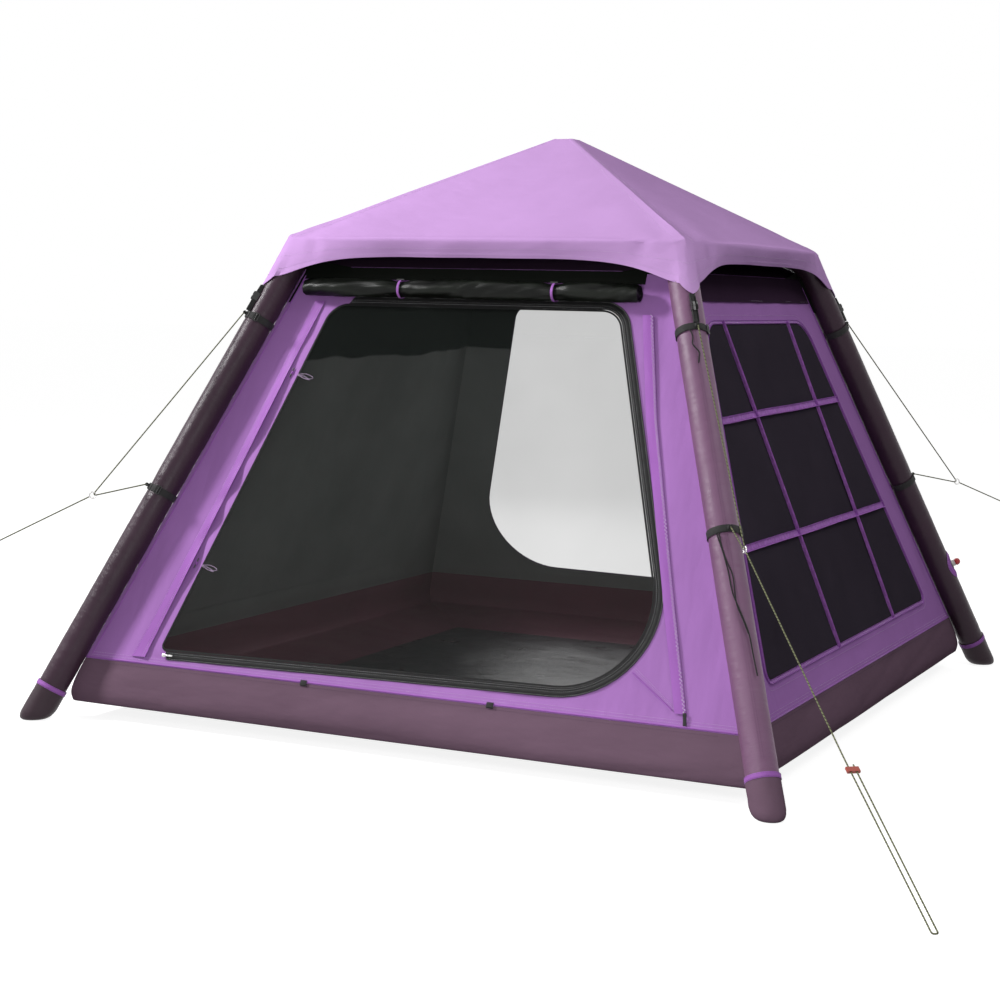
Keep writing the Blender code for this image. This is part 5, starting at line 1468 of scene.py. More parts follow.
class TENT_OT_walls(bpy.types.Operator):
    """Makes the four walls, with their piping, gussets, seams and dark eave strips of painted shade"""

    bl_idname = "tent.walls"
    bl_label = "Cabin walls"

    def panel(self, tent, side, seed):
        """A wall round its doorway or window, with soft folds."""
        outer = tent.wall_outline(side)
        opening = tent.door_outline(side) if side in ("front", "back") else tent.window_outline(side)
        inner = respaced(opening, 0.016, True)
        centre = inner.mean(0)
        turns = np.arctan2(*(inner - centre).T[::-1])
        turns = np.sort(np.concatenate([turns, np.arctan2(*(outer - centre).T[::-1])]))
        headings = np.stack([np.cos(turns), np.sin(turns)], axis=1)
        near, far = (reach_to(outline, centre, headings) for outline in (opening, outer))
        share = np.linspace(0, 1, 20)[:, None]
        distance = near + (far - near) * share
        flat = centre + headings[None] * distance[..., None]
        u, slant = flat[..., 0], flat[..., 1]
        span = far - near
        free = eased(share * span / 0.045) * eased((1 - share) * span / 0.06)
        soft = 0.55 + 0.45 * ripple(u * 26, slant * 5, seed)
        soft = soft - 0.55 * folds(u * 11 + slant * 3, slant * 2.5, seed + 1)
        lift = -tent.cloth.wall_crease * free * np.clip(1 - soft, 0, 1.6)
        grid = tent.on_wall(side, u, slant, lift)
        piece = sheeted("cabin_" + side, "purple_cloth", ["wall_cloth", "wall_lining"], grid,
                        flat_places(u, slant, True), WALL_SHEET, np.array(tent.side_normal(side)),
                        replaces=["wall_" + side], loop=True, sides=(0, 1))
        declare_sheet(grid)

    def strip(self, tent, side, name, heights, lift, thickness, finish, slot, waves=0.0, ends=None,
              beyond=0.0):
        """A cloth strip across a wall, between two heights."""
        cosine = tent.side_cosine(side)
        slants = np.linspace(heights[0] / cosine, heights[1] / cosine, 6)
        rows = []
        for slant in slants:
            half = tent.half_width(side, slant * cosine, tent.wall_depth) - 2 * SEAM_GAP + beyond
            rows.append(np.linspace(*(ends or (-half, half)), 80))
        u = np.array(rows)
        slant = np.repeat(slants[:, None], 80, 1)
        drape = waves * (0.5 + 0.5 * ripple(u * 24, slant * 8, 5)) * eased((u.max() - np.abs(u)) / 0.1)
        grid = tent.on_wall(side, u, slant, lift + thickness + drape)
        sheeted(name, slot, [finish], grid, flat_places(u, slant), thickness,
                np.array(tent.side_normal(side)))

    def piping(self, tent, side):
        """The bright piping where the wall meets the skirt."""
        half = tent.half_width(side, tent.sizes.skirt_height, tent.wall_depth) - 0.004
        path = wall_lines(tent, side, ((-half, PIPING_HEIGHT), (half, PIPING_HEIGHT)), 0.0012)
        swept("hem_piping_" + side, "purple_cloth", "trim_cloth", path, round_profile(0.0021, 8))

    def gussets(self, tent, side):
        """Small cloths that fill the angles between the wall's top and the bends of the beams; their dark
        cloth is partly painted shade under the fly.
        """
        shape = Shape()
        cosine = tent.side_cosine(side)
        half = tent.half_width(side, 1.424, tent.wall_depth) + 0.010
        share = np.linspace(0, 1, 8)
        low, inner_top, outer_top = GUSSET_HEIGHTS
        top = inner_top + (outer_top - inner_top) * (1 - share)
        slant = np.array([low + (top - low) * row for row in (0, 0.5, 1)]) / cosine
        for sign in (-1, 1):
            u = np.repeat(sign * (half - GUSSET_LENGTH * share)[None], 3, 0)
            grid = tent.on_wall(side, u, slant, 0.0016)
            shape.sheet(grid, flat_places(u, slant), 0.0008, np.array(tent.side_normal(side)))
        shape.build("corner_gussets_" + side, "tent", ["roof_lining_cloth"])

    def corner_piping(self, tent, side):
        """Piping that runs up the wall beside each leg."""
        shape = Shape()
        for sign in (-1, 1):
            ends = []
            for height in (0.20, 1.40):
                half = tent.half_width(side, height, tent.wall_depth)
                ends.append((sign * (half - 0.017), height))
            shape.sweep(wall_lines(tent, side, ends, 0.0013), round_profile(0.0017, 6))
        shape.build("edge_piping_" + side, "tent", ["trim_cloth"])

    def execute(self, context):
        tent = Tent(context.scene)
        rows = []
        for index, side in enumerate(SIDES):
            self.panel(tent, side, tent.cloth.seed + 20 + index * 5)
            # The dark eave strips are painted shade under the fly; over a doorway the strip runs from the
            # corner to the roll's end in the inner roof's dark cloth.
            heights, finish, ends = WINDOW_EAVE_SHADE, "band_cloth", None
            if side in ("front", "back"):
                heights, finish = DOOR_EAVE_SHADE, "roof_lining_cloth"
                ends = (2 * SEAM_GAP - tent.half_width(side, heights[1], tent.wall_depth), ROLL_ENDS[1])
            self.strip(tent, side, "eave_band_" + side, heights, 0.0004, 0.0010, finish, "plum_cloth",
                       0.002, ends)
            self.strip(tent, side, "eave_lining_" + side, EAVE_LINING, -0.0135, 0.0008, "roof_lining_cloth",
                       "black_cloth", 0.0, None, 0.016)
            self.piping(tent, side)
            self.corner_piping(tent, side)
            self.gussets(tent, side)
            if not ends:
                low = heights[0] + 0.005
                half = tent.half_width(side, low, tent.wall_depth) - 0.02
                rows.append(wall_lines(tent, side, ((-half, low), (half, low)), 0.0018))
            for height in (0.197, 0.205):
                half = tent.half_width(side, height, tent.wall_depth) - 0.02
                rows.append(wall_lines(tent, side, ((-half, height), (half, height)), 0.0003))
        stitches(tent, "wall_stitches", rows, "light_thread")
        return {"FINISHED"}


class TENT_OT_trim(bpy.types.Operator):
    """Makes the flaps and the gusset seam beside the front doorway"""

    bl_idname = "tent.trim"
    bl_label = "Flaps and gusset"

    def execute(self, context):
        tent = Tent(context.scene)
        cosine = tent.side_cosine("front")
        normal = np.array(tent.side_normal("front"))
        # The storm flap is sewn along its outer edge, and free and wavy beside the door
        sewn = respaced(np.array(FLAP_SEAM), 0.010)
        height = sewn[:, 1]
        (low_u, low), (high_u, high) = DOOR_CORNERS[0], DOOR_CORNERS[3]
        free = high_u - (high - height) * (high_u - low_u) / (high - low) - FLAP_GAP
        across = np.linspace(0, 1, 14)
        slant = np.repeat(height[:, None] / cosine, 14, 1)
        down = eased((slant.max() - slant) * 4)
        wave = 0.5 + 0.5 * np.sin(slant * 30 + 2.6 * np.sin(slant * 8.5) + 0.6)
        u = sewn[:, :1] + (free - sewn[:, 0])[:, None] * across + 0.008 * (wave - 0.35) * across ** 2 * down
        lift = 0.0012 + across ** 1.5 * (0.003 + 0.011 * wave) * down
        lift = lift + 0.0022 * np.sin(across * math.pi) * (0.5 + 0.5 * ripple(u * 30, slant * 16, 3))
        grid = tent.on_wall("front", u, slant, lift)
        flap = sheeted("storm_flap", "purple_cloth", ["trim_cloth"], grid, flat_places(u, slant), 0.0010,
                       normal)
        declare_sheet(grid)
        rows = [grid[1:-1, 10] + normal * 0.0004, grid[1:-1, 1] + normal * 0.0004]
        # Right of the door, a flat welt with a zigzag seam
        seam = respaced(np.array(WELT_SEAM), 0.015)
        share = np.linspace(0, 1, 9)
        u = seam[:, :1] - 0.029 + 0.034 * share
        slant = np.repeat(seam[:, 1:] / cosine, 9, 1)
        lift = 0.0012 + 0.0026 * np.sin(share * math.pi) * (0.55 + 0.45 * ripple(u * 9, slant * 22, 9))
        grid = tent.on_wall("front", u, slant, lift)
        sheeted("seam_welt", "purple_cloth", ["trim_cloth"], grid, flat_places(u, slant), 0.0009, normal)
        zigzag = respaced(seam, 0.0055)
        side_step = np.where(np.arange(len(zigzag)) % 2, 0.0044, -0.0034)
        path = tent.on_wall("front", zigzag[:, 0] + side_step, zigzag[:, 1] / cosine, 0.0024)
        swept("zigzag_seam", "purple_cloth", "light_thread", path, round_profile(0.0013, 6), normal)
        across, height = np.array(SEAM_TAIL).T
        tail = tent.on_wall("front", across, height / cosine, 0.0042)
        swept("seam_tail", "dark_webbing", "strap_webbing", tail, tape_profile(0.0012, 0.010),
              np.array((1, 0, 0)))
        # A raised seam runs from the zip's round corner to the leg
        path = wall_lines(tent, "front", GUSSET_SEAM, 0.0006)
        swept("gusset_seam", "purple_cloth", "trim_cloth", path, round_profile(0.0019, 8))
        for shift in (0.004, 0.008):
            rows.append(wall_lines(tent, "front", ((0.737 + shift, 0.3165 + shift),
                                                   (0.872, 0.2295 + shift)), 0.0004))
        stitches(tent, "flap_stitches", rows, "light_thread")
        return {"FINISHED"}


# Skirts, floor and inner roof


class TENT_OT_floor(bpy.types.Operator):
    """Makes the skirts and the groundsheet"""

    bl_idname = "tent.floor"
    bl_label = "Skirts and groundsheet"

    def profile(self, tent):
        """(height, depth) points of a skirt, from its seam down and in under the wall."""
        s = tent.sizes
        cap_top = s.cap_height + tent.cap_radius * tent.leg_outward("front_right").z
        points = [(s.skirt_height - 0.0004, tent.wall_depth), (cap_top, tent.cap_depth)]
        for height_share, depth_share in SKIRT_FOLD:
            points.append((s.skirt_height * height_share, tent.cap_depth + SKIRT_REACH * depth_share))
        points.append((0.0, tent.cap_depth + SKIRT_REACH))
        points = [Vector((height, depth, 0)) for height, depth in points]
        return as_array(smooth_points(points, (7, 4, 3, 3, 6, 6, 4)))[:, :2]

    def skirt(self, tent, side, seed):
        """A skirt between two legs; gives the row of stitches along its top."""
        profile = self.profile(tent)
        first, last = SIDE_ENDS[side]
        run = np.array(tent.side_run(side))
        share = np.linspace(0, 1, 150)
        rows = []
        for height, depth in profile:
            start = np.array(tent.corner_point(first, height, depth)) + run * SEAM_GAP
            end = np.array(tent.corner_point(last, height, depth)) - run * SEAM_GAP
            rows.append(start + (end - start) * share[:, None])
        grid = np.array(rows)
        u = grid @ run
        v = np.repeat(travelled(profile)[:, None], len(share), 1)
        out = np.array(tent.side_normal(side))
        ends = eased(np.minimum(share, 1 - share) * 2.4 / 0.10)
        body = eased(v / 0.02) * eased((0.20 - v) / 0.05) * ends
        drape = 0.0035 * body * (0.5 + 0.5 * ripple(u * 7, v * 42, seed))
        drape = drape + 0.0030 * body * folds(u * 3.2 + v * 16, v * 9, seed + 1)
        grid = grid - out * drape[..., None]
        shape = Shape()
        facing = [out * (0.25 - depth) + np.array((0, 0, height - 0.2)) for height, depth in profile]
        shape.sheet(grid, flat_places(u, v), tent.sizes.wall_cloth * 0.8, np.array(facing)[:, None], False,
                    (0, 1))
        shape.points = [(x, y, max(z, 0.0)) for x, y, z in shape.points]
        piece = shape.build("base_skirt_" + side, "tent", ["skirt_cloth", "skirt_lining"],
                            ["skirt_" + side])
        declare_sheet(grid)
        return [grid[1, 6:-6] + out * 0.0003]

    def groundsheet(self, tent):
        """The floor, sewn to the skirts' lower edges."""
        s = tent.sizes
        edge = tent.cap_depth + SKIRT_REACH + SEAM_GAP
        corner = tent.corner_point("back_right", 0, edge)
        x, y = np.meshgrid(np.linspace(-corner.x, corner.x, 70), np.linspace(-corner.y, corner.y, 76))
        free = eased((corner.x - np.abs(x)) / 0.1) * eased((corner.y - np.abs(y)) / 0.1)
        z = s.wall_cloth + free * 0.0035 * (folds(x * 4, y * 3, 12) + 0.6 * folds(x * 9 + y * 3, y * 7, 14))
        grid = np.stack([x, y, z], axis=-1)
        shape = Shape()
        base = shape.grid(grid, flat_places(x, y))
        under = shape.grid(np.stack([x, y, 0 * x], axis=-1), flat_places(x, y))
        rows, columns = x.shape
        for edge_row in (range(0, columns), range((rows - 1) * columns, rows * columns),
                         range(0, rows * columns, columns), range(columns - 1, rows * columns, columns)):
            shape.bridge([base + i for i in edge_row], [under + i for i in edge_row], False)
        piece = shape.build("cabin_floor", "tent", ["floor_cloth"], ["groundsheet"])
        declare_sheet(grid)

    def tabs(self, tent):
        """Small webbing tabs in the seam over the front skirt."""
        shape = Shape()
        for u in (-0.292, 0.326):
            flat = np.array([(0.1915, 0.0004), (0.1930, 0.0046), (0.1870, 0.0054), (0.1800, 0.0042),
                             (0.1780, 0.0010)])
            path = tent.on_wall("front", np.full(5, u), flat[:, 0] / tent.side_cosine("front"), flat[:, 1])
            shape.sweep(path, tape_profile(0.0012, 0.022)[:, ::-1], np.array(tent.side_normal("front")))
        shape.build("skirt_tabs", "tent", ["strap_webbing"])

    def execute(self, context):
        tent = Tent(context.scene)
        rows = []
        for index, side in enumerate(SIDES):
            rows += self.skirt(tent, side, tent.cloth.seed + 50 + index * 4)
        self.groundsheet(tent)
        self.tabs(tent)
        stitches(tent, "skirt_stitches", rows, "dark_thread")
        return {"FINISHED"}


class TENT_OT_inner_roof(bpy.types.Operator):
    """Makes the inner roof under the rafters"""

    bl_idname = "tent.inner_roof"
    bl_label = "Inner roof"

    def execute(self, context):
        tent = Tent(context.scene)
        s = tent.sizes
        rim = s.wall_top + FITTING_GAP
        corners = [np.array(tent.corner_point(corner, rim, tent.wall_depth))
                   for corner in ("front_left", "front_right", "back_right", "back_left")]
        per = 30
        steps = np.arange(per)[:, None]
        edge = np.concatenate([corners[i] + (corners[(i + 1) % 4] - corners[i]) * steps / per
                               for i in range(4)])
        apex = np.array((0, 0, s.roof_apex))
        share = np.linspace(0, 0.985, 26)[:, None, None]
        grid = edge[None] + (apex - edge[None]) * share
        place = np.tile(np.arange(per) / per, 4)[None]
        sag = 0.012 * np.sin(place * math.pi) * np.sin(np.clip(share[..., 0], 0, 1) * math.pi)
        grid[..., 2] -= sag * (1 + 0.3 * ripple(grid[..., 0] * 9, grid[..., 1] * 9, 4))
        places = flat_places(grid[..., 0], grid[..., 1] + grid[..., 2], True)
        # The top face takes the dark cloth of the eave strips, painted shade under the fly.
        piece = sheeted("roof_lining", "plum_cloth", ["band_cloth", "roof_lining_cloth"], grid, places,
                        WALL_SHEET, np.array((0, 0, 1)), replaces=["inner_roof"], loop=True,
                        sides=(0, 1), heart=-1)
        declare_sheet(grid)
        return {"FINISHED"}


# Doorways


def mesh_cloth(tent, side, outline, name, body, finish, nodes, sag, seed, depth=0.0006, slot="black_mesh"):
    """A mesh panel in a wall: rings of points from its middle to its outline, sagging inwards a little."""
    edge = respaced(outline, 0.016, True)
    centre = edge.mean(0)
    share = np.linspace(0.02, 1, 30)[:, None, None]
    flat = centre + (edge - centre)[None] * share
    u, slant = flat[..., 0], flat[..., 1]
    free = eased((1 - share[..., 0]) / 0.25)
    depth = -depth - sag * free * (0.6 + 0.4 * ripple(u * 5, slant * 5, seed))
    depth = depth - sag * 0.8 * free * folds(u * 3 + slant * 3, slant * 2 - u * 2, seed + 1)
    grid = tent.on_wall(side, u, slant, depth)
    piece = sheeted(name, slot, [finish], grid, flat_places(u, slant, True), MESH_SHEET,
                    np.array(tent.side_normal(side)), body, nodes, loop=True, heart=0)
    declare_sheet(grid)


class TENT_OT_doors(bpy.types.Operator):
    """Makes the front mesh door, the zips and the two toggles"""

    bl_idname = "tent.doors"
    bl_label = "Mesh door, zip and toggles"

    def binding(self, tent, amounts):
        """The mesh door's binding, which follows the inside of its outline."""
        outer = tent.door_outline("front", amounts)
        inner = tent.door_outline("front", tuple(amount + BINDING_WIDTH for amount in amounts))
        lines = [outer + (inner - outer) * share for share in (0, 0.5, 1)]
        lengths = np.linalg.norm(np.roll(outer, -1, 0) - outer, axis=1)
        spans = np.maximum(1, np.ceil(lengths / 0.02).astype(int))
        rows = []
        for line in lines:
            ahead = np.roll(line, -1, 0)
            rows.append(np.concatenate([line[i] + (ahead[i] - line[i]) * np.arange(n)[:, None] / n
                                        for i, n in enumerate(spans)]))
        flat = np.array(rows)
        grid = tent.on_wall("front", flat[..., 0], flat[..., 1], 0.0007)
        sheeted("mesh_binding", "dark_webbing", ["zip_tape_cloth"], grid,
                flat_places(flat[..., 0], flat[..., 1], True), 0.0010, np.array(tent.side_normal("front")),
                "mesh_door", loop=True)

    def zip_rows(self, tent, side, amounts, step=0.02):
        """Matching paths round the doorway's free edges, one for each distance outside it."""
        lines = []
        for amount in amounts:
            outline = tent.door_outline(side, (-amount,) * 3 + (-ZIP_EDGE,))
            lines.append(outline[ROUND_STEPS:3 * ROUND_STEPS + 4])
        middle = lines[len(lines) // 2]
        spans = np.maximum(1, np.ceil(np.linalg.norm(np.diff(middle, axis=0), axis=1) / step).astype(int))
        rows = []
        for line in lines:
            parts = [line[i] + (line[i + 1] - line[i]) * np.arange(n)[:, None] / n
                     for i, n in enumerate(spans)]
            rows.append(np.concatenate([*parts, line[-1:]]))
        return np.array(rows)

    def zip_tape(self, tent, side, name, replaces):
        """The tape round a doorway's free edges, with its teeth and its three rows of stitches."""
        width = tent.sizes.zip_width
        amounts = np.linspace(ZIP_EDGE - DOOR_CLEARANCE, ZIP_EDGE + width, 7)
        flat = self.zip_rows(tent, side, amounts)
        arch = np.array([0, 0.25, 0.45, 0.5, 0.45, 0.25, 0])[:, None] * 0.0012
        grid = tent.on_wall(side, flat[..., 0], flat[..., 1], 0.0010 + arch)
        along = np.repeat(travelled(grid[3])[None], 7, 0)
        places = flat_places(along, np.repeat(amounts[:, None], grid.shape[1], 1))
        sheeted(name, "black_cloth", ["zip_tape_cloth"], grid, places, 0.0007,
                np.array(tent.side_normal(side)), replaces=replaces)
        cloth = tent.cloth
        middle = self.zip_rows(tent, side, [ZIP_EDGE + width / 2], 0.01)[0]
        path = tent.on_wall(side, middle[:, 0], middle[:, 1], 0.0019)
        teeth = cloth.tooth_pitch, cloth.tooth_pitch * 0.55, 0.0048, 0.0010
        repeated(name + "_teeth", "TOOTH", [path], teeth, "black_plastic", "tent",
                 cloth.seed, False)
        rows = []
        for amount in (ZIP_EDGE + 0.0022, ZIP_EDGE + width * 0.36, ZIP_EDGE + width - 0.0030):
            line = self.zip_rows(tent, side, [amount], 0.01)[0]
            rows.append(tent.on_wall(side, line[:, 0], line[:, 1], 0.0013))
        stitches(tent, name + "_stitches", rows, "grey_thread", "tent", 1.3)

    def slider(self, tent):
        """The slider's body, its bridge and its pull."""
        corners = inset(tent.slanted("front", DOOR_CORNERS),
                        (-ZIP_EDGE - tent.sizes.zip_width / 2, 0, 0, 0))
        place = corners[0] + (corners[1] - corners[0]).normalized() * 0.030
        start, end = (Vector(tent.on_wall("front", *corners[index])) for index in (0, 1))
        run, out = (end - start).normalized(), tent.side_normal("front")
        centre = Vector(tent.on_wall("front", *place))
        up = run.cross(out)
        low = 0.0035
        shape = Shape()
        for base, height, size in ((low, 0.0014, 1.0), (low + 0.0022, 0.0013, 0.92)):
            outline = [(x * 0.001 * size, y * 0.001 * size) for x, y in SLIDER_OUTLINE]
            levels = (base, 0.9), (base + 0.0003, 1), (base + height - 0.0003, 1), (base + height, 0.9)
            rings = [[centre + run * x * k + up * y * k + out * lift for x, y in outline]
                     for lift, k in levels]
            grid = np.array([as_array(ring) for ring in rings])
            places = flat_places(grid[..., 0], grid[..., 2], True)
            first = shape.grid(grid, places, True)
            shape.face(range(first, first + 10), outline)
            shape.face(range(first + 30, first + 40), outline)
        post = [centre + run * 0.002 + out * lift for lift in (low + 0.001, low + 0.0026)]
        shape.sweep(as_array(post), tape_profile(0.003, 0.003), np.array(up))
        bridge = [centre + run * x + out * (low + z) for x, z in
                  ((-0.005, 0.0030), (-0.004, 0.0046), (0.0, 0.0052), (0.004, 0.0046), (0.005, 0.0030))]
        shape.sweep(as_array(bridge), tape_profile(0.0022, 0.0010)[:, ::-1], np.array(out))
        pull = [centre + run * x + out * (low + z) for x, z in
                ((0.003, 0.0042), (0.009, 0.0040), (0.018, 0.0032), (0.028, 0.0026), (0.031, 0.0025))]
        shape.sweep(as_array(pull), tape_profile(0.0012, 0.0055), np.array(up),
                    sizes=(0.7, 0.8, 1, 1, 0.7))
        shape.build("zip_runner", "zip_pull", ["ring_steel"], ["zip_slider"])

    def toggles(self, tent):
        """The bars on the door's sewn edge, and the cord loops on the mesh that they hold."""
        for name, height in TOGGLE_HEIGHTS.items():
            hinge = tent.hinge_frame("front")
            up, aside, out = (hinge.col[index].to_3d() for index in (2, 0, 1))
            centre = hinge.translation + up * (height - hinge.translation.z) / up.z
            centre += aside * (TOGGLE_INSET + TOGGLE_REACH)
            bar = Shape()
            lifts = np.linspace(-1, 1, 15)
            path = [centre + out * 0.0026 + up * 0.018 * place for place in lifts]
            sizes = np.sqrt(np.clip(1 - np.abs(lifts) ** 6, 0.08, 1))
            sizes = sizes * (1 - 0.12 * np.cos(lifts * math.pi / 2))
            bar.sweep(as_array(path), round_profile(0.0022, 14), sizes=sizes)
            wrap = [centre + out * (0.0026 + 0.0026 * math.sin(a)) + aside * 0.0026 * math.cos(a)
                    for a in np.linspace(-0.2, math.pi + 0.2, 12)]
            bar.sweep(as_array(wrap), tape_profile(0.0008, 0.010), np.array(up), finish=1)
            tongue = [centre + aside * x + out * lift for x, lift in
                      ((-0.0055, 0.0010), (-0.003, 0.0012), (0.0, 0.0008), (0.004, 0.0008))]
            bar.sweep(as_array(tongue), tape_profile(0.0009, 0.011), np.array(up), finish=1)
            bar.build("toggle_" + name, name + "_toggle", ["black_plastic", "trim_webbing"],
                      ["door_toggle_" + name])
            loops = Shape()
            root = centre - aside * (TOGGLE_INSET + TOGGLE_REACH + 0.003)
            run = tent.side_run("front")
            rise = Vector(out).cross(run)
            turns = np.linspace(0, math.pi, 26)
            for reach, wide, fall in ((0.058, 0.0085, 0.16), (0.047, 0.0035, 0.34)):
                path = []
                for turn in turns:
                    x = reach * math.sin(turn) ** 0.7
                    z = wide * math.cos(turn) * min(1.0, math.sin(turn) * 2.2 + 0.25) - fall * x
                    path.append(root + run * x + rise * z + out * 0.0030)
                loops.sweep(as_array(path), round_profile(0.0013, 6))
            loops.build("door_loop_" + name, "mesh_door", ["thin_cord"])

    def execute(self, context):
        tent = Tent(context.scene)
        amounts = (DOOR_CLEARANCE, DOOR_CLEARANCE, DOOR_CLEARANCE, HINGE_CLEARANCE)
        mesh_cloth(tent, "front", tent.door_outline("front", amounts), "mesh_panel", "mesh_door",
                   "door_netting", ["door_mesh"], 0.004, 2)
        self.binding(tent, amounts)
        self.zip_tape(tent, "front", "zip_tape", ["door_zipper"])
        self.zip_tape(tent, "back", "back_zip_tape", [])
        self.slider(tent)
        self.toggles(tent)
        return {"FINISHED"}


# Windows


class TENT_OT_windows(bpy.types.Operator):
    """Makes the two mesh windows with their tapes"""

    bl_idname = "tent.windows"
    bl_label = "Windows"

    def execute(self, context):
        tent = Tent(context.scene)
        rows = []
        for side in ("left", "right"):
            cosine = tent.side_cosine(side)
            sign = 1 if side == "right" else -1
            mesh_cloth(tent, side, tent.window_outline(side, SEAM_GAP), "window_panel_" + side, "tent",
                       "window_netting", ["window_mesh_" + side], 0.003, 8)
            mesh_cloth(tent, side, tent.window_outline(side, -0.014), "window_curtain_" + side, "tent",
                       "wall_lining", [], 0.004, 12, 0.0085, "black_cloth")
            tapes = Shape()
            normal = np.array(tent.side_normal(side))
            (low_half, low), (top_half, top) = WINDOW_CORNERS[1:3]
            lean = (low_half - top_half) / (top - low)

            def tape(start, end, width, lift, seed):
                flat = np.array([(start[0], start[1] / cosine), (end[0], end[1] / cosine)])
                line = respaced(flat, 0.015)
                run = unit(line[-1] - line[0])
                share = np.linspace(0, 1, len(line))
                sway = 0.0022 * np.sin(share * math.pi) * ripple(share * 9, share * 0, seed)
                line = line + sway[:, None] * np.array((-run[1], run[0]))
                slack = 0.6 + 0.4 * ripple(share * 14, share * 0, seed + 1)
                drape = 0.0016 * np.sin(share * math.pi) * slack
                path = tent.on_wall(side, line[:, 0], line[:, 1], lift + drape)
                tapes.sweep(path, tape_profile(width, 0.0011), normal)
                across = np.cross(unit(path[-1] - path[0]), normal)
                for shift in (-1, 1):
                    rows.append(path[1:-1] + across * shift * (width / 2 - 0.0022) + normal * 0.0007)

            for index, height in enumerate(WINDOW_BARS):
                half = low_half - lean * (height - low) + 0.008
                fall = (0.0, 0.020)[index] * sign
                start, end = (-half, height - max(fall, 0)), (half, height + min(fall, 0))
                tape(start, end, 0.022, 0.0010, 40 + index)
            for index, (low_u, top_u) in enumerate(WINDOW_UPRIGHTS):
                tape((low_u * sign, low - 0.008), (top_u * sign, top + 0.008), 0.012, 0.0023, 50 + index)
            tapes.build("window_tapes_" + side, "tent", ["trim_webbing"],
                        ["window_grid_" + side])
            outline = window_run(tent, side, 0.006, 0.0008, False)
            swept("window_binding_" + side, "purple_cloth", "trim_cloth", outline,
                  tape_profile(0.011, 0.0010), normal, closed=True)
            rows += [window_run(tent, side, amount, 0.0015) for amount in (0.003, 0.009)]
            rows.append(window_run(tent, side, 0.030, 0.0002))
        stitches(tent, "window_stitches", rows, "light_thread")
        return {"FINISHED"}


# Rolled doors


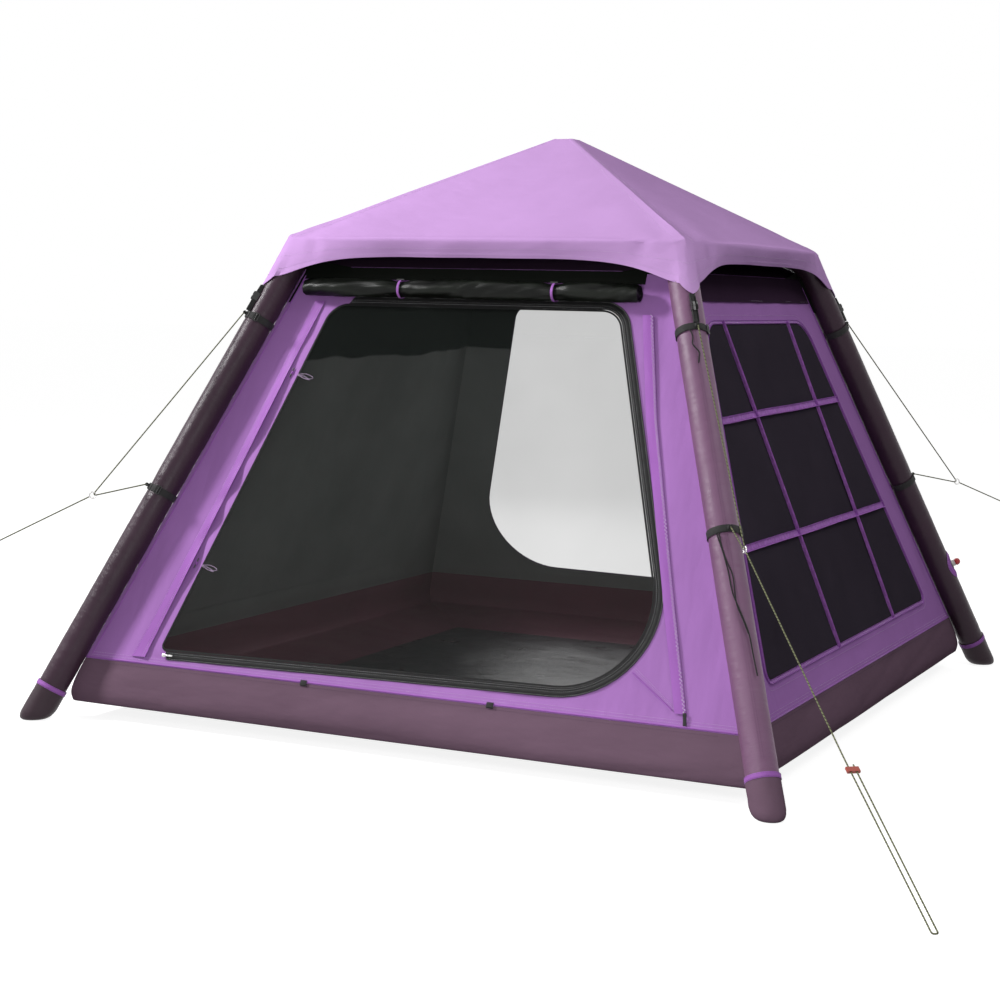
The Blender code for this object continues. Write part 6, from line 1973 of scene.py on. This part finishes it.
class TENT_OT_rolled_doors(bpy.types.Operator):
    """Makes the two rolled outer doors, the rolled mesh and their ties"""

    bl_idname = "tent.rolled_doors"
    bl_label = "Rolled doors"

    def roll(self, name, start, end, out, radius, pitch, cloth, stations, seed, finish, slot, replaces,
             side):
        """A sheet rolled in a spiral between two points; stations give its size along it."""
        turns = (radius - 0.0035) / pitch
        steps = int(turns * 28)
        angle = np.linspace(0, turns * 2 * math.pi, steps + 1)
        reach = radius - pitch * angle / 2 / math.pi
        angle = angle + math.pi
        outer = np.stack([reach * np.cos(angle), reach * np.sin(angle)], axis=1)
        inner = np.stack([(reach - cloth) * np.cos(angle), (reach - cloth) * np.sin(angle)], axis=1)[::-1]
        profile = np.vstack([outer, inner])
        theta = np.concatenate([angle, angle[::-1]])
        length_all = (end - start).length
        along = (end - start).normalized()
        across = along.cross(out)
        count = max(24, int(length_all / 0.009))
        share = np.linspace(0, 1, count + 1)
        size = np.interp(share, [place for place, _ in stations], [value for _, value in stations])
        size = np.convolve(np.pad(size, 2, mode="edge"), np.ones(5) / 5, mode="valid")
        size[[0, -1]] = [stations[0][1], stations[-1][1]]
        x = share[:, None] * length_all
        turn_by = theta[None]
        cosine, sine = np.cos(turn_by), np.sin(turn_by)
        lumps = 1.04 - 0.05 * (0.5 + 0.5 * ripple(cosine * 1.6 + x * 9, sine * 1.6 + x * 5, seed))
        slanting = np.sin(turn_by * 2 + x * 34 + 2.4 * np.sin(x * 11)) ** 2
        lumps = lumps - 0.13 * np.clip(1 - slanting * 3.2, 0, 1) ** 2 * (0.6 + 0.4 * np.sin(x * 23 + 1))
        lumps = lumps - 0.07 * folds(cosine * 1.2 + x * 13, sine * 1.2 + x * 20, seed + 1)
        lumps = 1 - (1 - lumps) * (cosine > -0.7)
        flat = profile[None] * (size[:, None] * lumps)[..., None]
        wall_side = np.array(out)
        centre = np.array(start) + np.array(end - start) * share[:, None]
        centre = centre + wall_side * (radius * size - radius)[:, None]
        grid = centre[:, None] + flat[..., :1] * wall_side + flat[..., 1:] * np.array(across)
        around = travelled(np.vstack([profile, profile[:1]]))
        places = crossed(around, share * length_all)
        shape = Shape()
        base = shape.grid(grid, places, True)
        half = len(outer)
        for row in (0, count):
            first = base + row * 2 * half
            for step in range(half - 1):
                a, b = first + step, first + step + 1
                c, d = first + 2 * half - 2 - step, first + 2 * half - 1 - step
                shape.face((a, b, c, d), [(0, 0), (0.002, 0), (0.002, cloth), (0, cloth)])
        piece = shape.build(name, "tent", [finish], replaces, 50)

    def execute(self, context):
        tent = Tent(context.scene)
        s = tent.sizes
        total = ROLL_ENDS[1] - ROLL_ENDS[0]
        full = 1.14
        stations = [(0, 0.96), (0.012, 1.04), (0.045 / total, full)]
        for tie in ROLL_TIES:
            middle = (tie - ROLL_ENDS[0]) / total
            stations += [(middle - 0.040 / total, full), (middle - 0.009 / total, 0.90),
                         (middle + 0.009 / total, 0.90), (middle + 0.040 / total, full)]
        stations += [(1 - 0.045 / total, full), (0.985, 1.08), (1, 0.98)]
        rolls = ("front", "rolled_door", "door_roll"), ("back", "rolled_back_door", "back_door_roll")
        for side, name, node in rolls:
            slant = ROLL_HEIGHT / tent.side_cosine(side)
            lift = s.roll_radius + FITTING_GAP
            start, end = (Vector(tent.on_wall(side, u, slant, lift)) for u in ROLL_ENDS)
            self.roll(name, start, end, tent.side_normal(side), s.roll_radius, 0.0042, 0.0012, stations, 61,
                      "rolled_cloth", "black_cloth", [node], side)
            for index, tie in enumerate(ROLL_TIES):
                self.tie(tent, side, index, tie)
        hinge = tent.hinge_frame("back")
        up, across = hinge.col[2].to_3d(), hinge.col[0].to_3d()
        base = hinge.translation + across * MESH_ROLL_INSET + tent.side_normal("back") * 0.0183
        start, end = (base + up * (height - hinge.translation.z) / up.z for height in MESH_ROLL_HEIGHTS)
        self.roll("rolled_back_mesh", start, end, tent.side_normal("back"), 0.018, 0.0026, 0.0012,
                  [(0, 0.85), (0.1, 1), (0.9, 1), (1, 0.85)], 77, "dark_cloth", "black_mesh",
                  ["back_mesh_roll"], "back")
        return {"FINISHED"}

    def tie(self, tent, side, index, place):
        """A tie round the roll, with a small bar that holds it."""
        radius = tent.sizes.roll_radius
        out = tent.side_normal(side)
        run = tent.side_run(side)
        slant = ROLL_HEIGHT / tent.side_cosine(side)
        centre = Vector(tent.on_wall(side, place, slant, radius + FITTING_GAP))
        across = run.cross(out)
        turns = np.linspace(0, 2 * math.pi, 40, endpoint=False)
        reach = radius * 0.975 + 0.0012
        centre = centre - out * (radius - reach)
        path = arc(centre, out, across, reach, turns)
        shape = Shape()
        shape.sweep(as_array(path), tape_profile(0.0012, 0.008), np.array(run), closed=True)
        middle = arc(centre, out, across, reach + 0.0028, [-0.9])[0]
        bar = [middle + run * x * 0.001 for x in (-13, -12, 0, 12, 13)]
        shape.sweep(as_array(bar), round_profile(0.0024, 10), finish=1, sizes=(0.6, 1, 1, 1, 0.6))
        label = "tie_" + ("left", "right")[index]
        name, nodes = ("roll_", ["door_" + label]) if side == "front" else ("back_roll_", [])
        shape.build(name + label, "tent", ["trim_webbing", "black_plastic"], nodes)


# Roof fly


class TENT_OT_fly(bpy.types.Operator):
    """Makes the roof fly with its seams and hem"""

    bl_idname = "tent.fly"
    bl_label = "Roof fly"

    def fold_offset(self, tent, side, margin):
        """From a side's eave line to the fly's fold, a margin outside the roof and the wall."""
        first, last = SIDE_ENDS[side]
        eave = tent.sizes.eave_height
        start = tent.leg_point(first, eave)
        roof = (tent.leg_point(last, eave) - start).cross(tent.hub - start).normalized()
        wall = tent.side_normal(side)
        return (roof + wall) * margin / (1 + roof.dot(wall))

    def columns(self, tent, margin):
        """(top, fold, hem) points, and the side and place along it, for columns all round the fly."""
        s = tent.sizes
        eave, tip_height = s.eave_height, s.eave_height - s.fly_tip_drop
        hem_height = eave - s.fly_hem_drop - FLY_HEM_FALL
        made = []
        for number, side in enumerate(SIDES):
            first, last = SIDE_ENDS[side]
            start, end = tent.leg_point(first, eave), tent.leg_point(last, eave)
            fold = self.fold_offset(tent, side, margin)
            normal, run = tent.side_normal(side), tent.side_run(side)
            level = Vector((normal.x, normal.y, 0)).normalized()
            straight = s.fly_flat - FLY_TOP_ROUND
            span = (tent.leg_point(last, tip_height) - tent.leg_point(first, tip_height)).length / 2
            count = 52
            for index in range(1, count):
                place = -math.cos(math.pi * index / count) * 0.35 + (2 * index / count - 1) * 0.65
                high = run * straight * place + level * s.fly_flat
                high.z = s.fly_top
                bow = 1 - abs(place) ** 4
                bend = start.lerp(end, (place + 1) / 2) + fold + level * FLY_FOLD_OUT * bow
                height = hem_height - (hem_height - tip_height) * abs(place) ** 5.6
                height = height + FLY_TIP_POINT * abs(place) ** 18
                flare = margin + (s.fly_flare - FLY_HEM_TUCK) * bow
                low = tent.side_point(side, place * span, height, 0) + normal * flare
                low.z = height
                made.append((high, bend, low, number, place))
            after = SIDES[(number + 1) % 4]
            heading, tip = tent.leg_direction(last), tent.leg_point(last, tip_height)
            centre = Vector((*CORNERS[last], 0)) * straight
            one, other = tent.side_normal(side), tent.side_normal(after)
            near, far = fold, self.fold_offset(tent, after, margin)
            for index in range(9):
                share = index / 8
                around = one.lerp(other, share).normalized()
                low = tip + around * margin
                pointed = tip_height + FLY_TIP_POINT * abs(2 * share - 1) ** 1.3
                low = low + heading * (pointed - low.z) / heading.z
                middle = (near + far).normalized() * margin * 1.125
                turned = near.lerp(middle, share * 2) if share < 0.5 else middle.lerp(far, share * 2 - 1)
                turn = math.pi / 2 * share + math.atan2(one.y, one.x)
                high = centre + FLY_TOP_ROUND * Vector((math.cos(turn), math.sin(turn), 0))
                high.z = s.fly_top
                bend = tent.leg_point(last, eave) + turned
                made.append((high, bend, low, number + share, 1 if share < 0.5 else -1))
        return made

    def execute(self, context):
        tent = Tent(context.scene)
        s = tent.sizes
        margin = s.beam_radius + 0.0009 + s.fly_cloth
        columns = self.columns(tent, margin)
        top, fold, hem = (as_array([column[row] for column in columns]) for row in range(3))
        number = np.array([column[3] for column in columns])
        place = np.array([column[4] for column in columns])
        slope, drop = np.linalg.norm(fold - top, axis=1), np.linalg.norm(hem - fold, axis=1)
        ease_up, ease_down = 0.011 / slope, np.minimum(0.45, 0.011 / drop)
        rows, kinds = [], []
        for share in np.linspace(0, 1, 46):
            rows.append(top + (fold - top) * (share * (1 - ease_up))[:, None])
            kinds.append(share)
        a = top + (fold - top) * (1 - ease_up)[:, None]
        c = fold + (hem - fold) * ease_down[:, None]
        for share in np.linspace(0, 1, 9)[1:]:
            rows.append(a * (1 - share) ** 2 + 2 * fold * share * (1 - share) + c * share ** 2)
            kinds.append(1 + share)
        for share in np.linspace(0, 1, 15)[1:]:
            rows.append(c + (hem - c) * share)
            kinds.append(2 + share)
        grid = np.array(rows)
        kinds = np.array(kinds)[:, None]
        ahead = np.roll(grid, -1, 1) - np.roll(grid, 1, 1)
        normal = unit(np.cross(ahead, np.gradient(grid, axis=0)))
        normal *= np.where((normal * (grid - np.array((0, 0, 1.2)))).sum(-1, keepdims=True) < 0, -1, 1)
        side_index = np.floor(number + 0.5).astype(int) % 4
        runs = np.array([tuple(tent.side_run(SIDES[index])) for index in side_index])
        u = (grid * runs[None]).sum(-1)
        down = np.cumsum(np.linalg.norm(np.diff(grid, axis=0, prepend=grid[:1]), axis=-1), axis=0)
        on_slope = kinds <= 1
        inner_part = np.clip(1 - np.abs(place)[None] ** 2, 0, 1)
        crease = tent.cloth.fly_crease
        lift = -0.0045 * np.where(on_slope, np.sin(np.clip(kinds, 0, 1) * math.pi), 0) * inner_part
        eaves = [np.array(tent.leg_point(corner, s.eave_height)) for corner in CORNERS]
        corner_gap = np.minimum.reduce([np.linalg.norm(grid - eave, axis=-1) for eave in eaves])
        fan = np.arctan2(down - down.max() * 0.9, np.abs(u) - 0.66)
        near = np.exp(-((corner_gap - 0.12) / 0.20) ** 2) * eased(corner_gap / 0.10)
        pleats = 0.5 + 0.5 * np.sin(fan * 15 + side_index[None] * 1.7)
        lift = lift - crease * near * pleats * np.where(kinds < 1.6, 1, 0.3)
        lift = lift - crease * 0.7 * inner_part * folds(u * 5.5, down * 7, 90) * eased(down / 0.3)
        wave = ripple(u * 26 + side_index[None] * 5, down * 4, 95)
        lift = lift + np.clip(kinds - 1.5, 0, 1.5) / 1.5 * inner_part * (0.0038 * wave - 0.001)
        lift = lift + 0.0075 * np.sin(np.clip((kinds - 1) / 2, 0, 1) * math.pi) * (0.25 + 0.75 * inner_part)
        slack = np.exp(-((np.abs(place)[None] - 0.90 + 0.05 * np.clip(kinds - 1, 0, 2)) / 0.030) ** 2)
        lift = lift - 0.0085 * slack * np.sin(np.clip((kinds - 1) / 2, 0, 1) * math.pi)
        rim = np.clip(kinds - 2, 0, 1) * drop[None] * (1 - ease_down)[None]
        edge = (drop * (1 - ease_down))[None] - rim
        lift = lift + np.where((kinds > 2) & (edge < 0.011), 0.0009, 0)
        ridge = np.abs(np.abs(place[None]) - 1) < 1e-6
        lift = lift + np.where(ridge & (kinds < 1.9), 0.0007, 0)
        grid = grid + normal * lift[..., None]
        run_places = np.stack([u, down], axis=-1)
        count = len(columns)
        after = np.roll(run_places, -1, 1)
        next_runs = np.roll(runs, -1, 0)
        same = (runs == next_runs).all(1)
        other_u = (np.roll(grid, -1, 1) * runs[None]).sum(-1)
        after = np.where(same[None, :, None], after, np.stack([other_u, after[..., 1]], axis=-1))
        places = np.stack([run_places[:-1], after[:-1], after[1:], run_places[1:]], axis=2)
        inner = grid - normal * (s.fly_cloth * 0.75)
        shape = Shape()
        base = shape.grid(grid, places, True, 0)
        under = shape.grid(inner, places, True, 1)
        last = (len(grid) - 1) * count
        shape.bridge([base + last + i for i in range(count)], [under + last + i for i in range(count)],
                     True)
        shape.face(range(base, base + count), grid[0, :, :2])
        shape.face(range(under, under + count), grid[0, :, :2], 1)
        piece = shape.build("fly_canopy", "fly", ["fly_cloth", "fly_lining"], ["roof_fly"], 30)
        declare_sheet(np.concatenate([grid, grid[:, :1]], axis=1))
        seams = []
        for back in (4, 9):
            row = grid[len(grid) - back] + normal[len(grid) - back] * 0.0004
            seams.append(np.vstack([row, row[:1]]))
        for index in range(count):
            if ridge[0, index] and not (ridge[0, index - 1] and ridge[0, (index + 1) % count]):
                seams.append((grid + normal * 0.0004)[2:52, index])
        stitches(tent, "fly_stitches", seams, "light_thread", "fly")
        return {"FINISHED"}


# Straps and valve


class TENT_OT_straps(bpy.types.Operator):
    """Makes the leg straps, their loops and tails, and the fly's corner elastics"""

    bl_idname = "tent.straps"
    bl_label = "Straps and elastics"

    def leg_strap(self, tent, corner, level):
        """A strap round a leg, with its overlap, its loop for the line and its buckle."""
        s = tent.sizes
        inner = (s.beam_radius + FITTING_GAP) / math.cos(math.pi / STRAP_STEPS)
        centre, along = tent.leg_point(corner, STRAP_HEIGHTS[level]), tent.leg_direction(corner)
        out = tent.leg_outward(corner)
        across = along.cross(out)
        opening = 0.024 / s.beam_radius
        turns = np.linspace(-math.pi + opening / 2, math.pi - opening / 2, 60)
        path = arc(centre, out, across, inner + 0.0008, turns)
        shape = Shape()
        shape.sweep(as_array(path), tape_profile(0.0015, s.strap_width), np.array(along))
        over = arc(centre, out, across, inner + 0.0024, np.linspace(-0.75, 0.35, 14))
        shape.sweep(as_array(over), tape_profile(0.0012, s.strap_width * 0.86), np.array(along))
        reach = inner + 0.003
        loop = [centre + out * (reach + 0.0062 * math.sin(a)) + across * 0.0060 * math.cos(a)
                for a in np.linspace(-0.1, math.pi + 0.1, 14)]
        shape.sweep(as_array(loop), tape_profile(0.0011, 0.010), np.array(along))
        shape.build("leg_webbing_" + level + "_" + corner, "tent", ["strap_webbing"],
                    ["leg_strap_" + level + "_" + corner])
        buckle = Shape()
        angle = 0.95
        normal = (out * math.cos(angle) + across * math.sin(angle)).normalized()
        place = centre + normal * (inner + 0.0040)
        heading = (across * math.cos(angle) - out * math.sin(angle)).normalized()
        frame_path = []
        for a in np.linspace(0, 2 * math.pi, 28, endpoint=False):
            x, z = math.cos(a), math.sin(a)
            x = math.copysign(abs(x) ** 0.35, x) * 0.0085
            z = math.copysign(abs(z) ** 0.35, z) * 0.0135
            frame_path.append(place + heading * x + along * z)
        buckle.sweep(as_array(frame_path), tape_profile(0.0030, 0.0026), np.array(normal), closed=True)
        bar = [place + along * z for z in (-0.012, 0, 0.012)]
        buckle.sweep(as_array(bar), round_profile(0.0013, 8))
        buckle.build("leg_buckle_" + level + "_" + corner, "tent", ["black_plastic"])

    def lashing(self, tent, corner, level):
        """The knotted cord loop between a strap and its line."""
        eye, out = tent.strap_eye(corner, level), tent.leg_outward(corner)
        along = tent.leg_direction(corner)
        across = along.cross(out)
        shape = Shape()
        for tilt, size in ((0.3, 0.0046), (-0.5, 0.0042), (1.2, 0.0044)):
            first = (along * math.cos(tilt) + across * math.sin(tilt)).normalized()
            path = arc(eye - out * 0.001, first, out, size, np.linspace(0, 2 * math.pi, 20, endpoint=False))
            shape.sweep(as_array(path), round_profile(0.0014, 7), closed=True)
        shape.build("lashing_" + level + "_" + corner, "tent", ["dark_cord"])

    def tail(self, name, start, points, width):
        """A loose tail that hangs beside a leg."""
        route = [start, *[start + Vector(point) for point in points]]
        path = as_array(smooth_points(route, (6,) * (len(route) - 1)))
        piece = swept(name, "dark_webbing", "dark_cord", path, round_profile(width / 2, 8))

    def elastic(self, tent, corner):
        """The elastic from a corner of the fly to the upper leg strap, with its clip."""
        s = tent.sizes
        along, out = tent.leg_direction(corner), tent.leg_outward(corner)
        near = s.beam_radius + FITTING_GAP
        low = tent.leg_point(corner, STRAP_HEIGHTS["upper"]) + along * 0.0108 + out * (near + 0.0046)
        top_height = s.eave_height - s.fly_tip_drop - FITTING_GAP
        high = tent.leg_point(corner, top_height) + out * (near + 0.0022)
        high += along * (top_height - high.z) / along.z
        path = [low.lerp(high, t) + out * 0.0012 * math.sin(t * math.pi) for t in np.linspace(0, 1, 12)]
        swept("corner_elastic_" + corner, "dark_webbing", "strap_webbing", path,
              tape_profile(0.016, 0.0014), np.array(out), replaces=["fly_corner_strap_" + corner])
        middle = low.lerp(high, 0.55) + out * 0.0030
        path = [middle + along * place * 0.001 for place in (-15, -13, -4, 0, 4, 13, 15)]
        swept("corner_clip_" + corner, "dark_webbing", "black_plastic", path,
              tape_profile(0.019, 0.0042, 0.6), np.array(out), sizes=(0.75, 0.95, 1, 0.86, 1, 0.95, 0.75))

    def execute(self, context):
        tent = Tent(context.scene)
        for corner in CORNERS:
            for level in STRAP_HEIGHTS:
                self.leg_strap(tent, corner, level)
                if corner in GUYED:
                    self.lashing(tent, corner, level)
            self.elastic(tent, corner)
        along, out = tent.leg_direction("front_right"), tent.leg_outward("front_right")
        across = along.cross(out)
        for name, (level, turn, lean, drop, sway) in TAILS.items():
            start = None
            points = []
            for share in (0, 0.14, 0.28, 0.43, 0.57, 0.71, 0.86, 1.0):
                bend = turn + lean * share + sway * math.sin(share * 11) * min(1, share * 3)
                radial = out * math.cos(bend) + across * math.sin(bend)
                point = tent.leg_point("front_right", STRAP_HEIGHTS[level])
                point = point + radial * TAIL_REACH - along * (0.012 + drop * share)
                start = start or point
                points.append(point - start)
            self.tail("strap_tail_" + name, start, points[1:], 0.0040)
        return {"FINISHED"}


class TENT_OT_valve(bpy.types.Operator):
    """Makes the valve with its cap and its sewn patch"""

    bl_idname = "tent.valve"
    bl_label = "Valve"

    def execute(self, context):
        tent = Tent(context.scene)
        s = tent.sizes
        made = tent.valve_frame()
        face = s.beam_radius + FITTING_GAP
        body = Shape()
        outer = [(0.0110, s.beam_radius - 0.010), (0.0110, face), (0.0172, face), (0.0180, face + 0.0006),
                 (0.0180, face + 0.0018), (0.0172, face + 0.0025), (0.0128, face + 0.0025),
                 (0.0125, face + 0.0031)]
        for step in range(4):
            start = face + 0.0040 + step * 0.0020
            outer += [(0.0116, start), (0.0124, start + 0.0005), (0.0124, start + 0.0011),
                      (0.0116, start + 0.0016)]
        neck = face + 0.0125
        outer += [(0.0121, neck - 0.0003), (0.0116, neck)]
        inner = [(0.0062, neck), (0.0058, neck - 0.0008), (0.0058, s.beam_radius - 0.0100)]
        count = 48
        body.lathe(made, [*outer, *inner], count)
        body.faces = body.faces[:-2]
        body.places, body.finishes = body.places[:-2], body.finishes[:-2]
        last = (len(outer) + len(inner) - 1) * count
        body.bridge(list(range(count)), [last + index for index in range(count)], True)
        body.build("valve_housing", "tent", ["valve_plastic"], ["valve_body"])
        lid = Shape()
        base = neck + FITTING_GAP
        profile = [(0.60, 0), (0.88, 0.02), (0.93, 0.12), (1.00, 0.20), (1.00, 0.42), (0.97, 0.55),
                   (0.90, 0.68), (0.76, 0.81), (0.55, 0.92), (0.34, 0.98), (0.12, 1.0)]
        lid.lathe(made, [(0.0125 * radius, base + 0.0200 * height) for radius, height in profile], 48)
        turns = np.linspace(0, 2 * math.pi, 18, endpoint=False)
        for turn in turns:
            path = np.array([(0.01245 * math.cos(turn), 0.01245 * math.sin(turn), base + z)
                             for z in (0.0036, 0.0050, 0.0070, 0.0086)])
            lid.sweep(framed(made, path), round_profile(0.0006, 6), sizes=(0.5, 1, 1, 0.5))
        lid.build("valve_lid_cap", "valve_lid", ["lid_plastic"], ["valve_cap"])
        share, around = np.meshgrid(np.linspace(0, 1, 12), np.linspace(0, 2 * math.pi, 120, endpoint=False),
                                    indexing="ij")
        x = (0.0184 + 0.0366 * share) * np.cos(around)
        y = (0.0184 + 0.0236 * share) * np.sin(around)
        lift = 0.0009 + 0.0030 * np.sin(share * math.pi) * (0.5 + 0.5 * np.cos(around * 24))
        turn = y / s.beam_radius
        radius = s.beam_radius + lift
        local = np.stack([x, radius * np.sin(turn), radius * np.cos(turn)], axis=-1)
        grid = framed(made, local)
        sheeted("valve_patch", "purple_cloth", ["trim_cloth"], grid, flat_places(x, y, True), 0.0007,
                np.array(made.col[2].to_3d()), loop=True)
        rows = []
        for long, wide in ((0.0215, 0.0205), (0.0530, 0.0400)):
            turns = np.linspace(0, 2 * math.pi, 60)
            x, y = long * np.cos(turns), wide * np.sin(turns)
            out = s.beam_radius + 0.0016
            local = np.stack([x, out * np.sin(y / s.beam_radius), out * np.cos(y / s.beam_radius)], axis=-1)
            rows.append(framed(made, local))
        stitches(tent, "patch_stitches", rows, "light_thread")
        return {"FINISHED"}


# Stage


class TENT_OT_stage(bpy.types.Operator):
    """Makes the pale floor, the lamps and the pale surroundings"""

    bl_idname = "tent.stage"
    bl_label = "Stage"

    def lamp(self, name, place, aim, size, power):
        data = bpy.data.lights.new(name, "AREA")
        data.energy, data.size = power, size
        lamp = linked(name, data)
        lamp.location = place
        lamp.rotation_euler = (Vector(aim) - Vector(place)).to_track_quat("-Z", "Y").to_euler()

    def seen(self, tree):
        """One where the camera, a reflection or a look through something sees the surface."""
        path = tree.nodes.new("ShaderNodeLightPath")
        total = path.outputs["Is Camera Ray"]
        for label in ("Is Glossy Ray", "Is Transmission Ray"):
            most = tree.nodes.new("ShaderNodeMath")
            most.operation = "MAXIMUM"
            tree.links.new(total, most.inputs[0])
            tree.links.new(path.outputs[label], most.inputs[1])
            total = most.outputs[0]
        return total

    def execute(self, context):
        material = bpy.data.materials.new("pale_floor")
        material.use_nodes = True
        tree = material.node_tree
        tree.nodes.clear()
        diffuse, glow = tree.nodes.new("ShaderNodeBsdfDiffuse"), tree.nodes.new("ShaderNodeEmission")
        seen = self.seen(tree)
        tone = tree.nodes.new("ShaderNodeMix")
        tone.data_type = "RGBA"
        tone.inputs[6].default_value, tone.inputs[7].default_value = FLOOR_TONES
        tree.links.new(seen, tone.inputs[0])
        tree.links.new(tone.outputs[2], diffuse.inputs["Color"])
        both, result = tree.nodes.new("ShaderNodeAddShader"), tree.nodes.new("ShaderNodeOutputMaterial")
        level = tree.nodes.new("ShaderNodeMath")
        level.operation = "MULTIPLY"
        level.inputs[1].default_value = FLOOR_GLOW
        tree.links.new(seen, level.inputs[0])
        tree.links.new(level.outputs[0], glow.inputs["Strength"])
        tree.links.new(diffuse.outputs[0], both.inputs[0])
        tree.links.new(glow.outputs[0], both.inputs[1])
        tree.links.new(both.outputs[0], result.inputs["Surface"])
        mesh = bpy.data.meshes.new("studio_floor")
        corners = [(x * FLOOR_SIZE, y * FLOOR_SIZE, FLOOR_HEIGHT)
                   for x, y in ((-1, -1), (1, -1), (1, 1), (-1, 1))]
        mesh.from_pydata(corners, [], [(0, 1, 2, 3)])
        mesh.materials.append(material)
        linked("studio_floor", mesh)
        world = bpy.data.worlds.new("pale_surroundings")
        context.scene.world = world
        world.use_nodes = True
        tree = world.node_tree
        back = tree.nodes["Background"]
        back.inputs["Color"].default_value = (1, 1, 1, 1)
        spread = tree.nodes.new("ShaderNodeMapRange")
        spread.inputs[3].default_value, spread.inputs[4].default_value = SURROUNDING_LIGHT, 1.0
        tree.links.new(self.seen(tree), spread.inputs[0])
        tree.links.new(spread.outputs[0], back.inputs["Strength"])
        for name, values in LAMPS.items():
            self.lamp(name, *values)
        context.scene.view_settings.view_transform = "Standard"
        return {"FINISHED"}


# Sidebar and start


OPERATORS = (
    TENT_OT_camera, TENT_OT_guy_lines, TENT_OT_air_beams, TENT_OT_walls, TENT_OT_floor, TENT_OT_inner_roof,
    TENT_OT_doors, TENT_OT_windows, TENT_OT_trim, TENT_OT_rolled_doors, TENT_OT_fly, TENT_OT_straps,
    TENT_OT_valve, TENT_OT_stage,
)


class TENT_PT_panel(bpy.types.Panel):
    """Lists the tent's pieces, sizes and colours"""

    bl_idname = "TENT_PT_panel"
    bl_label = "Inflatable tent"
    bl_space_type = "VIEW_3D"
    bl_region_type = "UI"
    bl_category = "Tent"

    def draw(self, context):
        for operator in OPERATORS:
            self.layout.operator(operator.bl_idname)
        for label, group in (("Sizes", "tent_sizes"), ("Cloth", "tent_cloth"), ("Colours", "tent_colours")):
            box = self.layout.box()
            box.label(text=label)
            settings = getattr(context.scene, group)
            for name in type(settings).__annotations__:
                box.prop(settings, name)


GROUPS = {"tent_sizes": TentSizes, "tent_cloth": TentCloth, "tent_colours": TentColours}


def register():
    for item in (*GROUPS.values(), *OPERATORS, TENT_PT_panel):
        bpy.utils.register_class(item)
    for name, group in GROUPS.items():
        setattr(bpy.types.Scene, name, PointerProperty(type=group))


def unregister():
    for name in GROUPS:
        delattr(bpy.types.Scene, name)
    for item in reversed((*GROUPS.values(), *OPERATORS, TENT_PT_panel)):
        bpy.utils.unregister_class(item)


def main():
    register()
    make_finishes(bpy.context.scene)
    for operator in OPERATORS:
        group, name = operator.bl_idname.split(".")
        getattr(getattr(bpy.ops, group), name)()


if __name__ == "__main__":
    main()
